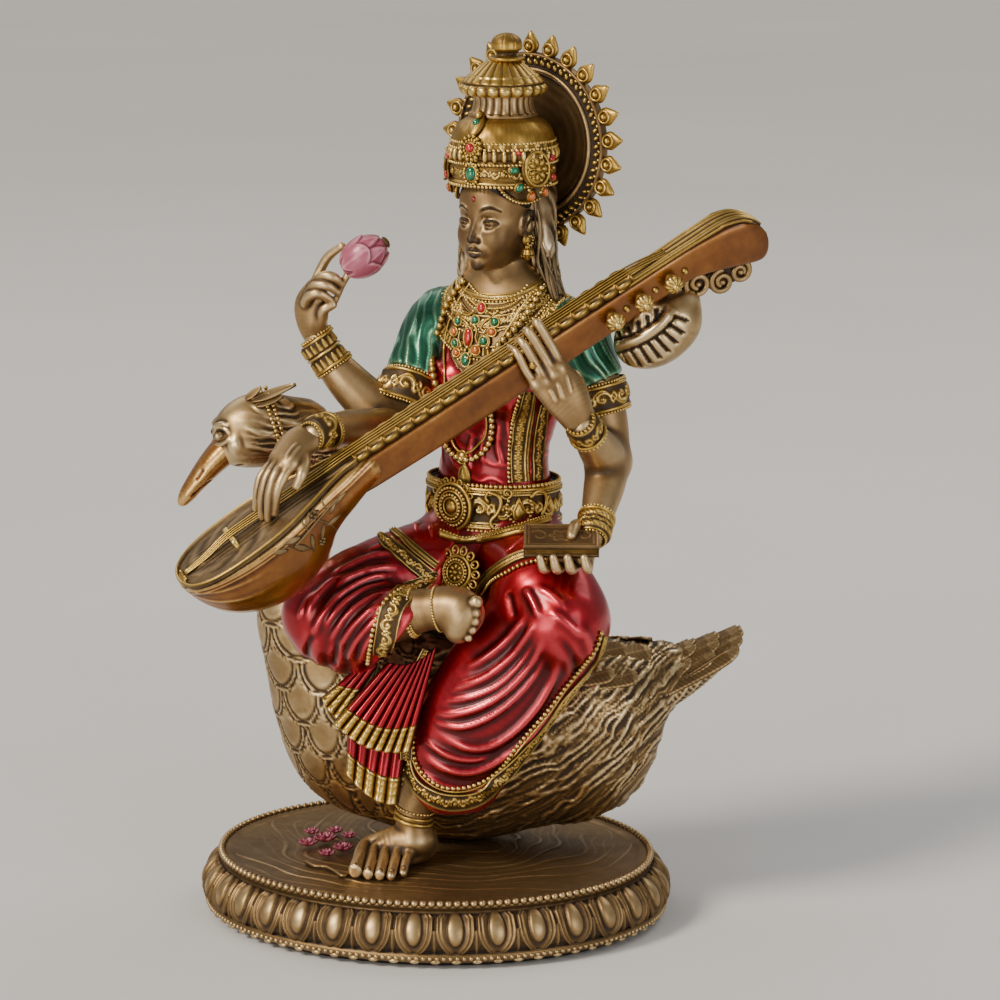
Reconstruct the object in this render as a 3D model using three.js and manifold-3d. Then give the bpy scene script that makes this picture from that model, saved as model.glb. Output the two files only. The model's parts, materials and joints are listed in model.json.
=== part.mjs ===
// Seated goddess with a veena on a swan, on an oval lotus plinth: a cold-cast
// bronze figurine. Millimetres, +Z up, front towards -Y, the long axis of the
// plinth and of the swan along X (the swan looks towards -X). The origin is
// the middle of the underside of the felt pad.
import * as THREE from 'three';
import Module from 'manifold-3d';
import { mergeVertices } from 'three/addons/utils/BufferGeometryUtils.js';

const wasm = await Module();
wasm.setup();
const { Manifold, Mesh: MMesh } = wasm;

// ------------------------------------------------------------ dimensions
const GAP = 0.3;              // joint line left between neighbouring pieces
const FELT_T = 1.2;           // thickness of the felt pad
const BASE_Z = FELT_T + GAP;  // underside of the plinth
const BASE_TOP = 15.8;        // water surface of the plinth
const BASE_RX = 61.4;         // widest half length of the plinth
const BASE_K = 0.9;           // its width as a share of its length
const YAW = 12 * Math.PI / 180;  // turn of the torso towards -X

// ------------------------------------------------------------ primitives
const V = (a) => new THREE.Vector3(a[0], a[1], a[2]);

function solid(geo) {
  const g = geo.index ? geo.clone() : geo;
  g.deleteAttribute('normal');
  g.deleteAttribute('uv');
  const m = mergeVertices(g, 1e-4);
  return new Manifold(new MMesh({
    numProp: 3,
    vertProperties: Float32Array.from(m.attributes.position.array),
    triVerts: Uint32Array.from(m.index.array),
  }));
}

// ellipsoid: centre, half axes, euler angles in degrees
function ell(c, r, rot, g, seg = [12, 8]) {
  const geo = new THREE.SphereGeometry(1, seg[0], seg[1]);
  const q = new THREE.Quaternion().setFromEuler(
    new THREE.Euler(...(rot || [0, 0, 0]).map((d) => d * Math.PI / 180)));
  geo.applyMatrix4(new THREE.Matrix4().compose(V(c), q, V(r.map((v) => v + g))));
  return solid(geo);
}

// tapered tube through points; radii are [across ref, along ref] or one number
function limb(pts, radii, ref, g, n = 4, seg = 10) {
  const P = pts.map(V);
  const d0 = P[0].clone().sub(P[1]).normalize().multiplyScalar(g);
  const d1 = P[P.length - 1].clone().sub(P[P.length - 2]).normalize().multiplyScalar(g);
  P[0].add(d0); P[P.length - 1].add(d1);
  const curve = new THREE.CatmullRomCurve3(P, false, 'centripetal');
  const geo = new THREE.CylinderGeometry(1, 1, 1, seg, n, false);
  const pos = geo.attributes.position;
  const R = V(ref || [0, 0, 1]);
  for (let i = 0; i < pos.count; i++) {
    const t = Math.min(1, Math.max(0, 0.5 - pos.getY(i)));
    const c = curve.getPoint(t);
    const T = curve.getTangent(t);
    const N = R.clone().sub(T.clone().multiplyScalar(R.dot(T))).normalize();
    const B = T.clone().cross(N);
    const f = t * (radii.length - 1);
    const k = Math.min(radii.length - 2, Math.floor(f));
    const pick = (a, j) => (Array.isArray(a) ? a[j] : a);
    const ra = THREE.MathUtils.lerp(pick(radii[k], 0), pick(radii[k + 1], 0), f - k) + g;
    const rb = THREE.MathUtils.lerp(pick(radii[k], 1), pick(radii[k + 1], 1), f - k) + g;
    c.addScaledVector(B, pos.getX(i) * ra).addScaledVector(N, -pos.getZ(i) * rb);
    pos.setXYZ(i, c.x, c.y, c.z);
  }
  let s = solid(geo);
  if (s.volume() < 0) throw new Error('limb is inside out');
  return s;
}

// turned shape about +Z, stretched in Y by k, then moved to c
function turned(profile, c, k, g, seg = 40) {
  const geo = new THREE.LatheGeometry(profile.map((p) => new THREE.Vector2(p[0], p[1])), seg);
  geo.rotateX(Math.PI / 2);
  const grow = 1 + 1.5 * g / Math.max(...profile.map((p) => p[0]));
  geo.scale(grow, k * grow, 1);
  geo.translate(...c);
  return solid(geo);
}

// flat outline (points in local x,y) pushed out by depth along local z, then
// placed by a basis of three axes and an origin
function plate(outline, depth, bx, by, bz, o, g) {
  const s = new THREE.Shape(outline.map((p) => new THREE.Vector2(p[0], p[1])));
  const geo = new THREE.ExtrudeGeometry(s, { depth: depth + 2 * g, bevelEnabled: false });
  if (g) {
    let mx = 0, my = 0;
    outline.forEach((p) => { mx += p[0] / outline.length; my += p[1] / outline.length; });
    const R = Math.max(...outline.map((p) => Math.min(Math.abs(p[0] - mx) + 4, Math.abs(p[1] - my) + 4)));
    const k = 1 + 2 * g / Math.min(R, 12);
    geo.translate(-mx, -my, -g);
    geo.scale(k, k, 1);
    geo.translate(mx, my, 0);
  }
  const m = new THREE.Matrix4().makeBasis(V(bx), V(by), V(bz)).setPosition(V(o));
  geo.applyMatrix4(m);
  return solid(geo);
}

const join = (...a) => a.reduce((p, q) => p.add(q));
function biggest(m) {
  const parts = m.decompose();
  return parts.reduce((a, b) => (b.volume() > a.volume() ? b : a));
}

// ------------------------------------------------------------ veena frame
// x along the neck, y away from the front, z out of the soundboard
const VO = [-33.17, -43.84, 111.28];
const VA = V([0.7468, 0.4177, 0.5175]).normalize();
const VN0 = V([-0.3257, -0.4487, 0.8322]);
const VN = VN0.clone().sub(VA.clone().multiplyScalar(VN0.dot(VA))).normalize();
const VY = VN.clone().cross(VA);
const vp = (x, y, z) => [
  VO[0] + VA.x * x + VY.x * y + VN.x * z,
  VO[1] + VA.y * x + VY.y * y + VN.y * z,
  VO[2] + VA.z * x + VY.z * y + VN.z * z];
const arr = (v) => [v.x, v.y, v.z];
const vRot = () => new THREE.Matrix4().makeBasis(VA, VY, VN).setPosition(V(VO));
// the bowl and its soundboard droop a little from the line of the neck
const VT = 3.6 * Math.PI / 180;
const VAT = VA.clone().multiplyScalar(Math.cos(VT)).add(VN.clone().multiplyScalar(Math.sin(VT)));
const VNT = VN.clone().multiplyScalar(Math.cos(VT)).sub(VA.clone().multiplyScalar(Math.sin(VT)));
const VOT = V(vp(26, 0, 0)).sub(VAT.clone().multiplyScalar(26));
const bRot = () => new THREE.Matrix4().makeBasis(VAT, VY, VNT).setPosition(VOT);
function vbox(x0, x1, y0, y1, z0, z1, droop = false) {
  const geo = new THREE.BoxGeometry(x1 - x0, y1 - y0, z1 - z0);
  geo.translate((x0 + x1) / 2, (y0 + y1) / 2, (z0 + z1) / 2);
  geo.applyMatrix4(droop ? bRot() : vRot());
  return solid(geo);
}
function vell(c, r, seg = [14, 10], droop = false) {
  const geo = new THREE.SphereGeometry(1, seg[0], seg[1]);
  geo.scale(...r); geo.translate(...c);
  geo.applyMatrix4(droop ? bRot() : vRot());
  return solid(geo);
}

// ------------------------------------------------------------ pieces
// Every piece is a function of g: the piece itself at g = 0 and the same
// shape grown by g, which is cut out of the later pieces it meets.
const F = [-Math.sin(YAW), -Math.cos(YAW), 0];   // where the torso faces
const L = [Math.cos(YAW), -Math.sin(YAW), 0];    // her left
const at = (c, f, l, z) => [c[0] + F[0] * f + L[0] * l, c[1] + F[1] * f + L[1] * l, c[2] + z];
const YD = -12;                                   // same turn in degrees

const pieces = {
  felt_pad: { g: (g) => turned([[0, 0 - g], [58.4, 0 - g], [58.4, FELT_T + g], [0, FELT_T + g]], [0, 0, 0], BASE_K, g, 40),
    m: 'felt' },
  base_plinth: { g: (g) => turned([[0, BASE_Z], [59.4, BASE_Z], [60.6, 3.2], [61.4, 5.4], [61.0, 9.2],
    [59.4, 12.4], [57.6, 14.2], [57.4, 15.6], [56.3, 16.4 + g], [55.2, BASE_TOP + g], [0, BASE_TOP + g]],
    [0, 0, 0], BASE_K, g, 40), m: 'bronze' },
  lotus_blossoms: { g: (g) => join(
    ell([-30, -17, 16.4], [7.5, 3.6, 2.6], [0, 0, 12], g, [10, 7]),
    ell([-20.5, -18.5, 16.4], [6, 3.2, 2.4], [0, 0, -8], g, [10, 7]),
    ell([-26, -14.6, 16.4], [6, 3, 2.2], [0, 0, 0], g, [10, 7])), m: 'pink' },

  swan_body: { g: (g) => join(
    ell([2, 15, 46], [40, 21, 31], [0, 0, 10], g, [16, 11]),
    ell([-24, 10, 52], [20.5, 18.5, 28], [0, 0, 10], g, [14, 9]),
    ell([30, 21, 46], [24, 17, 25], [0, 18, 14], g, [14, 9])), m: 'bronze' },
  swan_neck: { g: (g) => limb([[-33, 5, 66], [-38.5, 0.5, 82], [-36, 3, 98], [-32.6, 4, 112], [-35.5, 0.5, 122.5]],
    [10.5, 8, 6.8, 6.6, 7], [0, 1, 0], g, 6, 10), m: 'bronze' },
  swan_head: { g: (g) => join(
    ell([-45.6, -9.4, 127.2], [12, 8.6, 9.6], [0, -18, 22], g, [12, 9]),
    ell([-36, -1, 129], [8.5, 7.4, 8], [0, 0, 22], g, [10, 8])), m: 'bronze' },
  swan_bill: { g: (g) => limb([[-52.5, -13.6, 123.4], [-57.5, -16.4, 117], [-61.5, -18.6, 110]],
    [[5.6, 5.4], [4, 3.2], [2, 1.3]], [-0.6, -0.3, 0.7], g, 4, 10), m: 'bill' },
  swan_tail: { g: (g) => limb([[40, 26, 50], [52, 34, 56.5], [62, 40, 63], [72, 46, 68.5]],
    [[16, 9], [13.5, 6], [10.5, 4], [6.5, 2]], [-0.5, 0, 0.86], g, 5, 14), m: 'bronze' },

  hips: { g: (g) => ell([11.5, 16, 90], [23.5, 16.5, 14], [0, 0, YD], g, [14, 9]), m: 'crimson' },
  leg_drape_right: { g: (g) => join(
    limb([[2, 11, 91], [-12, -6, 87.5], [-25.5, -19, 81.5]], [[14, 12.5], [13, 12], [9.5, 10]], [0, 0, 1], g, 3, 11),
    ell([-21, -17, 80.5], [12, 9.5, 10], [0, 0, 20], g, [10, 8]),
    limb([[-20, -18, 80], [-9, -22, 80]], [[9, 8.5], [7.5, 7.5]], [0, 0, 1], g, 2, 10)), m: 'crimson' },
  leg_drape_left: { g: (g) => join(
    limb([[22, 8, 91], [30, -4, 88], [36, -12, 82]], [[14, 12], [13, 12], [10.5, 10.5]], [0, 0, 1], g, 3, 11),
    ell([36.5, -11.5, 81], [11.5, 10.5, 11], [0, 0, 0], g, [10, 8]),
    limb([[34, -11, 82], [28, -13, 66], [19.5, -14, 50], [14, -14, 37]],
      [[15, 10.5], [17.5, 9.5], [16.5, 8.5], [13, 6.5]], [0.1, -1, 0], g, 3, 11)), m: 'crimson' },
  pleat_fan: { g: (g) => plate([[11, 79], [4, 81], [-12, 76], [-22, 62], [-19.5, 54], [-15, 50.5], [-8, 46.5], [-1, 40], [4, 38], [4.6, 46], [7, 60]],
    4.2, [0.985, 0.174, 0], [0, 0, 1], [0.174, -0.985, 0], [-0.3, -21.6, 0], g), m: 'crimson' },
  pleat_under: { g: (g) => plate([[6, 66], [-9, 62], [-15, 50], [-14, 45], [-9, 41.5], [-4, 38], [1, 34.5], [5, 36]],
    3.2, [0.985, 0.174, 0], [0, 0, 1], [0.174, -0.985, 0], [-1.0, -17.7, 0], g), m: 'bronze' },
  foot_right: { g: (g) => join(
    limb([[-8, -24.5, 85.5], [2, -25, 86], [10, -25.5, 86.6]], [[6, 6], [5.4, 5.6], [5.6, 6.2]], [0, 0, 1], g, 2, 10),
    limb([[9, -25.4, 86.6], [15.5, -26.4, 85.4], [17.4, -29, 81.6]], [[5.6, 6.6], [5.6, 6.6], [4.8, 4.2]], [0, 0, 1], g, 3, 11)), m: 'skin' },
  foot_left: { g: (g) => join(
    limb([[6, -12, 44], [2, -13.5, 33], [1.5, -11.8, 24.5], [1.2, -11.5, 17]], [[6.2, 6], [5, 5.2], [5.4, 6], [5.2, 5.4]], [0, -1, 0], g, 4, 10),
    limb([[1.6, -10.5, 20.8], [-3, -17.5, 19.8], [-8, -24.5, 17.8]], [[4.8, 4.6], [6.4, 3.8], [7.4, 1.9]], [0, 0, 1], g, 3, 11)), m: 'skin' },

  torso: { g: (g) => join(
    limb([[11.5, 15.6, 100], [11.5, 15.8, 112], [12, 16, 124], [13, 16.4, 138], [14, 17.4, 150], [14.4, 18.2, 160]],
      [[18, 13], [15.5, 12], [15.2, 11.8], [18.2, 12.6], [18.8, 11], [9.5, 7]], F, g, 5, 14),
    ell(at([13, 16.2, 139], 7.5, -7.6, 0), [7.6, 6.6, 7.6], [0, 0, YD], g, [10, 7]),
    ell(at([13, 16.2, 139], 7.5, 7.6, 0), [7.6, 6.6, 7.6], [0, 0, YD], g, [10, 7])), m: 'crimson' },
  belt: { g: (g) => limb([at([11.5, 15.7, 103], 0.4, 0, 0), at([11.5, 15.8, 109], 0.4, 0, 0), at([11.6, 15.9, 115.5], 0.4, 0, 0)],
    [[20.6, 15.4], [19.6, 14.9], [18.6, 14.2]], F, g, 2, 20), m: 'gold' },
  belt_buckle: { g: (g) => plate(Array.from({ length: 14 }, (_, i) => [6.2 * Math.cos(i * Math.PI / 7), 6.2 * Math.sin(i * Math.PI / 7)]),
    1.8, [L[0], L[1], 0], [0, 0, 1], F, at([11.5, 15.8, 109.6], 15.0 + GAP, -4.0, 0), g), m: 'gold' },
  lap_medallion: { g: (g) => plate(Array.from({ length: 16 }, (_, i) => [6.6 * Math.cos(i * Math.PI / 8), 6.6 * Math.sin(i * Math.PI / 8)]),
    2.0, [L[0], L[1], 0], [0, 0, 1], F, [6.0, -5.6, 97], g), m: 'gold' },
  necklace: { g: (g) => plate([[-8, 17], [-5, 19.5], [5, 19.5], [8, 17], [9, 9], [6, 0], [2.4, -8], [0, -12], [-2.4, -8], [-6, 0], [-9, 9]],
    2.0, [L[0], L[1], 0], [F[0] * -0.22, F[1] * -0.22, 0.975], [F[0] * 0.975, F[1] * 0.975, 0.22], at([13, 16.3, 143], 13.4, -0.6, 0), g), m: 'gold' },
  neck: { g: (g) => limb([[14.4, 18.2, 160], [14.1, 16.8, 166], [13.8, 15.8, 173.5]], [[6.6, 6.4], [5.6, 5.8], [5.6, 6]], F, g, 2, 11), m: 'skin' },
  head: { g: (g) => join(
    ell([13.6, 13.6, 184.6], [10.2, 11.2, 13.4], [0, 0, -20], g, [14, 10]),
    ell([11.8, 8.6, 177.4], [7.2, 7.4, 8.4], [0, 0, -20], g, [10, 8])), m: 'skin' },
  hair: { g: (g) => join(
    ell([15.2, 19.4, 186.4], [11.8, 11.4, 13], [0, 0, -20], g, [12, 9]),
    limb([[23.5, 16.5, 180], [25.5, 16, 172], [28, 14.5, 163.5]], [[4.4, 4.4], [4.2, 4], [3, 2.6]], [0, 1, 0], g, 4, 10),
    limb([[17, 24, 180], [17.4, 26.4, 168], [17, 27, 156]], [[10, 5], [9, 4], [6, 2.6]], [0, 1, 0], g, 3, 11)), m: 'hair' },
  crown: { g: (g) => turned([[0, 0 - g], [13.0, 0 - g], [13.4, 4.6], [13.6, 6.0], [14.4, 8.0], [13.6, 10.2], [13.4, 12],
    [12, 14.6], [9.4, 16.4], [8.2, 17.4], [8.2, 22], [9.8, 22.6], [9.8, 25.4], [7.6, 27.4], [4.2, 30.6], [2.6, 31.2], [2.6, 32.2 + g], [0, 32.2 + g]],
    [14.2, 15.2, 192.2], 1, g, 18), m: 'gold' },
  crown_finial: { g: (g) => ell([15.4, 15.6, 227.2], [2.8, 2.8, 2.9], [0, 0, 0], g, [10, 7]), m: 'gold' },
  halo: { g: (g) => {
    const fa = 20 * Math.PI / 180;
    const hx = [Math.cos(fa), -Math.sin(fa), 0], hf = [-Math.sin(fa), -Math.cos(fa), 0];
    const n = 50, pts = [];
    for (let i = 0; i < n; i++) {
      const r = (i % 2 ? 24.4 : 27.2) + g, t = i * 2 * Math.PI / n;
      pts.push([r * Math.cos(t), r * Math.sin(t)]);
    }
    return plate(pts, 2.6, hx, [0, 0, 1], hf, [17.9, 30.4, 200.6], g);
  }, m: 'bronze' },

  sleeve_right: { g: (g) => join(
    ell([-5.5, 20.8, 150.8], [8, 8.4, 8.6], [0, 0, YD], g, [10, 8]),
    limb([[-6, 20.6, 150], [-9.4, 13.6, 139.6]], [[8, 8], [7.6, 7.6]], [0, 0, 1], g, 2, 11)), m: 'green' },
  upper_arm_right: { g: (g) => limb([[-9.5, 13.2, 139], [-10.6, 9.4, 133.5], [-11.2, 6.2, 127.6]], [[6.8, 6.8], [6.6, 6.6], [6.4, 6.4]], [0, 0, 1], g, 2, 11), m: 'skin' },
  forearm_right_rear: { g: (g) => limb([[-11.6, 5.6, 127.4], [-21.5, 3.4, 136.6], [-31.2, 1.4, 148]], [[6.2, 6.2], [5.8, 5.8], [4, 4.2]], [0, 1, 0], g, 4, 10), m: 'skin' },
  hand_right_rear: { g: (g) => join(
    ell([-31.8, 0.9, 154.6], [4.4, 3.2, 6], [0, -6, 20], g, [10, 7]),
    limb([[-32.6, 0.4, 159], [-32, -2.4, 164], [-27.4, -3.2, 167.6], [-22.5, -2.6, 168.4]], [2.4, 2.2, 1.8, 1.4], [0, 1, 0], g, 5, 8),
    limb([[-29, 1.2, 158], [-26.4, -0.8, 163], [-23.5, -2.2, 166.4]], [2.2, 1.9, 1.4], [0, 1, 0], g, 4, 8)), m: 'skin' },
  lotus_bud: { g: (g) => ell([-18.4, -2.4, 172.2], [6.4, 4.6, 4.8], [0, -18, 6], g, [10, 8]), m: 'pink' },
  forearm_right_front: { g: (g) => limb([[-11, 2.4, 127.4], [-14.8, -14, 130.4], [-19.6, -30.8, 132.4]], [[5.6, 5.6], [5.2, 5], [4.2, 3.8]], [0, 0, 1], g, 4, 10), m: 'skin' },
  hand_right_front: { g: (g) => join(
    ell([-22.8, -37.2, 130.4], [4.8, 7.6, 3.6], [14, 0, -30], g, [10, 7]),
    limb([[-26, -42, 129], [-29.6, -46, 122.6], [-30, -46.4, 115.2]], [[3.6, 2.4], [3.2, 2.1], [2.2, 1.4]], [0.5, -0.8, 0.2], g, 4, 10),
    limb([[-20.8, -40.4, 129], [-20.4, -44.6, 122.4]], [2.2, 1.6], [0, 1, 0], g, 3, 8)), m: 'skin' },
  sleeve_left: { g: (g) => join(
    ell([33.6, 13.8, 152], [8, 7.6, 8], [0, 0, YD], g, [10, 8]),
    limb([[34.6, 13.8, 151], [39.4, 13.2, 141]], [[7.6, 7], [7, 6.8]], [0, 1, 0], g, 2, 11)), m: 'green' },
  upper_arm_left: { g: (g) => limb([[39.8, 13.2, 140.4], [42, 13, 130], [43.4, 12.4, 119]], [[6.4, 6.2], [6, 6], [5.8, 5.8]], [0, 1, 0], g, 3, 11), m: 'skin' },
  forearm_left_front: { g: (g) => limb([[43.4, 12, 121], [43, 2.4, 126], [42.4, -7.4, 131.6]], [[5.6, 5.4], [5.2, 5.2], [4, 3.8]], [0, 0, 1], g, 3, 11), m: 'skin' },
  hand_left_front: { g: (g) => join(
    limb([vp(81.9, -10.6, -23), vp(83, -9.2, -16.4), vp(84, -7.4, -8.6)], [[3.6, 3.4], [5, 3.2], [5, 2.2]], arr(VY), g, 4, 10),
    limb([vp(84, -7.6, -9.5), vp(84, -6.6, -3.4), vp(84, -5.9, 1.4), vp(83.4, -3, 4.1), vp(82.6, 0, 4)], [[5, 2], [4.6, 1.7], [4.4, 1.6], [4, 1.5], [3.4, 1.3]], arr(VY), g, 6, 10)), m: 'skin' },
  forearm_left_rear: { g: (g) => limb([[43.6, 11, 117.4], [44.2, 2, 112], [44.6, -6.6, 106.4]], [[5.6, 5.4], [5.2, 5], [3.8, 3.8]], [0, 0, 1], g, 3, 11), m: 'skin' },
  hand_left_rear: { g: (g) => join(
    ell([43.6, -11.8, 100.6], [6, 8, 3.0], [22, 0, 8], g, [10, 7]),
    limb([[39.6, -15.4, 98], [35.4, -17.6, 93.4]], [[5, 2.2], [4.4, 1.6]], [0.4, -0.8, 0.5], g, 3, 10)), m: 'skin' },
  book: { g: (g) => plate([[-9.6, -5.4], [9.6, -5.4], [9.6, 5.4], [-9.6, 5.4]], 3.2,
    [0.966, 0.259, 0], [-0.24, 0.9, 0.36], [0.093, -0.348, 0.933], [38.2, -15.0, 103.0], g), m: 'gold' },

  veena_bowl: { g: (g) => join(vell([-3, 0, 0], [22 + g, 12.4 + g, 21 + g], [16, 12], true),
    vell([12, 0, 0], [15 + g, 6.8 + g, 12 + g], [12, 10], true))
    .subtract(vbox(-60, 60, -30, 30, -GAP, 30, true)), m: 'lacquer' },
  veena_soundboard: { g: (g) => join(vell([-3, 0, 0.4], [22 + g, 12.4 + g, 1.4 + g], [18, 6], true),
    vell([12, 0, 0.4], [15 + g, 6.8 + g, 1.4 + g], [12, 6], true))
    .subtract(vbox(-60, 60, -30, 30, -10, 0, true)), m: 'soundboard' },
  veena_neck: { g: (g) => join(plate([[24.4, -1.8], [25, -8.6], [33, -9.1], [42, -9.3], [42, -0.3], [29, -0.3]],
    7.6, arr(VA), arr(VN), arr(VA.clone().cross(VN)), vp(0, 3.8, 0), g),
    plate([[40, -0.3], [40, -9.3], [60, -9.6], [110, -8.9], [127, -8.4], [127, -0.3]],
    7.6, arr(VA), arr(VN), arr(VA.clone().cross(VN)), vp(0, 3.8, 0), g),
    plate([[124, -0.3], [124, -8.5], [130, -9.4], [138, -12.2], [144, -14.4], [147.6, -12.4], [148.4, -8], [146.2, -2.4], [141, -0.3]],
      7.6, arr(VA), arr(VN), arr(VA.clone().cross(VN)), vp(0, 3.8, 0), g)), m: 'lacquer' },
  veena_fretboard: { g: (g) => vbox(29 - g, 141 + g, -3.6 - g, 3.6 + g, 0 - g, 1.7 + g), m: 'bronze' },
  veena_bridge: { g: (g) => vbox(-8.9 - g, -7.1 + g, -4.4 - g, 4.4 + g, 1.95 - g, 4.4 + g, true), m: 'bronze' },
  veena_gourd: { g: (g) => ell([56.2, 11.2, 154.9], [11.6, 9, 8.8], [0, -30, 28], g, [14, 9]), m: 'bronze' },
  veena_peg_1: { g: (g) => limb([vp(103.4, -4.15, -4.4), vp(103.4, -8.4, -4.4)], [[2.2, 2.2], [2.6, 2.6]], [0, 0, 1], g, 2, 10), m: 'lacquer' },
  veena_peg_2: { g: (g) => limb([vp(112.2, -4.15, -4.4), vp(112.2, -8.4, -4.4)], [[2.2, 2.2], [2.6, 2.6]], [0, 0, 1], g, 2, 10), m: 'lacquer' },
  veena_peg_3: { g: (g) => limb([vp(121.2, -4.15, -4.4), vp(121.2, -8.4, -4.4)], [[2.2, 2.2], [2.6, 2.6]], [0, 0, 1], g, 2, 10), m: 'lacquer' },
  veena_scroll: { g: (g) => plate([[124.4, -8.4], [131, -9.4], [138, -12], [142.4, -13.6], [141.8, -17.4], [137.6, -18.8], [132.6, -18.4], [128.6, -15], [124.6, -13.4], [122.8, -11]],
    4, arr(VA), arr(VN), arr(VA.clone().cross(VN)), vp(0, 2, 0.55), g), m: 'bronze' },
};

// ------------------------------------------------------------ finishes
const finish = {
  felt: [0x1b1a1a, 0.95, 0.0],
  bronze: [0x7d6238, 0.36, 0.9],
  skin: [0x86704c, 0.34, 0.9],
  gold: [0xa9812f, 0.32, 0.95],
  hair: [0x8a7a5c, 0.38, 0.9],
  crimson: [0x8c0f1c, 0.3, 0.5],
  green: [0x1f6b4a, 0.36, 0.5],
  pink: [0xb0586c, 0.4, 0.1],
  bill: [0x7a3f16, 0.36, 0.8],
  lacquer: [0x9a4a15, 0.3, 0.6],
  soundboard: [0x6f6144, 0.45, 0.8],
};

// pieces built first keep their full shape; each later one is cut back
const order = ['felt_pad', 'base_plinth', 'swan_body', 'lotus_blossoms', 'swan_neck', 'swan_head', 'swan_bill', 'swan_tail',
  'foot_right', 'foot_left', 'belt', 'hips', 'leg_drape_right', 'leg_drape_left', 'pleat_fan', 'pleat_under', 'neck', 'torso',
  'belt_buckle', 'lap_medallion', 'necklace',
  'crown', 'crown_finial', 'head', 'halo', 'hair',
  'veena_fretboard', 'veena_bridge', 'veena_neck', 'veena_soundboard', 'veena_bowl', 'veena_peg_1', 'veena_peg_2', 'veena_peg_3', 'veena_scroll', 'veena_gourd',
  'upper_arm_right', 'upper_arm_left', 'sleeve_right', 'sleeve_left',
  'forearm_right_rear', 'forearm_right_front', 'forearm_left_front', 'forearm_left_rear',
  'lotus_bud', 'book',
  'hand_right_rear', 'hand_right_front', 'hand_left_front', 'hand_left_rear'];

const done = {};
const grown = {};
const boxOf = (m) => m.boundingBox();
const meet = (a, b) => [0, 1, 2].every((i) => a.min[i] <= b.max[i] + 0.5 && b.min[i] <= a.max[i] + 0.5);
for (const name of order) {
  let s = pieces[name].g(0);
  for (const other of Object.keys(done)) {
    if (!meet(boxOf(s), boxOf(grown[other]))) continue;
    s = s.subtract(grown[other]);
  }
  s = biggest(s);
  done[name] = s;
  grown[name] = pieces[name].g(GAP);
}

const group = new THREE.Group();
group.name = 'figurine';
for (const name of Object.keys(pieces)) {
  const mg = done[name].getMesh();
  const geo = new THREE.BufferGeometry();
  geo.setAttribute('position', new THREE.BufferAttribute(Float32Array.from(mg.vertProperties), 3));
  geo.setIndex(new THREE.BufferAttribute(Uint32Array.from(mg.triVerts), 1));
  geo.computeBoundingBox();
  const c = geo.boundingBox.getCenter(new THREE.Vector3());
  c.set(Math.round(c.x), Math.round(c.y), Math.round(c.z));
  geo.translate(-c.x, -c.y, -c.z);
  geo.computeVertexNormals();
  const [color, roughness, metalness] = finish[pieces[name].m];
  const mesh = new THREE.Mesh(geo, new THREE.MeshStandardMaterial({ color, roughness, metalness }));
  mesh.name = name;
  mesh.position.copy(c);
  group.add(mesh);
}
export default group;
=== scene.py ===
import json
import math
import bpy
import numpy as np
import openvdb as vdb
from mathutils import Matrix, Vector
from mathutils.bvhtree import BVHTree
from mathutils.kdtree import KDTree


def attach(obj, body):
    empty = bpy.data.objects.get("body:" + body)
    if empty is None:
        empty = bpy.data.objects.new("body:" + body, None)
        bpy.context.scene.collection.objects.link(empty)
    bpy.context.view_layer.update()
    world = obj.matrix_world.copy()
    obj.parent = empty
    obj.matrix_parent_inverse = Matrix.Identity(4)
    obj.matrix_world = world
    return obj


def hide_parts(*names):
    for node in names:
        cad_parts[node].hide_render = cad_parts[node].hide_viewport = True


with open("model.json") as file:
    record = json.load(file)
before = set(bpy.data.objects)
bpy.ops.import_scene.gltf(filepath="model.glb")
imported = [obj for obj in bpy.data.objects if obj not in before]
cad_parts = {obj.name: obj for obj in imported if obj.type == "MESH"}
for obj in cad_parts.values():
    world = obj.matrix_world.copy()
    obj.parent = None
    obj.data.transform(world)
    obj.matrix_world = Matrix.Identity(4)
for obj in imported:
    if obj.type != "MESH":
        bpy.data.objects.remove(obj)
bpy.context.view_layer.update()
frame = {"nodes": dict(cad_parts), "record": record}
HS = 1.2      # coarser voxels while trying things

# ---------------------------------------------------------------- view frame
# The camera's own frame: everything below is in millimetres until a mesh is made.
AZ, EL, DIST, PX = math.radians(16), math.radians(11.3), 1100.0, 0.265
VR = np.array([math.cos(AZ), math.sin(AZ), 0.0])
VU = np.array([-math.sin(EL) * math.sin(AZ), math.sin(EL) * math.cos(AZ), math.cos(EL)])
VB = np.array([math.sin(AZ) * math.cos(EL), -math.cos(AZ) * math.cos(EL), math.sin(EL)])
VH = np.array([math.sin(AZ), -math.cos(AZ), 0.0])
VT = 17.0 * VR + 107.7 * VU
CAM = VT + VB * DIST
YAW = math.radians(12)
TF = np.array([-math.sin(YAW), -math.cos(YAW), 0.0])    # where her chest faces
TL = np.array([math.cos(YAW), -math.sin(YAW), 0.0])     # her left
HY = math.radians(20)
HF = np.array([-math.sin(HY), -math.cos(HY), 0.0])      # where her head faces
HL = np.array([math.cos(HY), -math.sin(HY), 0.0])
ZZ = np.array([0.0, 0.0, 1.0])


def ray(x, y):
    """Direction from the camera through frame position (x, y) of 1000."""
    p = VT + VR * (x - 500) * PX + VU * (500 - y) * PX
    d = p - CAM
    return d / np.linalg.norm(d)


def at(x, y, fwd):
    """The point at frame position (x, y), fwd mm in front of the plinth's middle."""
    d = ray(x, y)
    t = (fwd - CAM @ VH) / (d @ VH)
    return CAM + d * t


def unit(a):
    a = np.asarray(a, float)
    return a / np.maximum(np.linalg.norm(a, axis=-1, keepdims=True), 1e-12)


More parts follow.
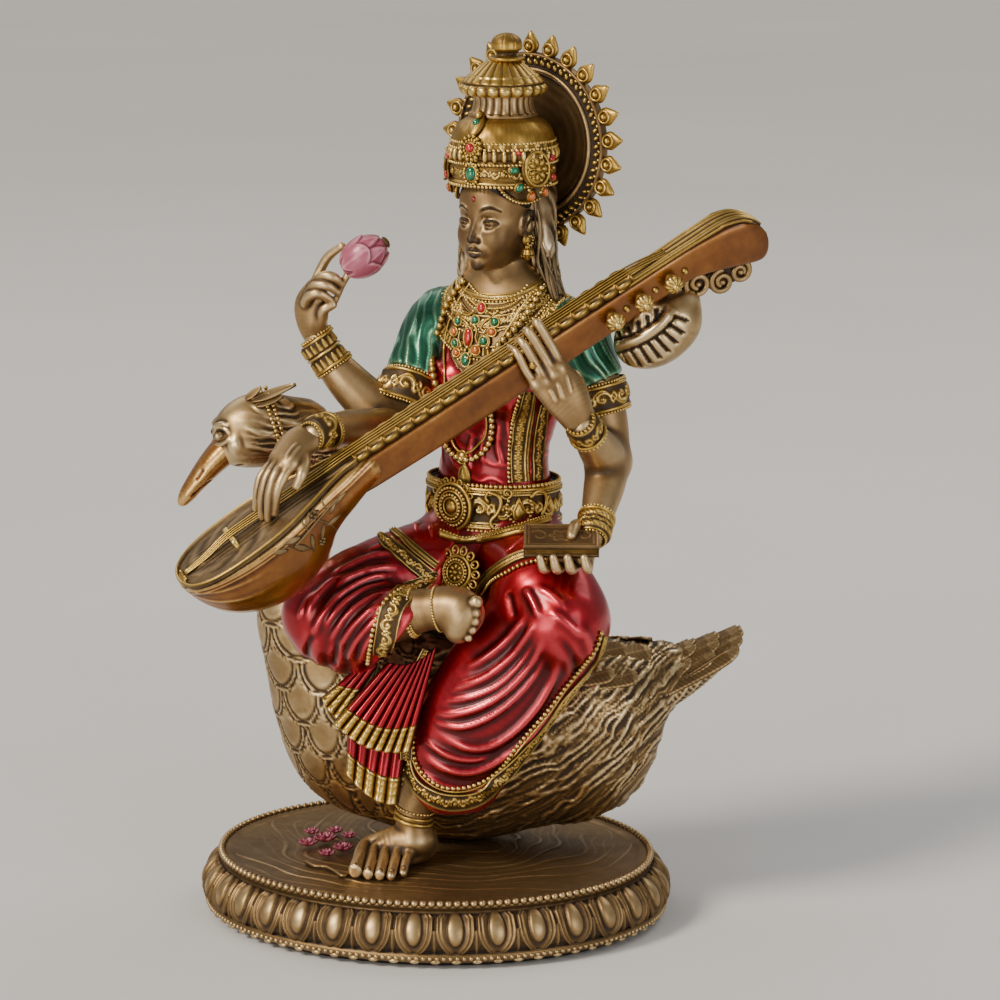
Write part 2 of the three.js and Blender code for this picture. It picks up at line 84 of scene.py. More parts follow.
def spline(pts, n, closed=False):
    """Catmull-Rom through pts (rows of any width), n samples evenly spaced along it."""
    P = np.asarray(pts, float)
    if len(P) == 2:
        t = np.linspace(0, 1, n)[:, None]
        return P[0] * (1 - t) + P[1] * t
    Q = np.vstack([P[-1], P, P[0], P[1]]) if closed else np.vstack([2 * P[0] - P[1], P, 2 * P[-1] - P[-2]])
    m = len(Q) - 3
    s = 16
    t = np.linspace(0, 1, s, endpoint=False)[:, None]
    out = []
    for i in range(m):
        a, b, c, d = Q[i], Q[i + 1], Q[i + 2], Q[i + 3]
        out.append(0.5 * ((2 * b) + (c - a) * t + (2 * a - 5 * b + 4 * c - d) * t ** 2 + (3 * b - a - 3 * c + d) * t ** 3))
    out.append(Q[-2][None] if not closed else Q[1][None])
    D = np.vstack(out)
    w = min(3, D.shape[1])
    L = np.concatenate([[0], np.cumsum(np.linalg.norm(np.diff(D[:, :w], axis=0), axis=1))])
    x = np.linspace(0, L[-1], n + 1)[:-1] if closed else np.linspace(0, L[-1], n)
    return np.stack([np.interp(x, L, D[:, j]) for j in range(D.shape[1])], 1)


def length(P, closed=False):
    P = np.asarray(P)[:, :3]
    L = np.linalg.norm(np.diff(P, axis=0), axis=1).sum()
    return L + (np.linalg.norm(P[0] - P[-1]) if closed else 0)


def noise(p, s, seed=0):
    """Smooth pseudo-noise of points, about -1..1, with no random state."""
    p = np.asarray(p) / s
    x, y, z = p[..., 0] + seed * 1.7, p[..., 1] + seed * 3.1, p[..., 2] + seed * 5.3
    return (np.sin(1.0 * x + 1.3 * np.sin(1.7 * y + 0.5)) * np.cos(1.1 * y - 0.9 * np.sin(1.3 * z))
            + 0.6 * np.sin(2.3 * z + 1.1 * np.sin(1.9 * x)) * np.cos(1.9 * y + 0.4)
            + 0.35 * np.sin(3.7 * x + 2.9 * z) * np.sin(3.1 * y)) / 1.5


def rotm(ax, ang):
    ax = unit(ax)
    c, s = math.cos(ang), math.sin(ang)
    x, y, z = ax
    return np.array([[c + x * x * (1 - c), x * y * (1 - c) - z * s, x * z * (1 - c) + y * s],
                     [y * x * (1 - c) + z * s, c + y * y * (1 - c), y * z * (1 - c) - x * s],
                     [z * x * (1 - c) - y * s, z * y * (1 - c) + x * s, c + z * z * (1 - c)]])


def basis(x, z):
    """Columns x', y', z': z kept exactly, x made square to it."""
    z = unit(z)
    x = unit(np.asarray(x, float) - (np.asarray(x) @ z) * z)
    return np.stack([x, np.cross(z, x), z], 1)


# ---------------------------------------------------------------- solids by distance field
class Vox:
    def __init__(s, lo, hi, h):
        s.h = h * HS
        s.lo = np.asarray(lo, float)
        s.n = np.ceil((np.asarray(hi, float) - s.lo) / s.h).astype(int) + 1
        s.far = 3.0
        s.a = np.full(s.n, s.far, np.float32)

    def sub(s, lo, hi):
        i0 = np.clip(np.floor((lo - s.lo) / s.h).astype(int), 0, s.n)
        i1 = np.clip(np.ceil((hi - s.lo) / s.h).astype(int) + 1, 0, s.n)
        return i0, i1

    def xyz(s, i0, i1):
        return [(s.lo[k] + s.h * np.arange(i0[k], i1[k], dtype=np.float32)).reshape([-1 if j == k else 1 for j in range(3)]).astype(np.float32)
                for k in range(3)]

    def mix(s, i0, i1, d, k, op):
        if (i1 <= i0).any():
            return
        v = s.a[i0[0]:i1[0], i0[1]:i1[1], i0[2]:i1[2]]
        if op == "sub":
            d = -d
        if op == "add":
            if k > 0:
                t = np.clip(0.5 + 0.5 * (v - d) / k, 0, 1)
                v[...] = v * (1 - t) + d * t - k * t * (1 - t)
            else:
                np.minimum(v, d, out=v)
        else:
            if k > 0:
                t = np.clip(0.5 - 0.5 * (v - d) / k, 0, 1)
                v[...] = v * (1 - t) + d * t + k * t * (1 - t)
            else:
                np.maximum(v, d, out=v)

    def ell(s, c, r, R=None, k=0.0, op="add"):
        """Ellipsoid; R has its axes as columns."""
        c, r = np.asarray(c, float), np.asarray(r, float)
        R = np.eye(3) if R is None else np.asarray(R)
        ext = np.sqrt(((R * r) ** 2).sum(1)) + k + 4 * s.h + 0.6
        i0, i1 = s.sub(c - ext, c + ext)
        if (i1 <= i0).any():
            return
        X, Y, Z = s.xyz(i0, i1)
        X, Y, Z = X - c[0], Y - c[1], Z - c[2]
        q = [X * R[0, j] + Y * R[1, j] + Z * R[2, j] for j in range(3)]
        k0 = np.sqrt(sum((q[j] / r[j]) ** 2 for j in range(3)))
        k1 = np.sqrt(sum((q[j] / r[j] ** 2) ** 2 for j in range(3))) + 1e-6
        s.mix(i0, i1, (k0 * (k0 - 1) / k1).astype(np.float32), k, op)

    def tube(s, pts, rad, k=0.0, n=20, flat=None, q=1.0, op="add"):
        """Rounded tube through pts; flat is a direction squashed to q of the radius."""
        rad = np.asarray(rad, float)
        pts = np.asarray(pts, float)
        rad = np.atleast_1d(np.asarray(rad, float))
        rr = np.interp(np.linspace(0, 1, len(pts)), np.linspace(0, 1, len(rad)), rad)
        P = spline(np.column_stack([pts, rr]), n)
        m = k + 4 * s.h + 0.5
        lo = (P[:, :3] - P[:, 3:]).min(0) - m
        hi = (P[:, :3] + P[:, 3:]).max(0) + m
        I0, I1 = s.sub(lo, hi)
        if (I1 <= I0).any():
            return
        D = np.full(I1 - I0, 9.0, np.float32)
        if flat is not None:
            flat = unit(flat)
        for a, b in zip(P[:-1], P[1:]):
            r = max(a[3], b[3]) + m
            i0, i1 = s.sub(np.minimum(a[:3], b[:3]) - r, np.maximum(a[:3], b[:3]) + r)
            i0, i1 = np.maximum(i0, I0), np.minimum(i1, I1)
            if (i1 <= i0).any():
                continue
            X, Y, Z = s.xyz(i0, i1)
            X, Y, Z = X - np.float32(a[0]), Y - np.float32(a[1]), Z - np.float32(a[2])
            e = b[:3] - a[:3]
            L2 = max(e @ e, 1e-9)
            t = np.clip((X * e[0] + Y * e[1] + Z * e[2]) / L2, 0, 1)
            ox, oy, oz = X - t * e[0], Y - t * e[1], Z - t * e[2]
            d2 = ox * ox + oy * oy + oz * oz
            if flat is not None:
                f = ox * flat[0] + oy * flat[1] + oz * flat[2]
                d2 = d2 + (1 / q ** 2 - 1) * f * f
            R = a[3] + t * (b[3] - a[3])
            d = np.sqrt(d2) - R
            if flat is not None:
                d = d * (0.5 + 0.5 * min(q, 1))
            w = D[i0[0] - I0[0]:i1[0] - I0[0], i0[1] - I0[1]:i1[1] - I0[1], i0[2] - I0[2]:i1[2] - I0[2]]
            np.minimum(w, d, out=w)
        s.mix(I0, I1, D, k, op)

    def slab(s, n, c, k=0.0, op="int"):
        """Half space n.(p-c) < 0."""
        i0, i1 = np.zeros(3, int), s.n
        X, Y, Z = s.xyz(i0, i1)
        n = unit(n)
        s.mix(i0, i1, ((X - c[0]) * n[0] + (Y - c[1]) * n[1] + (Z - c[2]) * n[2]).astype(np.float32), k, op)

    def box(s, c, r, R=None, k=0.0, op="add", rnd=0.4):
        c, r = np.asarray(c, float), np.asarray(r, float)
        R = np.eye(3) if R is None else np.asarray(R)
        ext = np.abs(R * r).sum(1) + k + 4 * s.h + 0.6
        i0, i1 = s.sub(c - ext, c + ext)
        if (i1 <= i0).any():
            return
        X, Y, Z = s.xyz(i0, i1)
        X, Y, Z = X - c[0], Y - c[1], Z - c[2]
        q = [np.abs(X * R[0, j] + Y * R[1, j] + Z * R[2, j]) - (r[j] - rnd) for j in range(3)]
        out = np.sqrt(sum(np.maximum(a, 0) ** 2 for a in q))
        ins = np.minimum(np.maximum(np.maximum(q[0], q[1]), q[2]), 0)
        s.mix(i0, i1, (out + ins - rnd).astype(np.float32), k, op)

    def mesh(s, smooth=1):
        a = np.clip(s.a, -s.far, s.far)
        for ax in range(3):
            sl = [slice(None)] * 3
            for e in (0, -1):
                sl[ax] = e
                a[tuple(sl)] = np.maximum(a[tuple(sl)], 0.3)
        g = vdb.FloatGrid(s.far)
        g.copyFromArray(a.astype(np.float32))
        p, q = g.convertToQuads(0.0)
        m = Msh(np.asarray(p, float) * s.h + s.lo, np.asarray(q)[:, ::-1])
        m = m.main()
        if m.volume() < 0:
            m.F = m.F[:, ::-1].copy()
        for _ in range(smooth):
            m.relax(0.5)
        return m


# ---------------------------------------------------------------- meshes in numpy
class Msh:
    def __init__(s, V, F):
        s.V, s.F = np.asarray(V, float), np.asarray(F, np.int64)
        s._e = None
        s.extra = {}

    def edges(s):
        if s._e is None:
            F = s.F
            k = F.shape[1]
            e = np.vstack([F[:, [i, (i + 1) % k]] for i in range(k)])
            e.sort(1)
            e = e[e[:, 0] != e[:, 1]]
            key = np.unique(e[:, 0] * len(s.V) + e[:, 1])
            s._e = np.stack([key // len(s.V), key % len(s.V)], 1)
            n = len(s.V)
            s._deg = np.maximum(np.bincount(s._e.ravel(), minlength=n), 1).astype(float)
        return s._e

    def avg(s, A):
        e = s.edges()
        A = A if A.ndim == 2 else A[:, None]
        n = len(s.V)
        out = np.empty_like(A, dtype=float)
        for j in range(A.shape[1]):
            out[:, j] = np.bincount(e[:, 0], A[e[:, 1], j], n) + np.bincount(e[:, 1], A[e[:, 0], j], n)
        return out / s._deg[:, None]

    def relax(s, w, it=1):
        for _ in range(it):
            s.V = s.V * (1 - w) + s.avg(s.V) * w
        return s

    def main(s):
        """Drops everything but the largest connected shell."""
        n = len(s.V)
        lab = np.arange(n)
        e = s.edges()
        while True:
            m = np.minimum(lab[e[:, 0]], lab[e[:, 1]])
            new = lab.copy()
            np.minimum.at(new, e[:, 0], m)
            np.minimum.at(new, e[:, 1], m)
            new = new[new]
            if (new == lab).all():
                break
            lab = new
        cnt = np.bincount(lab[s.F[:, 0]], minlength=n)
        best = cnt.argmax()
        f = s.F[lab[s.F[:, 0]] == best]
        used, inv = np.unique(f, return_inverse=True)
        return Msh(s.V[used], inv.reshape(f.shape))

    def volume(s):
        a, b, c = s.V[s.F[:, 0]], s.V[s.F[:, 1]], s.V[s.F[:, 2]]
        v = np.einsum("ij,ij->i", a, np.cross(b, c)).sum()
        if s.F.shape[1] == 4:
            d = s.V[s.F[:, 3]]
            v += np.einsum("ij,ij->i", a, np.cross(c, d)).sum()
        return v / 6

    def normals(s):
        F = s.F
        if F.shape[1] == 4:
            fn = np.cross(s.V[F[:, 2]] - s.V[F[:, 0]], s.V[F[:, 3]] - s.V[F[:, 1]])
        else:
            fn = np.cross(s.V[F[:, 1]] - s.V[F[:, 0]], s.V[F[:, 2]] - s.V[F[:, 0]])
        n = len(s.V)
        N = np.zeros((n, 3))
        for c in range(F.shape[1]):
            for j in range(3):
                N[:, j] += np.bincount(F[:, c], fn[:, j], n)
        return unit(N)

    def push(s, h):
        s.V = s.V + s.normals() * np.asarray(h)[:, None]
        return s

    def bvh(s):
        return BVHTree.FromPolygons(s.V.tolist(), s.F.tolist())

    def dist(s, P, w, mask=None):
        """Distance from every vertex to polyline P, 1e9 beyond w, and how far along it."""
        lo, hi = P.min(0) - w, P.max(0) + w
        sel = ((s.V > lo) & (s.V < hi)).all(1)
        if mask is not None:
            sel &= mask
        idx = np.nonzero(sel)[0]
        best = np.full(len(idx), 1e9)
        tt = np.zeros(len(idx))
        X = s.V[idx]
        L = np.concatenate([[0], np.cumsum(np.linalg.norm(np.diff(P, axis=0), axis=1))])
        for i in range(len(P) - 1):
            e = P[i + 1] - P[i]
            l2 = max(e @ e, 1e-9)
            near = (np.abs(X - (P[i] + P[i + 1]) / 2).max(1) < w + math.sqrt(l2))
            if not near.any():
                continue
            Y = X[near] - P[i]
            t = np.clip(Y @ e / l2, 0, 1)
            d = np.linalg.norm(Y - t[:, None] * e, axis=1)
            b = best[near]
            up = d < b
            b[up] = d[up]
            best[near] = b
            q = tt[near]
            q[up] = (L[i] + t[up] * math.sqrt(l2)) / max(L[-1], 1e-9)
            tt[near] = q
        return idx, best, tt

    def stroke(s, P, w, h, H, taper=0.25, mask=None):
        """Adds a soft ridge (or groove, h < 0) of half-width w along P to height field H."""
        idx, d, t = s.dist(P, 2.6 * w, mask)
        e = np.clip(np.minimum(t, 1 - t) / max(taper, 1e-3), 0, 1)
        e = e * e * (3 - 2 * e)
        H[idx] += h * np.exp(-(d / w) ** 2) * e
        return H

    def cavity(s, scale=1.0):
        """0 in recesses, 0.5 flat, 1 on ridges, from the finished shape; it drives painted shade in the recesses and
        painted highlight on the ridges, besides the patina in the hollows.
        """
        N = s.normals()
        W = s.V.copy()
        tot = np.zeros(len(s.V))
        done = 0
        # the widest scale (18 smoothing passes) stands in for ambient occlusion: a broad painted shade over hollows
        for its, g in ((2, 9.0), (6, 6.0), (18, 3.0)):
            for _ in range(its - done):
                W = W * 0.4 + s.avg(W) * 0.6
            done = its
            tot += g * np.einsum("ij,ij->i", s.V - W, N)
        tot = tot * scale
        tot = 0.5 * tot + 0.5 * s.avg(tot)[:, 0]
        return 0.5 + 0.5 * np.tanh(tot)


def join_msh(parts):
    """Several meshes as one; all are quads or all triangles, and carry the same extras."""
    V, F, o = [], [], 0
    ex = {}
    for m in parts:
        V.append(m.V)
        f = m.F
        if f.shape[1] == 3:
            f = np.column_stack([f, f[:, 2]])
        F.append(f + o)
        o += len(m.V)
        for k in parts[0].extra:
            ex.setdefault(k, []).append(m.extra[k])
    out = Msh(np.vstack(V), np.vstack(F))
    out.extra = {k: np.concatenate(v) for k, v in ex.items()}
    return out


def add(name, m, mat, replaces=(), cav=None, cavscale=1.0, smooth=True):
    """Makes the Blender object: metres, smooth shading, cavity attribute, material, body."""
    F = m.F
    me = bpy.data.meshes.new(name)
    V = (m.V / 1000.0).astype(np.float32)
    if F.shape[1] == 4:
        tri = F[:, 2] == F[:, 3]
        faces = [tuple(f) for f in F[~tri].tolist()] + [tuple(f[:3]) for f in F[tri].tolist()]
    else:
        faces = [tuple(f) for f in F.tolist()]
    nf = len(faces)
    lens = np.array([len(f) for f in faces], np.int32)
    flat = np.fromiter((i for f in faces for i in f), np.int32, lens.sum())
    me.vertices.add(len(V))
    me.vertices.foreach_set("co", V.ravel())
    me.loops.add(len(flat))
    me.loops.foreach_set("vertex_index", flat)
    me.polygons.add(nf)
    me.polygons.foreach_set("loop_start", np.concatenate([[0], np.cumsum(lens)[:-1]]).astype(np.int32))
    me.polygons.foreach_set("use_smooth", np.full(nf, smooth, bool))
    me.update(calc_edges=True)
    me.validate()
    if cav is None:
        cav = m.cavity(cavscale)
    if len(me.vertices) == len(cav):
        at_ = me.attributes.new("cav", "FLOAT", "POINT")
        at_.data.foreach_set("value", np.asarray(cav, np.float32))
        for k, a in m.extra.items():
            b = me.attributes.new(k, "FLOAT", "POINT")
            b.data.foreach_set("value", np.asarray(a, np.float32))
    ob = bpy.data.objects.new(name, me)
    bpy.context.scene.collection.objects.link(ob)
    me.materials.append(mat)
    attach(ob, "root")
    if replaces:
        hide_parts(*replaces)
    return ob


# ---------------------------------------------------------------- on-surface tools
def hit(bvh, x, y):
    d = ray(x, y)
    p, n, i, t = bvh.ray_cast(Vector(CAM), Vector(d))
    if p is None:
        return None
    return np.array(p), np.array(n)


def trace(bvh, pts, n=60, closed=False, lift=0.0):
    """Front-view line laid onto a surface: points and normals where the view rays meet it."""
    Q = spline(np.asarray(pts, float), n, closed)
    P, N = [], []
    for x, y in Q:
        r = hit(bvh, x, y)
        if r is None:
            continue
        P.append(r[0] + r[1] * lift)
        N.append(r[1])
    return np.array(P).reshape(-1, 3), np.array(N).reshape(-1, 3)


def snap(bvh, P, lift=0.0):
    """Nearest surface points of P, lifted along the surface normal."""
    A, N = np.empty_like(P), np.empty_like(P)
    for i, p in enumerate(P):
        q, n, _, _ = bvh.find_nearest(Vector(p))
        A[i], N[i] = q, n
    return A + N * lift, N


def ico(sub=2):
    t = (1 + 5 ** 0.5) / 2
    V = [(-1, t, 0), (1, t, 0), (-1, -t, 0), (1, -t, 0), (0, -1, t), (0, 1, t), (0, -1, -t), (0, 1, -t), (t, 0, -1), (t, 0, 1), (-t, 0, -1), (-t, 0, 1)]
    F = [(0, 11, 5), (0, 5, 1), (0, 1, 7), (0, 7, 10), (0, 10, 11), (1, 5, 9), (5, 11, 4), (11, 10, 2), (10, 7, 6), (7, 1, 8),
         (3, 9, 4), (3, 4, 2), (3, 2, 6), (3, 6, 8), (3, 8, 9), (4, 9, 5), (2, 4, 11), (6, 2, 10), (8, 6, 7), (9, 8, 1)]
    V = [unit(np.array(v, float)) for v in V]
    for _ in range(sub):
        mid, G = {}, []
        def m(a, b):
            k = (min(a, b), max(a, b))
            if k not in mid:
                mid[k] = len(V)
                V.append(unit(V[a] + V[b]))
            return mid[k]
        for a, b, c in F:
            ab, bc, ca = m(a, b), m(b, c), m(c, a)
            G += [(a, ab, ca), (b, bc, ab), (c, ca, bc), (ab, bc, ca)]
        F = G
    return np.array(V), np.array(F)


ICO = {k: ico(k) for k in (1, 2, 3)}


def beads(P, N, r, sub=2, sink=0.35, sq=(1, 1, 1), T=None):
    """Small beads centred at P, oriented by normals N; returns a mesh with a cavity extra."""
    V0, F0 = ICO[sub]
    P = np.asarray(P)
    n = len(P)
    r = np.broadcast_to(np.asarray(r, float), (n,))
    N = unit(np.asarray(N))
    T = np.broadcast_to(np.array([0.3, 0.5, 0.8]), N.shape) if T is None else np.asarray(T)
    X = unit(T - (T * N).sum(1, keepdims=True) * N)
    Y = np.cross(N, X)
    B = np.stack([X * sq[0], Y * sq[1], N * sq[2]], 2)
    V = np.einsum("nij,vj->nvi", B, V0) * r[:, None, None] + (P + N * (r * (1 - 2 * sink) * sq[2])[:, None])[:, None]
    F = F0[None] + (np.arange(n) * len(V0))[:, None, None]
    m = Msh(V.reshape(-1, 3), F.reshape(-1, 3))
    # painted highlight on each bead's crown, painted shade round its base where it meets the surface
    c = 0.28 + 0.52 * np.clip(V0[:, 2] * 0.8 + 0.35, 0, 1)
    m.extra["_c"] = np.tile(c, n)
    return m


def bead_line(P, N, r, pitch, closed=False, sub=2, sink=0.35, T=True, sq=(1, 1, 1)):
    P = np.asarray(P)
    L = length(P, closed)
    n = max(2, int(round(L / pitch)) + (0 if closed else 1))
    Q = spline(np.column_stack([P, N]), n, closed)
    d = np.gradient(Q[:, :3], axis=0)
    return beads(Q[:, :3], Q[:, 3:6], r, sub, sink, sq, d)


def cord_mesh(P, N, r, seg=8, n=None, flat=1.0, closed=False):
    """A closed round (or flattened) rod along P."""
    P = np.asarray(P, float)
    n = n or max(4, int(length(P, closed) / 0.5))
    Q = spline(np.column_stack([P, N]), n, closed)
    rr = np.interp(np.linspace(0, 1, n), np.linspace(0, 1, len(np.atleast_1d(r))), np.atleast_1d(r)) if np.ndim(r) else np.full(n, r)
    C, M = Q[:, :3], unit(Q[:, 3:6])
    T = np.gradient(C, axis=0)
    if closed:
        T = np.roll(C, -1, 0) - np.roll(C, 1, 0)
    T = unit(T)
    M = unit(M - (M * T).sum(1, keepdims=True) * T)
    S = np.cross(T, M)
    a = np.arange(seg) * 2 * math.pi / seg
    V = C[:, None] + rr[:, None, None] * (np.cos(a)[None, :, None] * S[:, None] + flat * np.sin(a)[None, :, None] * M[:, None])
    idx = np.arange(n * seg).reshape(n, seg)
    A = idx[:-1] if not closed else idx
    B = idx[1:] if not closed else np.roll(idx, -1, 0)
    F = np.stack([A, np.roll(A, -1, 1), np.roll(B, -1, 1), B], 2).reshape(-1, 4)
    V = V.reshape(-1, 3)
    if not closed:
        c0, c1 = len(V), len(V) + 1
        V = np.vstack([V, C[0] - T[0] * rr[0] * 0.5, C[-1] + T[-1] * rr[-1] * 0.5])
        f0 = np.stack([np.roll(idx[0], -1), idx[0], np.full(seg, c0), np.full(seg, c0)], 1)
        f1 = np.stack([idx[-1], np.roll(idx[-1], -1), np.full(seg, c1), np.full(seg, c1)], 1)
        F = np.vstack([F, f0, f1])
    m = Msh(V, F)
    if m.volume() < 0:
        m.F[:, :] = m.F[:, [1, 0, 3, 2]] if False else m.F[:, ::-1]
        t = m.F[:, 0] == m.F[:, 1]
        m.F[t] = m.F[t][:, [2, 3, 0, 0]]
    # painted highlight along the side facing the normal, painted shade on the underside
    c = np.clip(0.35 + 0.35 * np.sin(a), 0, 1)
    m.extra["_c"] = np.concatenate([np.tile(c, n), [0.4, 0.4] if not closed else []])
    return m


# relief patterns: u along in mm, v across from -1 to 1, w the half-width in mm; heights 0..1
def _ring(d, r, t):
    return np.exp(-((d - r) / t) ** 2)


def pat(kind, u, v, w):
    y = v * w
    if kind == "scroll":
        Lc = 1.9 * w
        k = np.floor(u / Lc)
        x = u - (k + 0.5) * Lc
        sgn = np.where(k % 2 == 0, 1.0, -1.0)
        yy = y * sgn
        d = np.hypot(x, yy)
        a = np.arctan2(yy, x)
        sp = 0.66 * w * (0.25 + 0.75 * ((a + math.pi) / (2 * math.pi)))
        h = np.maximum(_ring(d, sp, 0.14 * w), _ring(d, 0, 0.18 * w))
        d2 = np.hypot(np.abs(x) - Lc / 2, (yy + 0.1 * w) * 0.8)
        h = np.maximum(h, _ring(d2, 0.26 * w, 0.12 * w))
        h = np.maximum(h, np.exp(-((yy - 0.78 * w * np.cos(math.pi * x / Lc)) / (0.12 * w)) ** 2) * 0.8)
        return h
    if kind == "petal":
        Lc = 1.15 * w
        x = (u / Lc - np.floor(u / Lc) - 0.5) * 2
        t = (v + 1) / 2
        hw = np.sqrt(np.clip(1 - (t * 1.02) ** 2, 0, 1)) * 0.92
        inside = np.clip((hw - np.abs(x)) * 5, 0, 1)
        return inside * (0.55 + 0.45 * np.exp(-(x / 0.28) ** 2)) * (1 - 0.3 * t)
    if kind == "bead":
        Lc = 1.7 * w
        x = (u / Lc - np.floor(u / Lc) - 0.5) * Lc
        return np.sqrt(np.clip(1 - (x ** 2 + y ** 2) / (0.82 * w) ** 2, 0, 1))
    if kind == "rope":
        Lc = 1.25 * w
        ph = (u + 0.9 * y) / Lc
        return np.sqrt(np.clip(1 - v ** 2, 0, 1)) * (0.45 + 0.55 * np.abs(np.sin(math.pi * ph)))
    if kind == "diamond":
        Lc = 1.3 * w
        x = (u / Lc - np.floor(u / Lc) - 0.5) * 2
        d = np.abs(x) + np.abs(v)
        return np.maximum(np.clip(1.2 - 2.2 * np.abs(d - 0.82), 0, 1) * 0.8, np.exp(-(d / 0.32) ** 2))
    if kind == "flower":
        Lc = 1.9 * w
        x = (u / Lc - np.floor(u / Lc) - 0.5) * Lc
        d, a = np.hypot(x, y) / w, np.arctan2(y, x)
        p = np.exp(-((d - 0.52) / 0.26) ** 2) * (0.45 + 0.55 * np.cos(3 * a) ** 2)
        lf = np.exp(-((np.abs(x) - Lc / 2) / (0.18 * w)) ** 2) * np.clip(1 - np.abs(v), 0, 1)
        return np.maximum(np.maximum(p, np.exp(-(d / 0.2) ** 2)), lf)
    if kind == "leaf":
        Lc = 1.5 * w
        x = u / Lc - np.floor(u / Lc)
        a = np.abs(v) - 0.1
        ph = x - 0.5 * np.abs(v)
        return (0.5 + 0.5 * np.cos(2 * math.pi * ph * 2)) * np.clip(1.1 - np.abs(v), 0, 1) * 0.9 + np.exp(-(v / 0.14) ** 2) * 0.8 * (a < 9)
    if kind == "pleat":
        return 0.5 + 0.5 * np.cos(2 * math.pi * u / (0.9 * w))
    return np.zeros_like(u)


def band(P, N, w, layout, h=0.45, base=0.25, res=0.16, closed=False, bvh=None, sink=0.5, side=None):
    """Raised ornamental ribbon along P with half-width w, closed underneath.

    layout lists (v0, v1, kind): the pattern filling that share (-1..1) of the width."""
    P = np.asarray(P, float)
    res = res * HS
    L = length(P, closed)
    n = max(6, int(L / res))
    Q = spline(np.column_stack([P, N]), n, closed)
    C, M = Q[:, :3], unit(Q[:, 3:6])
    T = unit(np.roll(C, -1, 0) - np.roll(C, 1, 0)) if closed else unit(np.gradient(C, axis=0))
    M = unit(M - (M * T).sum(1, keepdims=True) * T)
    S = np.cross(M, T)
    ww = np.interp(np.linspace(0, 1, n), np.linspace(0, 1, len(np.atleast_1d(w))), np.atleast_1d(w)) if np.ndim(w) else np.full(n, float(w))
    m = max(5, int(2 * ww.max() / res))
    v = np.linspace(-1, 1, m)
    G = C[:, None] + S[:, None] * (v[None, :, None] * ww[:, None, None])
    NN = np.repeat(M[:, None], m, 1)
    if bvh is not None:
        A, B = snap(bvh, G.reshape(-1, 3))
        G = A.reshape(G.shape)
        B = B.reshape(G.shape)
        NN = unit(0.5 * NN + 0.5 * B)
    u = np.linspace(0, L, n)[:, None] + 0 * v[None]
    H = np.zeros((n, m))
    for v0, v1, kind in layout:
        if kind == "scroll" or kind == "flower" or kind == "diamond" or kind == "petal" or kind == "bead":
            hw0 = ww.mean() * (v1 - v0) / 2
            cell = {"scroll": 3.8, "flower": 1.9, "diamond": 1.3, "petal": 1.15, "bead": 1.7}[kind] * hw0
            cnt = max(1, round(L / cell))
            us = u * (cnt * cell / L)
        else:
            us = u
        inn = (v >= v0 - 1e-9) & (v <= v1 + 1e-9)
        if not inn.any():
            continue
        vv = (v[inn] - (v0 + v1) / 2) / ((v1 - v0) / 2)
        hw = ww.mean() * (v1 - v0) / 2
        if kind == "ridge":
            H[:, inn] = np.maximum(H[:, inn], np.sqrt(np.clip(1 - vv ** 2, 0, 1))[None])
        else:
            H[:, inn] = np.maximum(H[:, inn], pat(kind, us[:, inn], np.broadcast_to(vv[None], (n, inn.sum())), hw))
    top = G + NN * (base + h * H)[..., None]
    bot = G - NN * sink
    grid = np.arange(n * m).reshape(n, m)
    V = np.vstack([top.reshape(-1, 3), bot[:, [0, -1]].reshape(-1, 3)])
    b0 = n * m + np.arange(n) * 2
    b1 = b0 + 1
    A = grid if closed else grid[:-1]
    Bn = np.roll(grid, -1, 0) if closed else grid[1:]
    F = [np.stack([A[:, :-1], Bn[:, :-1], Bn[:, 1:], A[:, 1:]], 2).reshape(-1, 4)]
    i = np.arange(n if closed else n - 1)
    j = (i + 1) % n
    F.append(np.stack([grid[i, 0], b0[i], b0[j], grid[j, 0]], 1))
    F.append(np.stack([grid[i, -1], grid[j, -1], b1[j], b1[i]], 1))
    F.append(np.stack([b0[i], b1[i], b1[j], b0[j]], 1))
    if not closed:
        for e, flip in ((0, False), (n - 1, True)):
            r = grid[e]
            f = np.stack([r[:-1], r[1:], np.full(m - 1, b0[e]), np.full(m - 1, b0[e])], 1)
            g2 = np.array([[r[-1], b1[e], b0[e], b0[e]]])
            f = np.vstack([f, g2])
            if flip:
                f = f[:, [1, 0, 2, 3]]
            F.append(f)
    mm = Msh(V, np.vstack(F))
    if mm.volume() < 0:
        t = mm.F[:, 2] == mm.F[:, 3]
        mm.F[~t] = mm.F[~t][:, ::-1]
        mm.F[t] = mm.F[t][:, [1, 0, 2, 2]]
    # raised pattern lighter, ground darker (patina plus painted shade); the underside at 0.1 is painted shade
    c = 0.12 + 0.72 * np.clip(H, 0, 1) ** 0.8
    mm.extra["_c"] = np.concatenate([c.ravel(), np.full(2 * n, 0.1)])
    return mm


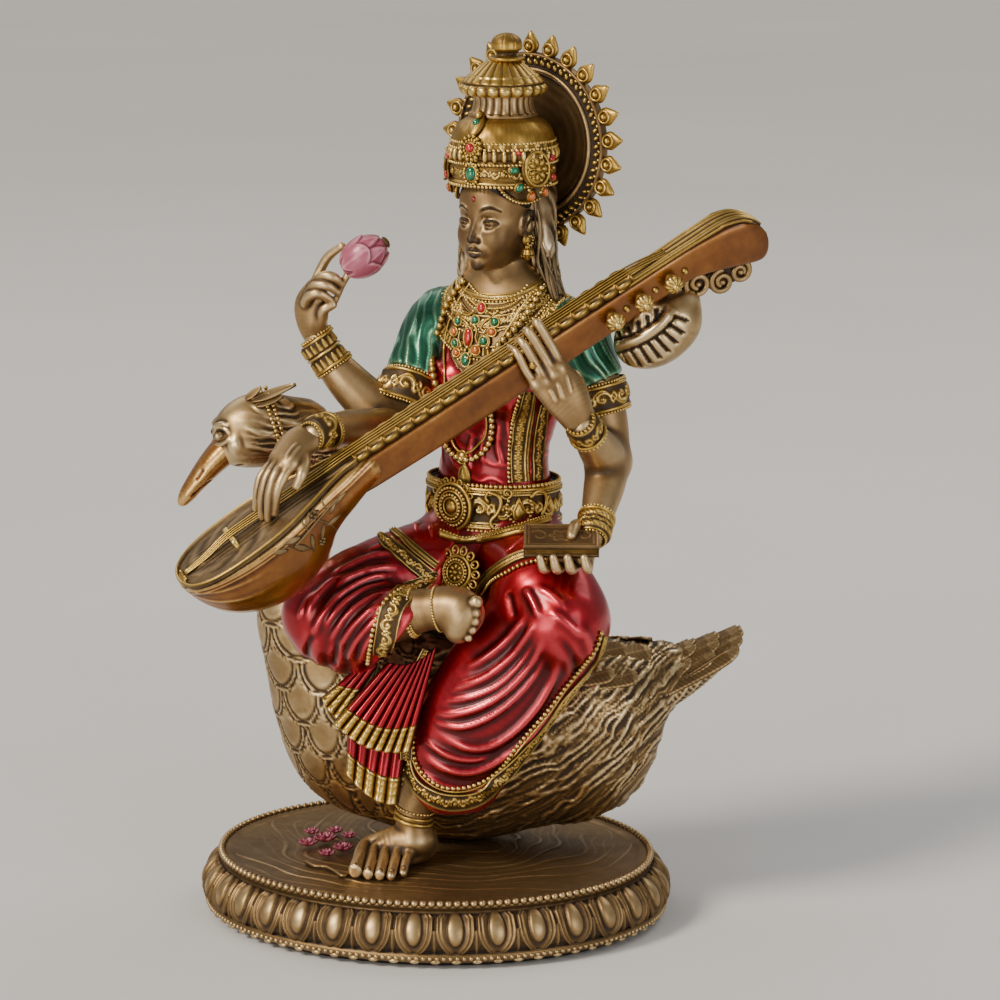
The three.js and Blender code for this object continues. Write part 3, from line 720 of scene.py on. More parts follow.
def dome(c, n, r, h, up=ZZ, sq=1.0, seg=20, rings=6, shape="round"):
    """A cabochon or boss: centre, normal, radius, height; closed underneath."""
    B = basis(np.cross(up, n), n)
    a = np.arange(seg) * 2 * math.pi / seg
    # cc: painted highlight rising towards the apex, painted shade at the rim and on the underside
    V, cc = [], []
    for i in range(rings + 1):
        t = i / rings
        rr, hh = math.cos(t * math.pi / 2), math.sin(t * math.pi / 2)
        if i == rings:
            V.append([[0, 0, h]])
            cc.append([0.8])
            continue
        k = np.ones(seg)
        if shape == "drop":
            k = 1 - 0.55 * np.clip(np.sin(a), 0, 1) ** 3 * 0 + 0.0
            x, y = np.cos(a) * (1 - 0.62 * np.clip(np.sin(a), 0, 1)), np.sin(a) * 1.25
            V.append(np.stack([x * rr * r, y * rr * r * sq, np.full(seg, hh * h)], 1))
        else:
            V.append(np.stack([np.cos(a) * rr * r * k, np.sin(a) * rr * r * sq * k, np.full(seg, hh * h)], 1))
        cc.append(np.full(seg, 0.3 + 0.5 * t))
    V.append([[0, 0, -0.3]])
    cc.append([0.2])
    V = np.vstack(V) @ B.T + np.asarray(c)
    F = []
    for i in range(rings):
        for j in range(seg):
            a0, a1 = i * seg + j, i * seg + (j + 1) % seg
            if i == rings - 1:
                F.append((a0, a1, rings * seg, rings * seg))
            else:
                F.append((a0, a1, a1 + seg, a0 + seg))
    for j in range(seg):
        F.append(((j + 1) % seg, j, rings * seg + 1, rings * seg + 1))
    m = Msh(V, F)
    m.extra["_c"] = np.concatenate(cc)
    return m


def lathe(prof, c, B, seg=64, fn=None, kx=1.0):
    """Turned piece about B's z axis; fn(angle, t) adds a relief height along the profile normal."""
    p = np.asarray(prof, float)
    d = np.gradient(p, axis=0)
    nr = unit(np.stack([d[:, 1], -d[:, 0]], 1))
    a = np.arange(seg) * 2 * math.pi / seg
    n = len(p)
    t = np.linspace(0, 1, n)
    H = np.zeros((n, seg)) if fn is None else fn(a[None, :] + 0 * t[:, None], p[:, 0][:, None] + 0 * a[None], p[:, 1][:, None] + 0 * a[None])
    R = p[:, 0][:, None] + nr[:, 0][:, None] * H
    Zc = p[:, 1][:, None] + nr[:, 1][:, None] * H
    V = np.stack([R * np.cos(a) * kx, R * np.sin(a), Zc + 0 * a[None]], 2).reshape(-1, 3)
    V = np.vstack([V, [[0, 0, p[0, 1]], [0, 0, p[-1, 1]]]])
    idx = np.arange(n * seg).reshape(n, seg)
    F = [np.stack([idx[:-1], np.roll(idx[:-1], -1, 1), np.roll(idx[1:], -1, 1), idx[1:]], 2).reshape(-1, 4)]
    c0, c1 = n * seg, n * seg + 1
    F.append(np.stack([np.roll(idx[0], -1), idx[0], np.full(seg, c0), np.full(seg, c0)], 1))
    F.append(np.stack([idx[-1], np.roll(idx[-1], -1), np.full(seg, c1), np.full(seg, c1)], 1))
    m = Msh(V @ np.asarray(B).T + np.asarray(c), np.vstack(F))
    if m.volume() < 0:
        tr = m.F[:, 2] == m.F[:, 3]
        m.F[~tr] = m.F[~tr][:, ::-1]
        m.F[tr] = m.F[tr][:, [1, 0, 2, 2]]
    return m


# ---------------------------------------------------------------- materials
def _nodes(name):
    m = bpy.data.materials.new(name)
    m.use_nodes = True
    nt = m.node_tree
    b = next(n for n in nt.nodes if n.type == "BSDF_PRINCIPLED")
    return m, nt, b


def _noise(nt, scale, detail=4.0, rough=0.55):
    tc = nt.nodes.new("ShaderNodeTexCoord")
    n = nt.nodes.new("ShaderNodeTexNoise")
    n.inputs["Scale"].default_value = scale
    n.inputs["Detail"].default_value = detail
    n.inputs["Roughness"].default_value = rough
    nt.links.new(tc.outputs["Object"], n.inputs["Vector"])
    return n


def _math(nt, op, a, b=None, clamp=False):
    n = nt.nodes.new("ShaderNodeMath")
    n.operation = op
    n.use_clamp = clamp
    for i, x in enumerate((a, b)):
        if x is None:
            continue
        if isinstance(x, (int, float)):
            n.inputs[i].default_value = x
        else:
            nt.links.new(x, n.inputs[i])
    return n.outputs[0]


def _ramp(nt, fac, stops):
    r = nt.nodes.new("ShaderNodeValToRGB")
    e = r.color_ramp.elements
    while len(e) > 1:
        e.remove(e[-1])
    e[0].position, e[0].color = stops[0][0], (*stops[0][1], 1)
    for pos, col in stops[1:]:
        k = e.new(pos)
        k.color = (*col, 1)
    nt.links.new(fac, r.inputs["Fac"])
    return r.outputs["Color"]


def _fine(nt, b, strength, scale=900.0, dist=0.0002):
    n = _noise(nt, scale, 3.0)
    bp = nt.nodes.new("ShaderNodeBump")
    bp.inputs["Strength"].default_value = strength
    bp.inputs["Distance"].default_value = dist
    nt.links.new(n.outputs["Fac"], bp.inputs["Height"])
    nt.links.new(bp.outputs["Normal"], b.inputs["Normal"])


def patina_shade_highlight_mat(name, stops, rough, metal, wear=0.16, mottling=140.0, coat=0.0, coat_rough=0.12, bump=0.12, bump_scale=900.0, spec=0.5, amount=1.0, metal_lo=None):
    """Antiqued look with painted light: colour, gloss and metal all follow the recesses and ridges of the piece (its
    cav attribute), broken up by two scales of mottling; the low ramp stops give the recesses patina plus painted shade,
    the top stops give the ridges a painted highlight."""
    m, nt, b = _nodes(name)
    a = nt.nodes.new("ShaderNodeAttribute")
    a.attribute_name = "cav"
    n1 = _noise(nt, mottling, 5.0)
    n2 = _noise(nt, mottling * 4.3, 3.0)
    s = _math(nt, "MULTIPLY", _math(nt, "SUBTRACT", n1.outputs["Fac"], 0.5), wear * 2)
    s2 = _math(nt, "MULTIPLY", _math(nt, "SUBTRACT", n2.outputs["Fac"], 0.5), wear)
    f = _math(nt, "ADD", _math(nt, "ADD", a.outputs["Fac"], s), s2, clamp=True)
    col = _ramp(nt, f, stops)
    nt.links.new(col, b.inputs["Base Color"])
    mr = nt.nodes.new("ShaderNodeMapRange")
    mr.inputs["To Min"].default_value = rough[0]
    mr.inputs["To Max"].default_value = rough[1]
    nt.links.new(f, mr.inputs["Value"])
    nt.links.new(_math(nt, "ADD", mr.outputs["Result"], _math(nt, "MULTIPLY", s2, 0.6), clamp=True), b.inputs["Roughness"])
    if metal_lo is None:
        b.inputs["Metallic"].default_value = metal
    else:
        mm = nt.nodes.new("ShaderNodeMapRange")
        mm.inputs["From Min"].default_value = 0.15
        mm.inputs["From Max"].default_value = 0.5
        mm.inputs["To Min"].default_value = metal_lo
        mm.inputs["To Max"].default_value = metal
        nt.links.new(f, mm.inputs["Value"])
        nt.links.new(mm.outputs["Result"], b.inputs["Metallic"])
    b.inputs["Coat Weight"].default_value = coat
    b.inputs["Coat Roughness"].default_value = coat_rough
    b.inputs["Specular IOR Level"].default_value = spec
    _fine(nt, b, bump, bump_scale)
    return m


# each ramp: low stops are patina plus painted shade in recesses, top stops a painted highlight on ridges
MAT = {}
MAT["bronze"] = patina_shade_highlight_mat("antique_bronze",
    [(0.0, (0.010, 0.005, 0.002)), (0.26, (0.052, 0.028, 0.011)), (0.47, (0.20, 0.122, 0.050)), (0.66, (0.37, 0.245, 0.11)), (0.92, (0.70, 0.53, 0.29))],
    (0.62, 0.30), 0.95, metal_lo=0.35)
MAT["skin"] = patina_shade_highlight_mat("bronze_skin",
    [(0.0, (0.016, 0.008, 0.003)), (0.25, (0.080, 0.043, 0.017)), (0.46, (0.245, 0.146, 0.060)), (0.64, (0.365, 0.235, 0.105)), (0.94, (0.66, 0.48, 0.25))],
    (0.52, 0.37), 0.92, wear=0.13, metal_lo=0.4)
MAT["gold"] = patina_shade_highlight_mat("gilt_ornament",
    [(0.0, (0.016, 0.008, 0.002)), (0.25, (0.085, 0.043, 0.008)), (0.45, (0.31, 0.175, 0.034)), (0.65, (0.56, 0.36, 0.085)), (0.92, (0.86, 0.66, 0.27))],
    (0.55, 0.24), 0.96, metal_lo=0.35)
MAT["hair"] = patina_shade_highlight_mat("hair_bronze",
    [(0.0, (0.008, 0.004, 0.002)), (0.27, (0.045, 0.027, 0.012)), (0.50, (0.16, 0.105, 0.050)), (0.70, (0.29, 0.205, 0.11)), (0.96, (0.58, 0.45, 0.28))],
    (0.58, 0.30), 0.9, metal_lo=0.35)
# the pale pink top stop of the crimson is a painted sheen on the ridges
MAT["crimson"] = patina_shade_highlight_mat("crimson_lacquer",
    [(0.0, (0.045, 0.0006, 0.002)), (0.28, (0.115, 0.001, 0.004)), (0.48, (0.215, 0.002, 0.008)), (0.68, (0.36, 0.005, 0.014)), (0.96, (0.60, 0.05, 0.065))],
    (0.40, 0.24), 0.78, wear=0.10, coat=0.36, coat_rough=0.14, bump=0.06)
MAT["green"] = patina_shade_highlight_mat("green_lacquer",
    [(0.0, (0.002, 0.010, 0.006)), (0.28, (0.006, 0.042, 0.024)), (0.5, (0.018, 0.125, 0.070)), (0.72, (0.045, 0.21, 0.12)), (0.97, (0.22, 0.36, 0.21))],
    (0.45, 0.26), 0.75, wear=0.2, coat=0.35, coat_rough=0.18)
MAT["amber"] = patina_shade_highlight_mat("amber_lacquer",
    [(0.0, (0.018, 0.004, 0.0006)), (0.3, (0.075, 0.021, 0.002)), (0.5, (0.19, 0.060, 0.005)), (0.7, (0.31, 0.118, 0.014)), (0.94, (0.60, 0.36, 0.11))],
    (0.42, 0.22), 0.72, wear=0.17, coat=0.45, coat_rough=0.12)
MAT["board"] = patina_shade_highlight_mat("soundboard_finish",
    [(0.0, (0.015, 0.008, 0.003)), (0.3, (0.068, 0.042, 0.018)), (0.5, (0.175, 0.110, 0.048)), (0.7, (0.29, 0.195, 0.090)), (0.94, (0.58, 0.43, 0.22))],
    (0.55, 0.36), 0.8, wear=0.2)
MAT["pink"] = patina_shade_highlight_mat("pink_petal",
    [(0.0, (0.045, 0.006, 0.012)), (0.3, (0.15, 0.022, 0.042)), (0.5, (0.29, 0.052, 0.092)), (0.75, (0.42, 0.105, 0.16)), (0.95, (0.62, 0.27, 0.32))],
    (0.5, 0.32), 0.15, wear=0.2, coat=0.25, coat_rough=0.2)
MAT["gem_red"] = patina_shade_highlight_mat("gem_red", [(0.0, (0.10, 0.0, 0.0)), (0.5, (0.42, 0.008, 0.006)), (1.0, (0.70, 0.05, 0.03))], (0.25, 0.12), 0.3, wear=0.1, coat=0.8, coat_rough=0.05, bump=0.02)
MAT["gem_green"] = patina_shade_highlight_mat("gem_green", [(0.0, (0.0, 0.03, 0.012)), (0.5, (0.002, 0.13, 0.055)), (1.0, (0.02, 0.32, 0.14))], (0.25, 0.12), 0.3, wear=0.1, coat=0.8, coat_rough=0.05, bump=0.02)
MAT["gem_orange"] = patina_shade_highlight_mat("gem_orange", [(0.0, (0.14, 0.02, 0.0)), (0.5, (0.55, 0.11, 0.012)), (1.0, (0.80, 0.28, 0.06))], (0.25, 0.12), 0.3, wear=0.1, coat=0.8, coat_rough=0.05, bump=0.02)
MAT["felt"] = patina_shade_highlight_mat("black_felt", [(0.0, (0.008, 0.008, 0.008)), (1.0, (0.035, 0.034, 0.033))], (0.98, 0.9), 0.0, wear=0.6, mottling=900.0, bump=0.6, bump_scale=2600.0, spec=0.15)


def put(name, parts, mat, replaces=()):
    """Adds several small closed meshes as one piece, shaded by their own cavity extras."""
    m = join_msh(parts) if len(parts) > 1 else parts[0]
    c = m.extra.pop("_c", None)
    for p in parts:
        p.extra.pop("_c", None)
    return add(name, m, MAT[mat], replaces, cav=c)


# ---------------------------------------------------------------- plinth
RIM_X, RIM_Y = 56.3, 50.2


def oval(off, n, z=0.0, ph=0.0):
    """Points and outward normals of the plinth's rim oval, moved out by off."""
    t = np.linspace(0, 2 * math.pi, n * 8, endpoint=False)
    P = np.stack([RIM_X * np.cos(t), RIM_Y * np.sin(t), 0 * t], 1)
    N = unit(np.stack([np.cos(t) / RIM_X, np.sin(t) / RIM_Y, 0 * t], 1))
    P = P + N * off
    L = np.concatenate([[0], np.cumsum(np.linalg.norm(np.roll(P, -1, 0) - P, axis=1))])
    x = (np.arange(n) + ph) / n * L[-1]
    x = x % L[-1]
    Pc = np.vstack([P, P[:1]])
    Nc = np.vstack([N, N[:1]])
    Q = np.stack([np.interp(x, L, Pc[:, j]) for j in range(3)], 1)
    M = unit(np.stack([np.interp(x, L, Nc[:, j]) for j in range(3)], 1))
    Q[:, 2] = z
    return Q, M


def build_base():
    NPET = 34
    prof = [(-9, 1.5), (2.2, 1.5), (3.6, 1.7), (4.5, 2.4), (4.9, 3.4), (4.5, 4.2), (4.2, 4.6), (4.9, 5.4), (5.2, 6.6), (5.1, 8.2), (4.5, 10.0), (3.3, 11.8), (1.9, 13.1), (0.9, 13.9), (0.8, 14.6), (1.1, 15.1), (0.9, 15.8), (-1.4, 15.9), (-3, 15.4)]
    pr = spline(np.array(prof, float), 150)
    nu = NPET * 44
    O, NN = oval(0.0, nu)
    tan = np.gradient(pr, axis=0)
    pn = unit(np.stack([tan[:, 1], -tan[:, 0]], 1))
    if pn[40, 0] < 0:
        pn = -pn
    u = (np.arange(nu) / nu * NPET)
    x = ((u % 1) - 0.5) * 2                      # -1..1 across a petal
    zz = pr[:, 1][:, None]
    t = (13.4 - zz) / (13.4 - 4.6)               # 0 top of petal, 1 tip
    tt = np.clip(t, 0, 1)
    inside_band = (t > -0.03) & (t < 1.04)
    hw = 0.97 * np.sqrt(np.clip(1 - np.clip((tt - 0.30) / 0.73, 0, 1) ** 2.3, 0, 1)) * np.clip(0.86 + tt / 0.5, 0, 1)
    X = np.broadcast_to(x[None], (len(pr), nu))
    ax = np.abs(X)
    d = hw - ax                                   # inside distance, in half widths
    petal = np.clip(d * 9, 0, 1)
    rim1 = np.exp(-((d - 0.10) / 0.07) ** 2)
    rim2 = np.exp(-((d - 0.31) / 0.055) ** 2) * (tt < 0.97)
    boss_r = np.sqrt((X / 0.40) ** 2 + ((tt - 0.36) / 0.43) ** 2)
    boss = np.sqrt(np.clip(1 - boss_r ** 2, 0, 1)) ** 0.8
    groove = np.exp(-((boss_r - 1.12) / 0.12) ** 2)
    H = petal * (0.35 + 0.62 * rim1 + 0.42 * rim2 + 0.85 * boss - 0.28 * groove)
    # pointed leaves showing between the petals
    X2 = ((u + 0.5) % 1 - 0.5) * 2
    X2 = np.broadcast_to(X2[None], X.shape)
    lw = 0.40 * np.clip((1.12 - t) * 1.6, 0, 1) * (t > 0.35)
    leaf = np.clip((lw - np.abs(X2)) * 8, 0, 1) * (1 - petal)
    H = np.maximum(H, leaf * (0.22 + 0.5 * np.exp(-(X2 / 0.07) ** 2)))
    H = np.where(inside_band, H, 0)
    step = np.exp(-((zz - 14.0) / 0.35) ** 2) * -0.25
    H = H + step
    P = O[None] + NN[None] * (pr[:, 0][:, None, None] + (pn[:, 0][:, None] * H)[..., None])
    P[..., 2] = zz + pn[:, 1][:, None] * H
    n = len(pr)
    idx = np.arange(n * nu).reshape(n, nu)
    A, B = idx[:-1], idx[1:]
    F = np.stack([A, np.roll(A, -1, 1), np.roll(B, -1, 1), B], 2).reshape(-1, 4)
    V = P.reshape(-1, 3)
    k = len(V)
    V = np.vstack([V, [[0, 0, 1.5], [0, 0, 15.2]]])
    r0, r1 = idx[0], idx[-1]
    F = np.vstack([F, np.stack([np.roll(r0, -1), r0, np.full(nu, k), np.full(nu, k)], 1),
                   np.stack([r1, np.roll(r1, -1), np.full(nu, k + 1), np.full(nu, k + 1)], 1)])
    m = Msh(V, F)
    if m.volume() < 0:
        tr = m.F[:, 2] == m.F[:, 3]
        m.F[~tr] = m.F[~tr][:, ::-1]
        m.F[tr] = m.F[tr][:, [1, 0, 2, 2]]
    c = 0.5 + 0 * H
    # petal relief lighter and ground darker (patina plus painted shade); the grooves at the top step and the foot get
    # extra painted shade
    cav = 0.20 + 0.50 * np.clip(H / 1.15, 0, 1)
    cav = np.where(inside_band, cav, 0.52)
    cav = cav - 0.25 * np.exp(-((zz - 13.75) / 0.5) ** 2) - 0.22 * np.exp(-((zz - 4.3) / 0.35) ** 2)
    cav = np.concatenate([np.clip(cav, 0, 1).ravel(), [0.4, 0.5]])
    add("plinth_wall", m, MAT["bronze"], ("base_plinth",), cav=cav)
    # water surface
    nr_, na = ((150, 760))
    O2, _ = oval(0.0, na)
    ang = np.arctan2(O2[:, 1], O2[:, 0])
    s = np.linspace(0.02, 1.0, nr_)
    Pt = O2[None, :, :2] * s[:, None, None] * (1 - 0.9 / 56)
    x, y = Pt[..., 0], Pt[..., 1]
    # ripples run round the swan, wandering and breaking
    cx, cy = 2.0, 14.0
    dx, dy = (x - cx) / 1.28, (y - cy)
    q = np.hypot(dx, dy)
    th = np.arctan2(dy, dx)
    w = q + 2.6 * np.sin(2 * th + 0.6) + 1.5 * np.sin(3 * th + q * 0.11) + 0.9 * np.sin(7 * th + q * 0.21) + 0.7 * np.sin(0.27 * x + 0.5 * np.sin(0.3 * y))
    rp = np.sin(2 * math.pi * w / 4.6)
    rid = np.clip(rp, 0, 1) ** 7
    rp2 = np.sin(2 * math.pi * (w * 1.0 + 0.9 * np.sin(5 * th + 1)) / 2.05 + 1.2)
    am = 0.55 + 0.45 * np.sin(1.7 * th + 0.35 * q) * np.cos(0.8 * th - 0.22 * q)
    Hh = 0.34 * rid * np.clip(am * 1.4 - 0.3, 0.0, 1.0) + 0.05 * np.clip(rp2, 0, 1) ** 2 * (1 - 0.5 * am)
    edge = np.clip((1 - s) * 10, 0, 1)[:, None]
    Z = 15.35 + Hh * (0.3 + 0.7 * edge)
    V = np.concatenate([Pt, Z[..., None]], 2).reshape(-1, 3)
    idx = np.arange(nr_ * na).reshape(nr_, na)
    F = np.stack([idx[:-1], idx[1:], np.roll(idx[1:], -1, 1), np.roll(idx[:-1], -1, 1)], 2).reshape(-1, 4)
    low = V[idx[-1]].copy()
    low[:, 2] = 14.2
    k = len(V)
    V = np.vstack([V, low, [[0, 0, 15.5], [0, 0, 14.2]]])
    lo = k + np.arange(na)
    F = np.vstack([F, np.stack([idx[-1], lo, np.roll(lo, -1), np.roll(idx[-1], -1)], 1),
                   np.stack([idx[0], np.roll(idx[0], -1), np.full(na, k + na), np.full(na, k + na)], 1),
                   np.stack([np.roll(lo, -1), lo, np.full(na, k + na + 1), np.full(na, k + na + 1)], 1)])
    m = Msh(V, F)
    if m.volume() < 0:
        tr = m.F[:, 2] == m.F[:, 3]
        m.F[~tr] = m.F[~tr][:, ::-1]
        m.F[tr] = m.F[tr][:, [1, 0, 2, 2]]
    add("plinth_water", m, MAT["bronze"], (), cavscale=0.55)
    # bead rows
    P1, N1 = oval(0.55, 158, 15.7)
    P2, N2 = oval(4.55, 210, 3.0)
    up = unit(N1 * 0.5 + ZZ)
    put("plinth_beads", [beads(P1, up, 0.98, 2, 0.32, T=np.cross(N1, ZZ)), beads(P2, N2, 0.62, 2, 0.42)], "bronze", ())
    # small rounded tongues along the foot
    P3, N3 = oval(4.3, NPET * 2, 2.1)
    put("plinth_foot_beads", [beads(P3, unit(N3 - 0.2 * ZZ), 0.8, 2, 0.5, (1.7, 0.8, 0.8), T=np.cross(N3, ZZ))], "bronze", ())
    # felt
    O4, N4 = oval(0.8, 180)
    pr4 = [(-60, 0.0), (-0.5, 0.0), (0.0, 0.15), (0.05, 0.6), (0.0, 1.1), (-0.4, 1.25), (-60, 1.25)]
    V = []
    for o, z in pr4[1:-1]:
        Q = O4 + N4 * o
        Q[:, 2] = z
        V.append(Q)
    V = np.vstack(V + [[[0, 0, 0]], [[0, 0, 1.25]]])
    idx = np.arange(5 * 180).reshape(5, 180)
    F = np.vstack([np.stack([idx[:-1], np.roll(idx[:-1], -1, 1), np.roll(idx[1:], -1, 1), idx[1:]], 2).reshape(-1, 4),
                   np.stack([np.roll(idx[0], -1), idx[0], np.full(180, 900), np.full(180, 900)], 1),
                   np.stack([idx[-1], np.roll(idx[-1], -1), np.full(180, 901), np.full(180, 901)], 1)])
    add("felt_sheet", Msh(V, F), MAT["felt"], ("felt_pad",), cav=np.full(len(V), 0.5))


build_base()


def petal_mesh(c, d, n, L, W, cup=0.35, tip=0.25, th=0.35, seg=(9, 9)):
    """One lotus petal: a cupped pointed leaf with thickness, from base c along d."""
    d, n = unit(d), unit(n)
    n = unit(n - (n @ d) * d)
    s = np.cross(n, d)
    u = np.linspace(0, 1, seg[0])
    v = np.linspace(-1, 1, seg[1])
    U, Vv = np.meshgrid(u, v, indexing="ij")
    wd = W * np.sin(np.clip(U * 0.93 + 0.07, 0, 1) * math.pi) ** 0.7 * (1 - 0.25 * U)
    wd[-1] = W * 0.03
    bend = cup * L * (U ** 2) * tip * 2 + cup * W * Vv ** 2
    P = c + d * (U * L)[..., None] + s * (Vv * wd)[..., None] + n * bend[..., None]
    ridge = (0.12 * np.exp(-(Vv / 0.18) ** 2) + 0.06 * np.cos(Vv * 14)) * th
    top = P + n * (th * 0.5 * (1 - 0.6 * np.abs(Vv) ** 3) + ridge)[..., None]
    bot = P - n * (th * 0.5 * (1 - 0.6 * np.abs(Vv) ** 3))[..., None]
    a, b = seg
    V = np.vstack([top.reshape(-1, 3), bot.reshape(-1, 3)])
    g = np.arange(a * b).reshape(a, b)
    F = [np.stack([g[:-1, :-1], g[:-1, 1:], g[1:, 1:], g[1:, :-1]], 2).reshape(-1, 4)]
    h = g + a * b
    F.append(np.stack([h[:-1, :-1], h[1:, :-1], h[1:, 1:], h[:-1, 1:]], 2).reshape(-1, 4))
    loop = np.concatenate([g[0, :], g[1:, -1], g[-1, -2::-1], g[-2:0:-1, 0]])
    F.append(np.stack([np.roll(loop, -1), loop, loop + a * b, np.roll(loop, -1) + a * b], 1))
    m = Msh(V, np.vstack(F))
    if m.volume() < 0:
        m.F = m.F[:, ::-1].copy()
    # lighter towards the tip and edges; the underside at 0.7 of the top is a painted shade under each petal
    cv = 0.35 + 0.3 * U + 0.2 * np.abs(Vv)
    m.extra["_c"] = np.concatenate([cv.ravel(), (cv * 0.7).ravel()])
    return m


def build_blossoms():
    parts, leaves = [], []
    spots = [(325, 842, 3.2, 0.2), (343, 851, 2.7, 1.1), (308, 846, 2.6, 2.0), (327, 856, 2.2, 0.6), (349, 838, 2.0, 1.7), (312, 834, 2.0, 2.5), (335, 833, 2.1, 0.9)]
    for x, y, r, ph in spots:
        d = ray(x, y)
        t = (15.9 - CAM[2]) / d[2]
        c = CAM + d * t
        for ring, (k, el, sc) in enumerate(((7, 0.25, 1.0), (6, 0.75, 0.8), (4, 1.2, 0.55))):
            for i in range(k):
                a = ph + ring * 0.5 + i * 2 * math.pi / k
                dd = np.array([math.cos(a) * math.cos(el), math.sin(a) * math.cos(el), math.sin(el)])
                nn = np.array([-math.cos(a) * math.sin(el), -math.sin(a) * math.sin(el), math.cos(el)])
                parts.append(petal_mesh(c + dd * 0.3, dd, nn, r * sc, r * 0.36 * sc, 0.4, 0.3, 0.28, (7, 5)))
    put("lotus_blossom_petals", parts, "pink", ("lotus_blossoms",))
    # leaf edge curling round the flowers
    ctr = None
    P = []
    for x, y in [(306, 862), (314, 866), (325, 867), (334, 871), (342, 876), (351, 874)]:
        d = ray(x, y)
        P.append(CAM + d * ((16.0 - CAM[2]) / d[2]))
    put("lotus_leaf_edge", [cord_mesh(np.array(P), np.tile(ZZ, (len(P), 1)), 0.5, 8)], "bronze", ())


build_blossoms()
# ---------------------------------------------------------------- swan
def rz(deg):
    a = math.radians(deg)
    return np.array([[math.cos(a), -math.sin(a), 0], [math.sin(a), math.cos(a), 0], [0, 0, 1]])


def ry(deg):
    a = math.radians(deg)
    return np.array([[math.cos(a), 0, math.sin(a)], [0, 1, 0], [-math.sin(a), 0, math.cos(a)]])


def scales(x, y, px, py, a, b):
    """Overlapping shield scales hanging in -y; returns height 0..1."""
    h = np.zeros_like(x)
    r0 = np.floor(y / py)
    for k in (-1, 0, 1, 2):
        row = r0 + k
        off = np.where(np.mod(row, 2) == 0, 0.0, 0.5)
        col = np.round(x / px - off)
        dx = x - (col + off) * px
        dy = y - row * py
        wx = a * np.where(dy < 0, np.sqrt(np.clip(1 - (dy / b * 0.86) ** 2, 0.02, 1)) ** 1.0, 1.0)
        r = np.maximum(np.hypot(dx / a, np.minimum(dy, 0) / b), np.abs(dx) / a)
        r = np.where(dy < 0, np.hypot(dx / a, dy / b) * (1 + 0.10 * (1 - np.abs(dx / a)) * (dy < -0.75 * b)), np.abs(dx) / a)
        ins = (r < 1) & (dy < py * 1.15)
        hh = 0.46 * np.sqrt(np.clip(1 - (r * 0.98) ** 2, 0, 1)) + 0.34 * np.exp(-((r - 0.95) / 0.045) ** 2) + 0.24 * np.exp(-((r - 0.80) / 0.04) ** 2) - 0.20 * np.exp(-((r - 0.875) / 0.035) ** 2) - 0.16 * np.exp(-((r - 0.72) / 0.05) ** 2) + 0.30
        h = np.where(ins, hh, h)
    return h


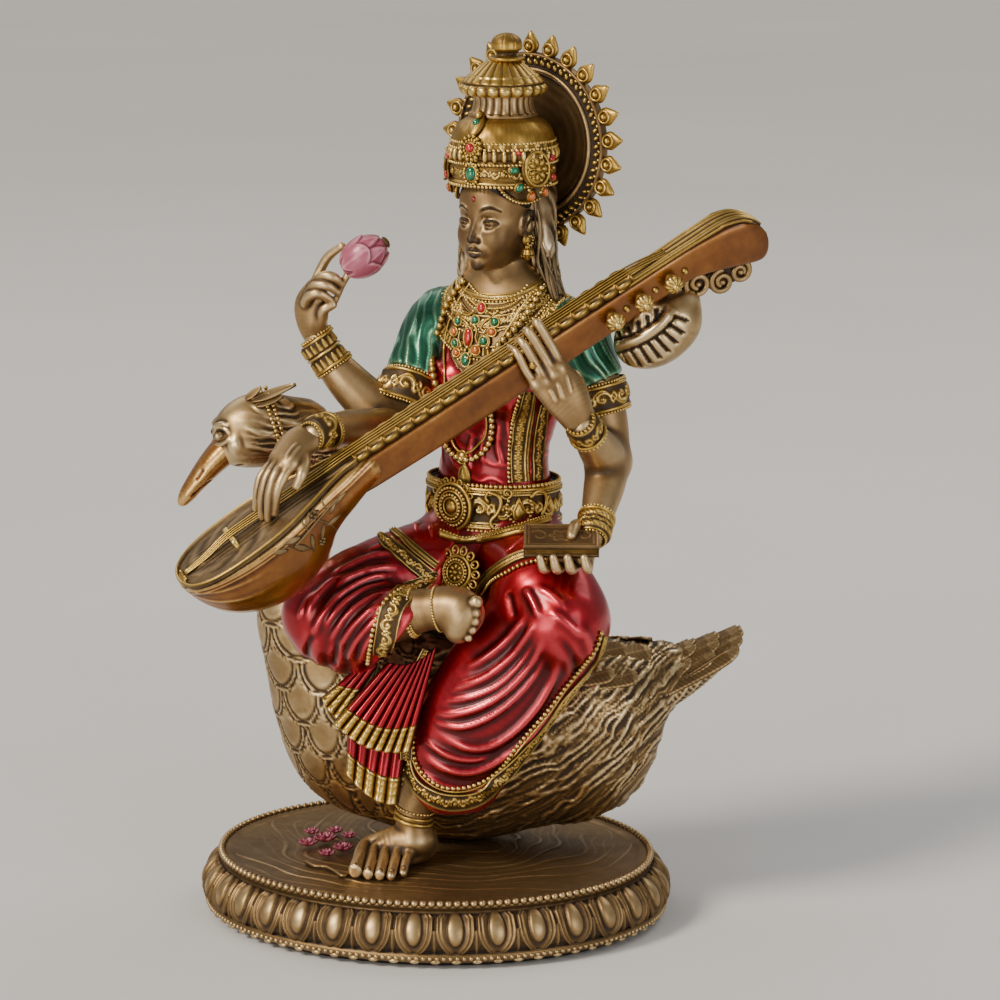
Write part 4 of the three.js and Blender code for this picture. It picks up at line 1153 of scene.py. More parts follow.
def build_swan():
    v = Vox((-50, -14, 14), (64, 48, 84), 0.46)
    v.ell((2, 15, 46), (40, 21, 31), rz(10))
    v.ell((-24, 10, 52), (20.5, 18.5, 28), rz(10), 7)
    v.ell((30, 21, 46), (24, 17, 25), rz(14) @ ry(18), 7)
    v.tube([(20, 18, 52), (38, 24, 54), (52, 33, 60)], [17, 13.5, 8], 8, flat=(0, 0, 1), q=0.85)
    v.tube([(-30, 8, 60), (-36, 2.5, 74), (-38, 0.8, 82)], [15, 11.5, 8.5], 7)
    v.slab((0, 0, -1), (0, 0, 15.3), 0.6)
    m = v.mesh(1)
    V, N = m.V.copy(), m.normals()
    x, y, z = V.T
    # breast: big shield scales, measured round the breast axis
    ax, ay = -18.0, 13.0
    th = np.arctan2(-(x - ax), -(y - ay))          # 0 at the front, + towards the head end
    R = 23.0
    br = 1 / (1 + np.exp(-(-8.5 - x + 0.12 * (z - 45)) / 1.0))
    zz = z * 1.0
    hs = scales(th * R + 0.5, zz + 3.5, 9.9, 8.7, 5.4, 9.2)
    low = np.clip((z - 19) / 5, 0, 1) * np.clip((88 - z) / 8, 0, 1)
    front_edge = 1 / (1 + np.exp((th - 1.75) / 0.10))
    Hb = hs * 1.15 * br * low * front_edge
    # far front of the breast: long wavy feather edges
    wob = 0.7 * np.sin(z / 2.6 + 1.3 * np.sin(th * 5))
    Hf = (0.5 + 0.5 * np.cos(2 * math.pi * (th * R / 2.7 + 0.45 * wob))) ** 2.2 * 0.55 * br * low * (1 - front_edge)
    # flanks and rear: fine wavy plumage running up towards the tail
    s = 0.86 * x + 0.42 * y + 0.25 * z
    w = z - 0.20 * (x - 20) - 0.012 * (x - 10) ** 2
    n1 = noise(V, 5.2, 1)
    n2 = noise(V, 2.3, 4)
    lay = np.stack([s * 0.075, w * 0.42 + 0.55 * np.sin(s / 6.0 + 1.6 * n1), y * 0.05], -1)
    r1 = np.clip(1 - np.abs(noise(lay, 1.0, 11)) * 3.2, 0, 1) ** 1.5
    lay = np.stack([s * 0.15, w * 0.95 + 0.6 * np.sin(s / 3.8 + 2.0 * n1), y * 0.1], -1)
    r2 = np.clip(1 - np.abs(noise(lay, 1.0, 12)) * 3.0, 0, 1) ** 1.4
    am = 0.45 + 0.55 * np.clip(0.5 + n2, 0, 1)
    Hr = (0.66 * r1 * am + 0.22 * r2) * (1 - br) * np.clip((z - 15.5) / 3, 0, 1)
    m.V = V + N * (Hb + Hf + Hr)[:, None]
    add("swan_body_plumage", m, MAT["bronze"], ("swan_body",), cavscale=0.85)
    global SWAN_BVH
    SWAN_BVH = m.bvh()

    # neck and head
    v = Vox((-64, -28, 58), (-18, 16, 144), 0.34)
    v.tube([(-34, 5, 62), (-38.2, 1.4, 78), (-37.4, 1.6, 92), (-34.0, 3.4, 104), (-32.4, 3.2, 113), (-33.4, 1.6, 121)], [11.5, 9.2, 7.6, 7.0, 7.4, 7.8], 0, 26)
    v.ell((-37, -2.2, 126.4), (10, 8.2, 8.8), rz(22), 4)
    v.ell((-45.6, -8.8, 127.6), (11.6, 8.6, 9.6), rz(26) @ ry(-14), 4)
    hd = unit((-0.88, -0.40, -0.25))
    sd = unit((0.41, -0.91, 0.0))
    v.ell(np.array([-48.6, -10.0, 124.2]) + sd * 3.0, (7.4, 4.6, 5.4), basis(hd, sd), 2.5)
    v.ell(np.array([-48.6, -10.0, 124.2]) - sd * 3.0, (7.4, 4.6, 5.4), basis(hd, sd), 2.5)
    m = v.mesh(1)
    b = m.bvh()
    H = np.zeros(len(m.V))
    # streaked feathers running from the crown down the neck
    V, N = m.V, m.normals()
    rel = V - np.array([-36, 1, 120])
    ang = np.arctan2(rel @ sd, rel @ ZZ)
    back = 1 / (1 + np.exp(-(V[:, 0] + 43.2 + 0.10 * (V[:, 2] - 120)) / 0.9))
    n1 = noise(V, 3.4, 2)
    along = V[:, 2] - 0.6 * V[:, 0]
    A = np.arctan2((V - np.array([-36.5, 1.5, 0])) @ np.array([0, 1, 0]), (V - np.array([-36.5, 1.5, 0])) @ np.array([1, 0, 0]))
    headish = np.clip((V[:, 2] - 114) / 8, 0, 1)
    ph = (1 - headish) * (A * 7.2) + headish * ((V[:, 2] + 0.45 * V[:, 0]) / 1.75 * 2.3) + 1.2 * n1 + 0.5 * np.sin(along / 2.2)
    H += back * (0.42 * np.clip(np.cos(ph), 0, 1) ** 1.5 + 0.20 * np.clip(np.cos(2.1 * ph + along), 0, 1)) * np.clip(0.6 + n1, 0.25, 1)
    for side in (1, -1):
        def mir(P):
            if side == 1:
                return P
            c0 = np.array([-46, -9.4, 127])
            return P - 2 * ((P - c0) @ sd)[:, None] * sd

        def line(pts, w, h, tp=0.3):
            P, Nn = trace(b, pts, 34)
            if len(P) > 3:
                P = mir(P)
                if side == -1:
                    P, _ = snap(b, P)
                m.stroke(P, w, h, H, tp)
        line([(197.5, 437), (201, 448), (207, 461), (213, 468), (222, 473)], 0.55, 0.75, 0.12)      # edge of the bill
        line([(206, 441), (211, 430), (220, 424), (230, 426)], 0.55, 0.75, 0.3)                    # brow
        line([(210, 440), (217, 428), (226, 430), (230, 436)], 0.38, 0.55, 0.25)
        line([(209, 441), (216, 445), (224, 443), (231, 437)], 0.38, 0.50, 0.25)
        line([(212, 436), (219, 434), (226, 437)], 1.3, -0.55, 0.35)
        line([(226, 447), (234, 444), (243, 441)], 2.0, 0.55, 0.4)
        line([(214, 455), (222, 462), (233, 466), (246, 464)], 0.7, -0.30, 0.4)
    m.push(H)
    add("swan_neck_plumage", m, MAT["bronze"], ("swan_neck", "swan_head"), cavscale=1.25)
    b2 = m.bvh()
    eyes = []
    for side in (1, -1):
        r = hit(b, 219, 436.5)
        P = r[0][None]
        if side == -1:
            c0 = np.array([-46, -9.4, 127])
            P = P - 2 * ((P - c0) @ sd)[:, None] * sd
        n = sd * side
        eyes.append(beads(P, n[None] - 0.1 * ZZ, 1.3, 3, 0.55, (1.2, 0.9, 1), T=hd[None]))
        eyes.append(beads(P + n * 0.72, n[None], 0.5, 2, 0.5))
    put("swan_eyes", eyes, "hair", ())
    # bill
    v = Vox((-68, -26, 104), (-44, -4, 134), 0.3)
    v.tube([(-51.2, -12.4, 124.6), (-56, -15.2, 119.2), (-60.8, -17.9, 112.6), (-62.2, -18.6, 110.2)], [5.8, 4.6, 3.1, 2.2], 0, 20, flat=unit((-0.62, -0.30, 0.72)), q=0.72)
    v.ell((-61.0, -18.0, 111.4), (2.3, 2.1, 1.4), basis(hd, unit((-0.62, -0.30, 0.72))), 1)
    mb = v.mesh(1)
    Hb = np.zeros(len(mb.V))
    bb = mb.bvh()
    for side in (1, -1):
        for pts, w_, h_ in (([(215, 478), (206, 484), (197, 492), (190, 498)], 0.35, -0.5), ([(204, 468), (200, 474), (196, 481)], 0.5, -0.3)):
            P, _ = trace(bb, pts, 24)
            if len(P) > 3:
                if side == -1:
                    c0 = np.array([-46, -9.4, 127])
                    P = P - 2 * ((P - c0) @ sd)[:, None] * sd
                    P, _ = snap(bb, P)
                mb.stroke(P, w_, h_, Hb, 0.2)
    mb.push(Hb)
    add("swan_bill_shell", mb, MAT["amber"], ("swan_bill",), cavscale=1.3)
    # harness chain round the head: twin rows of beads in a full loop, and a leaf crest
    parts = []
    c0 = np.array([-41.2, -5.6, 126.6])
    axis = unit((-0.86, -0.42, -0.30))
    X = unit(sd - (sd @ axis) * axis)
    Y = np.cross(axis, X)
    for off in (-0.75, 0.75):
        a = np.linspace(0, 2 * math.pi, 80, endpoint=False)
        P = c0 + axis * off + 15 * (np.cos(a)[:, None] * X + np.sin(a)[:, None] * Y)
        Q, Nn = [], []
        for p in P:
            o = c0 + axis * off
            q, n, _, _ = b2.ray_cast(Vector(p), Vector(unit(o - p)))
            if q is not None:
                Q.append(np.array(q)); Nn.append(np.array(n))
        parts.append(bead_line(np.array(Q), np.array(Nn), 0.56, 1.15, True, 2, 0.25))
    put("swan_chain", parts, "gold", ())
    lf = []
    for (a_, b_, w_, k) in (((252, 399), (297, 387), 2.0, 1.0), ((256, 404), (284, 398), 1.6, 0.7), ((246, 397), (262, 388), 1.3, 0.6)):
        p, n = hit(b2, a_[0], a_[1] + 3) or (at(*a_, -2), ZZ)
        q = at(b_[0], b_[1], (p @ VH) - 1.0)
        d = q - p
        L = np.linalg.norm(d)
        lf.append(petal_mesh(p, d, unit(ZZ + 0.5 * sd), L, w_, 0.25, 0.12, 0.9, (15, 9)))
    put("swan_crest", lf, "bronze", ())

    # tail: a solid root with three layers of long feathers
    v = Vox((26, 8, 34), (78, 60, 76), 0.45)
    ax_ = unit((0.80, 0.50, 0.36))
    sdt = unit(np.array([0.53, -0.85, 0.0]))
    upt = np.cross(sdt, ax_) * -1
    if upt[2] < 0:
        upt = -upt
    v.tube([(33, 22, 51), (44, 29, 53.5), (55, 36, 58), (64, 41.5, 62.5)], [15.5, 13, 9.6, 6.0], 0, 24, flat=upt, q=0.62)
    m = v.mesh(1)
    V = m.V
    s_ = (V - np.array([33, 22, 51])) @ ax_
    t_ = (V - np.array([33, 22, 51])) @ sdt
    hh = 0.35 * np.clip(np.cos(2 * math.pi * (t_ / 2.4 + 0.3 * np.sin(s_ / 3))), 0, 1) ** 2 + 0.2 * np.clip(np.cos(2 * math.pi * (s_ / 1.3 + np.abs(t_) / 2.2)), 0, 1)
    m.push(hh)
    add("swan_tail_root", m, MAT["bronze"], ("swan_tail",), cavscale=1.2)

    def feather(p, q, nrm, W, th=0.8, curl=1.2, barb=1.0):
        d = q - p
        L = np.linalg.norm(d)
        d = d / L
        n = unit(nrm - (nrm @ d) * d)
        s = np.cross(n, d)
        a, bb_ = int(L / 0.36 / HS), int(2 * W / 0.3 / HS) | 1
        u = np.linspace(0, 1, a)
        vv = np.linspace(-1, 1, bb_)
        U, X_ = np.meshgrid(u, vv, indexing="ij")
        wd = W * (0.62 + 0.38 * np.sin(np.clip(U, 0, 1) * math.pi * 0.62)) * np.sqrt(np.clip(1 - np.clip((U - 0.80) / 0.205, 0, 1) ** 2.2, 0.0004, 1))
        bend = curl * (U ** 2) * 1.0 - 0.20 * W * X_ ** 2
        P = p + d * (U * L)[..., None] + s * (X_ * wd)[..., None] + n * bend[..., None]
        shaft = 0.34 * np.exp(-(X_ / 0.10) ** 2) * (1 - 0.6 * U)
        bs = 0.16 * barb * np.clip(np.cos(2 * math.pi * ((U * L) / 1.25 - np.abs(X_) * 1.3)), -0.3, 1) * (0.35 + 0.65 * np.abs(X_))
        rim = 0.20 * np.exp(-((np.abs(X_) - 0.92) / 0.09) ** 2)
        e = np.sqrt(np.clip(1 - X_ ** 4, 0, 1))
        top = P + n * (th * 0.5 * (0.35 + 0.65 * e) + shaft + bs + rim)[..., None]
        bot = P - n * (th * 0.5 * (0.35 + 0.65 * e))[..., None]
        g = np.arange(a * bb_).reshape(a, bb_)
        h = g + a * bb_
        loop = np.concatenate([g[0, :], g[1:, -1], g[-1, -2::-1], g[-2:0:-1, 0]])
        F = np.vstack([np.stack([g[:-1, :-1], g[:-1, 1:], g[1:, 1:], g[1:, :-1]], 2).reshape(-1, 4),
                       np.stack([h[:-1, :-1], h[1:, :-1], h[1:, 1:], h[:-1, 1:]], 2).reshape(-1, 4),
                       np.stack([np.roll(loop, -1), loop, loop + a * bb_, np.roll(loop, -1) + a * bb_], 1)])
        mm = Msh(np.vstack([top.reshape(-1, 3), bot.reshape(-1, 3)]), F)
        if mm.volume() < 0:
            mm.F = mm.F[:, ::-1].copy()
        # shaft, barbs, rim and tip lighter (painted highlight on the ridges); root darker where it meets the body and
        # underside 0.22 (painted shade)
        c = 0.42 + 0.9 * (shaft + bs) + 0.8 * rim - 0.30 * np.exp(-(U / 0.10) ** 2) + 0.18 * (U > 0.9)
        mm.extra["_c"] = np.clip(np.concatenate([c.ravel(), np.full(a * bb_, 0.22)]), 0, 1)
        return mm
    parts = []
    root, tip = np.array([42.0, 27.0, 55.0]), np.array([72.0, 45.6, 69.0])
    for layer, (n_, back_, lift, W) in enumerate(((7, 0.0, 0.0, 3.0), (6, 6.5, 1.5, 2.9), (5, 13.0, 3.0, 2.7), (4, 19.0, 4.4, 2.4))):
        for j in range(n_):
            k = (j - (n_ - 1) / 2) / ((n_ - 1) / 2 + 1e-9)
            p = root + sdt * k * (10.5 - layer * 1.4) + upt * (3.4 + lift * 0.75 - 5.2 * k * k) - ax_ * (2.0 + back_ * 0.35)
            q = tip + sdt * k * (6.6 - layer * 0.4) + upt * (0.6 + lift * 0.7 - 2.2 * k * k) - ax_ * (back_ + 4.2 * k * k)
            nn = unit(upt + sdt * k * 0.75)
            parts.append(feather(p, q, nn, W, 0.85, 1.0))
    for j in range(5):                                  # underside
        k = (j - 2) / 2
        p = root + sdt * k * 8 - upt * 4.6
        q = tip + sdt * k * 6.0 - upt * 1.9 - ax_ * (1.0 + 4 * k * k)
        parts.append(feather(p, q, unit(-upt + sdt * k * 0.6), 3.0, 0.8, -0.6, 0.7))
    put("swan_tail_feathers", parts, "bronze", ())
    # folded wings on both flanks, in rows of long feathers
    parts = []
    for side in (-1, 1):
        for row in range(3):
            for j in range(6 - row):
                s0 = 12 + j * 6.0 + row * 3.0
                zt = 66 - row * 7.0 - j * 1.2
                o = np.array([2.0, 15.0, 46.0])
                dirx = unit((0.95, 0.22, 0.10))
                p0 = o + dirx * (s0 - 6) + np.array([0, 0, zt - 46])
                q0 = p0 + dirx * 15 + ZZ * (1.5 - row * 0.5)
                sdv = np.array([0.2, -1.0, 0.25]) * (1 if side < 0 else -1)
                sdv[2] = 0.25
                def onto(pp):
                    r = SWAN_BVH.ray_cast(Vector(pp + unit(sdv) * 40), Vector(-unit(sdv)))
                    return (np.array(r[0]), np.array(r[1])) if r[0] is not None else (pp, unit(sdv))
                a_, na_ = onto(p0)
                b_, nb_ = onto(q0)
                if side < 0 and a_[2] > 12 and (row > 1 or j < 2):
                    continue
                nn = unit(na_ + nb_)
                parts.append(feather(a_ - nn * 0.2, b_ + nn * 0.25, nn, 3.1, 0.9, 0.5))
    put("swan_wing_feathers", parts, "bronze", ())


build_swan()
# ---------------------------------------------------------------- veena frame (used by the hands too)
VO = np.array([-33.17, -43.84, 111.28])
VA = unit((0.7468, 0.4177, 0.5175))
VN = np.array([-0.3257, -0.4487, 0.8322]); VN = unit(VN - (VN @ VA) * VA)
VY = np.cross(VN, VA)
VBAS = np.stack([VA, VY, VN], 1)


def vp(x, y, z):
    return VO + VA * x + VY * y + VN * z


def on_plane(x, y, n, c):
    """Where the view line through (x, y) meets the plane n.(p-c) = 0."""
    d = ray(x, y)
    return CAM + d * ((np.asarray(c) - CAM) @ n / (d @ n))


def on_z(x, y, z):
    return on_plane(x, y, ZZ, (0, 0, z))


def strokes(m, b, lines, H, lift=0):
    for pts, w, h in lines:
        P, _ = trace(b, pts, 44)
        if len(P) > 3:
            m.stroke(P, w, h, H, 0.28)


# ---------------------------------------------------------------- sari drapery
BODYM = []
def build_drapes():
    global DR, DL, HIPS_B
    # hips and lap
    v = Vox((-18, -10, 74), (42, 38, 110), 0.42)
    v.ell((11.5, 16, 91), (23.5, 16.5, 14), rz(-12))
    v.tube([(11.5, 15.7, 94), (11.5, 15.7, 108)], [18.5, 17.2], 5, flat=TF, q=0.76)
    v.tube([(4, 12, 93), (-4, 2, 91)], [13, 12], 4)
    v.tube([(21, 9, 93), (28, 0, 91)], [13, 12], 4)
    m = v.mesh(1)
    b = m.bvh()
    H = np.zeros(len(m.V))
    strokes(m, b, [([(430, 522), (432, 545), (436, 565)], 0.9, 0.7), ([(415, 520), (419, 545), (428, 568)], 0.8, 0.8), ([(405, 524), (410, 548), (420, 570)], 0.7, 0.6),
                   ([(440, 540), (445, 556), (452, 566)], 0.8, 0.5),
                   ([(556, 530), (530, 536), (505, 556), (490, 572)], 1.1, 1.0), ([(566, 540), (540, 545), (512, 562), (495, 580)], 0.9, 0.8), ([(548, 524), (520, 534), (498, 550)], 0.8, 0.7),
                   ([(500, 548), (488, 556), (480, 566)], 0.7, 0.5)], H)
    V = m.V
    rel = V - np.array([11.5, 16, 91])
    back = np.clip(rel @ -TF / 10, 0, 1)
    H += back * 0.55 * np.clip(np.cos(2 * math.pi * (V[:, 2] / 5.2 + 0.25 * np.sin((rel @ TL) / 5))), 0, 1) ** 2
    m.push(H)
    add("sari_hips", m, MAT["crimson"], ("hips",), cavscale=1.0)
    HIPS_B = m.bvh()
    BODYM.append(m)

    # right leg, folded across the lap
    v = Vox((-38, -34, 64), (22, 28, 108), 0.38)
    v.tube([(6, 12, 92), (-6, -1, 90), (-17, -12, 86.5), (-24.5, -18.5, 82.5)], [13.6, 13.2, 12.2, 10.4], 0, 22, flat=(0, 0, 1), q=0.95)
    v.ell((-21.5, -17.6, 81), (12.6, 10.4, 11.4), rz(22), 4)
    v.tube([(-21, -19, 79.5), (-12, -21.5, 80.5), (-3, -23.5, 82)], [10.2, 9.6, 9.0], 4)
    v.tube([(-14, -17, 75), (-6, -16, 74)], [9, 8], 5)
    # opening where the bare shin comes out
    c = on_plane(405, 620, VH, VH * 27)
    e0 = at(441, 577, 24); e1 = at(372, 672, 24)
    nrm = unit(np.cross(e1 - e0, VB))
    if nrm @ VR < 0:
        nrm = -nrm
    m = None
    v.slab(unit(nrm - 0.12 * VB), (e0 + e1) / 2, 1.2)
    m = v.mesh(1)
    b = m.bvh()
    H = np.zeros(len(m.V))
    F_ = [([(401, 565), (376, 569), (352, 576), (330, 590)], 0.9, 0.9),
          ([(396, 573), (368, 579), (344, 592), (322, 612)], 0.8, 1.0),
          ([(392, 581), (364, 590), (342, 605), (322, 630)], 0.8, 1.0),
          ([(388, 590), (364, 602), (345, 618), (328, 644)], 0.8, 1.0),
          ([(384, 601), (365, 615), (349, 632), (336, 656)], 0.8, 0.9),
          ([(380, 615), (367, 628), (355, 644), (347, 664)], 0.8, 0.8),
          ([(374, 633), (366, 646), (360, 666)], 0.8, 0.6),
          ([(400, 552), (372, 556), (348, 566), (326, 580)], 0.9, 0.8),
          ([(412, 540), (386, 544), (362, 553)], 0.9, 0.6),
          ([(352, 572), (330, 583), (314, 600), (304, 622)], 0.9, 0.7),
          ([(338, 600), (322, 616), (310, 640)], 0.9, 0.6),
          ([(320, 590), (306, 602), (297, 622)], 0.8, 0.5),
          ([(340, 640), (335, 655), (334, 668)], 1.0, -0.7), ([(316, 628), (308, 645), (306, 660)], 1.0, -0.6)]
    strokes(m, b, F_, H)
    V = m.V
    H += 0.20 * noise(V, 5.0, 3)
    under = np.clip((78 - V[:, 2]) / 6, 0, 1)
    H += under * 0.22 * np.cos(2 * math.pi * ((V @ VR) / 5.0))
    m.push(H)
    add("sari_right_leg", m, MAT["crimson"], ("leg_drape_right",), cavscale=1.0)
    DR = m.bvh()
    BODYM.append(m)

    # left leg and the cloth hanging from it
    v = Vox((-6, -34, 24), (60, 26, 108), 0.42)
    v.tube([(18, 11, 93), (25, 3, 91.5), (32, -6, 88.5), (37, -11.5, 82.5)], [13.6, 13, 12.2, 11.2], 0, 22)
    v.ell((36.8, -11.4, 81.5), (11.6, 11, 11.6), None, 3)
    fl = unit(VH + 0.12 * ZZ)
    v.tube([(33, -9.8, 82), (25.6, -11.5, 70), (17.4, -12.6, 58), (11.6, -13.2, 48), (9.6, -13.4, 42.0)], [14.6, 16.0, 15.8, 14.4, 12.6], 5, 26, flat=fl, q=0.56)
    v.tube([(36, 2, 80), (34, 0, 69), (27, -2, 59)], [8.0, 6.5, 4.5], 6)
    v.slab((0.05, 0, -1), (0, 0, 29.6), 1.0)
    m = v.mesh(1)
    b = m.bvh()
    H = np.zeros(len(m.V))
    U = [([(462, 668), (478, 662), (498, 648), (516, 630), (528, 612)], 1.1, 1.0),
         ([(448, 690), (462, 686), (484, 678), (508, 660), (526, 638), (536, 616)], 0.95, 1.1),
         ([(440, 700), (456, 700), (478, 695), (500, 684), (520, 664), (536, 640)], 0.75, 0.8),
         ([(430, 710), (446, 715), (470, 711), (494, 700), (516, 682), (535, 658), (545, 636)], 1.0, 1.15),
         ([(428, 716), (441, 724), (464, 727), (490, 717), (514, 699), (534, 676), (546, 652)], 0.85, 0.9),
         ([(436, 730), (449, 740), (470, 748), (492, 745), (515, 730), (537, 706), (552, 680), (560, 654)], 1.15, 1.25),
         ([(421, 735), (434, 747), (452, 757), (472, 760), (494, 756)], 0.8, 0.7),
         ([(417, 747), (430, 760), (447, 769), (470, 772), (494, 763), (520, 743), (546, 716), (565, 688)], 1.1, 1.2),
         ([(412, 764), (428, 778), (452, 788), (482, 787), (510, 774), (540, 748), (568, 716)], 1.1, 0.9),
         ([(556, 632), (571, 655), (580, 682)], 1.5, -0.5), ([(575, 618), (588, 642), (594, 670)], 1.3, 0.55), ([(548, 612), (566, 622), (584, 640)], 1.1, 0.55),
         ([(524, 586), (532, 600), (540, 618)], 1.0, 0.8), ([(508, 590), (512, 606), (516, 620)], 1.2, -0.5), ([(535, 585), (553, 596), (568, 612)], 1.0, 0.4),
         ([(500, 756), (520, 744), (538, 724)], 0.7, 0.5)]
    strokes(m, b, U, H)
    V = m.V
    H += 0.16 * noise(V, 6.0, 5)
    # long folds round the far side and back
    d = V @ VH
    fb = np.clip((-4 - d) / 6, 0, 1)
    H += fb * 0.7 * np.clip(np.cos(2 * math.pi * ((V[:, 0] * 0.8 + V[:, 2] * 0.35) / 6.0)), 0, 1) ** 1.5
    m.push(H)
    add("sari_left_leg", m, MAT["crimson"], ("leg_drape_left",), cavscale=1.0)
    DL = m.bvh()
    BODYM.append(m)


build_drapes()


# ---------------------------------------------------------------- pleats
def pleats(top, bottom, n, depth, blocks, name, mat, cols, lift, rows=60, replaces=(), slot=None, gap=0.0, taper=0.25):
    """A fan of knife pleats between two curves; each pleat is its own folded tongue."""
    T = spline(np.array(top), n + 1)
    B = spline(np.array(bottom), n + 1)
    red, gold = [], []
    for i in range(n):
        a0, a1, b0, b1 = T[i], T[i + 1], B[i], B[i + 1]
        w = np.linspace(-0.08, 1.08, 9)
        u = np.linspace(0, 1, rows)
        U, W = np.meshgrid(u, w, indexing="ij")
        P = (a0 + (a1 - a0) * W[..., None]) * (1 - U[..., None]) + (b0 + (b1 - b0) * W[..., None]) * U[..., None]
        prof = (1 - (2 * W - 1) ** 2 * 0.55) - 0.6 * np.clip(W - 0.78, 0, 1) / 0.3 + 0.18 * np.exp(-((W - 0.25) / 0.12) ** 2)
        out = lift + depth * (0.35 + 0.65 * U) * prof + 0.35 * np.sin(U * 5 + i)
        P = P + VH * out[..., None]
        ub = blocks
        g = np.arange(rows * 9).reshape(rows, 9)
        for part, lo_, hi_, hgt in ((red, 0.0, ub + 0.01, 0.0), (gold, ub, 1.0, 0.28)):
            r0, r1 = int(lo_ * (rows - 1)), int(math.ceil(hi_ * (rows - 1)))
            Q = P[r0:r1 + 1] + VH * hgt
            a_ = len(Q)
            uu = U[r0:r1 + 1]
            ww = W[r0:r1 + 1]
            hh = np.zeros_like(uu)
            if part is gold:
                t = (uu - ub) / (1 - ub)
                hh = 0.30 * (np.exp(-((t - 0.06) / 0.05) ** 2) + np.exp(-((t - 0.94) / 0.05) ** 2)) + 0.24 * np.clip(np.cos(2 * math.pi * (t * 3.5)), 0, 1) * np.clip(1 - np.abs(ww - 0.4) * 2.2, 0, 1)
            Q = Q + VH * hh[..., None]
            K = Q - VH * 1.1
            gg = np.arange(a_ * 9).reshape(a_, 9)
            kk = gg + a_ * 9
            loop = np.concatenate([gg[0, :], gg[1:, -1], gg[-1, -2::-1], gg[-2:0:-1, 0]])
            F = np.vstack([np.stack([gg[:-1, :-1], gg[:-1, 1:], gg[1:, 1:], gg[1:, :-1]], 2).reshape(-1, 4),
                           np.stack([kk[:-1, :-1], kk[1:, :-1], kk[1:, 1:], kk[:-1, 1:]], 2).reshape(-1, 4),
                           np.stack([np.roll(loop, -1), loop, loop + a_ * 9, np.roll(loop, -1) + a_ * 9], 1)])
            mm = Msh(np.vstack([Q.reshape(-1, 3), K.reshape(-1, 3)]), F)
            if mm.volume() < 0:
                mm.F = mm.F[:, ::-1].copy()
            # lighter on each pleat's crown and towards the hem, darker at both edges where the pleats lap and 0.15 on
            # the backs: painted highlight and painted shade
            c = np.clip((0.20 if part is gold else 0.30) + 0.42 * prof[r0:r1 + 1] * (0.6 + 0.4 * uu) + (0.7 * hh if part is gold else 0) - 0.25 * (ww > 0.9) - 0.2 * (ww < 0.02), 0, 1)
            mm.extra["_c"] = np.concatenate([c.ravel(), np.full(a_ * 9, 0.15)])
            part.append(mm)
    put(name + "_cloth", red, "crimson", replaces)
    put(name + "_hem", gold, "gold", ())


def build_pleats():
    f = lambda L, d: [at(x, y, d if np.isscalar(d) else d[i]) for i, (x, y) in enumerate(L)]
    pleats(f([(388, 662), (402, 664), (414, 662), (426, 655), (437, 645)], 21), f([(334, 722), (352, 737), (374, 748), (394, 751), (411, 749)], 23.5), 9, 2.3, 0.76, "pleat_fan", "crimson", None, 0.3, replaces=("pleat_fan",))
    pleats(f([(350, 712), (368, 722), (388, 728), (408, 726)], 18), f([(346, 772), (362, 789), (381, 801), (398, 803)], 20), 5, 2.0, 0.66, "pleat_under", "crimson", None, 0.0, replaces=("pleat_under",))
    pleats(f([(352, 672), (364, 668), (378, 664)], 19), f([(322, 698), (331, 712), (342, 720)], 21), 3, 1.6, 0.45, "pleat_side", "crimson", None, 0.2)


build_pleats()


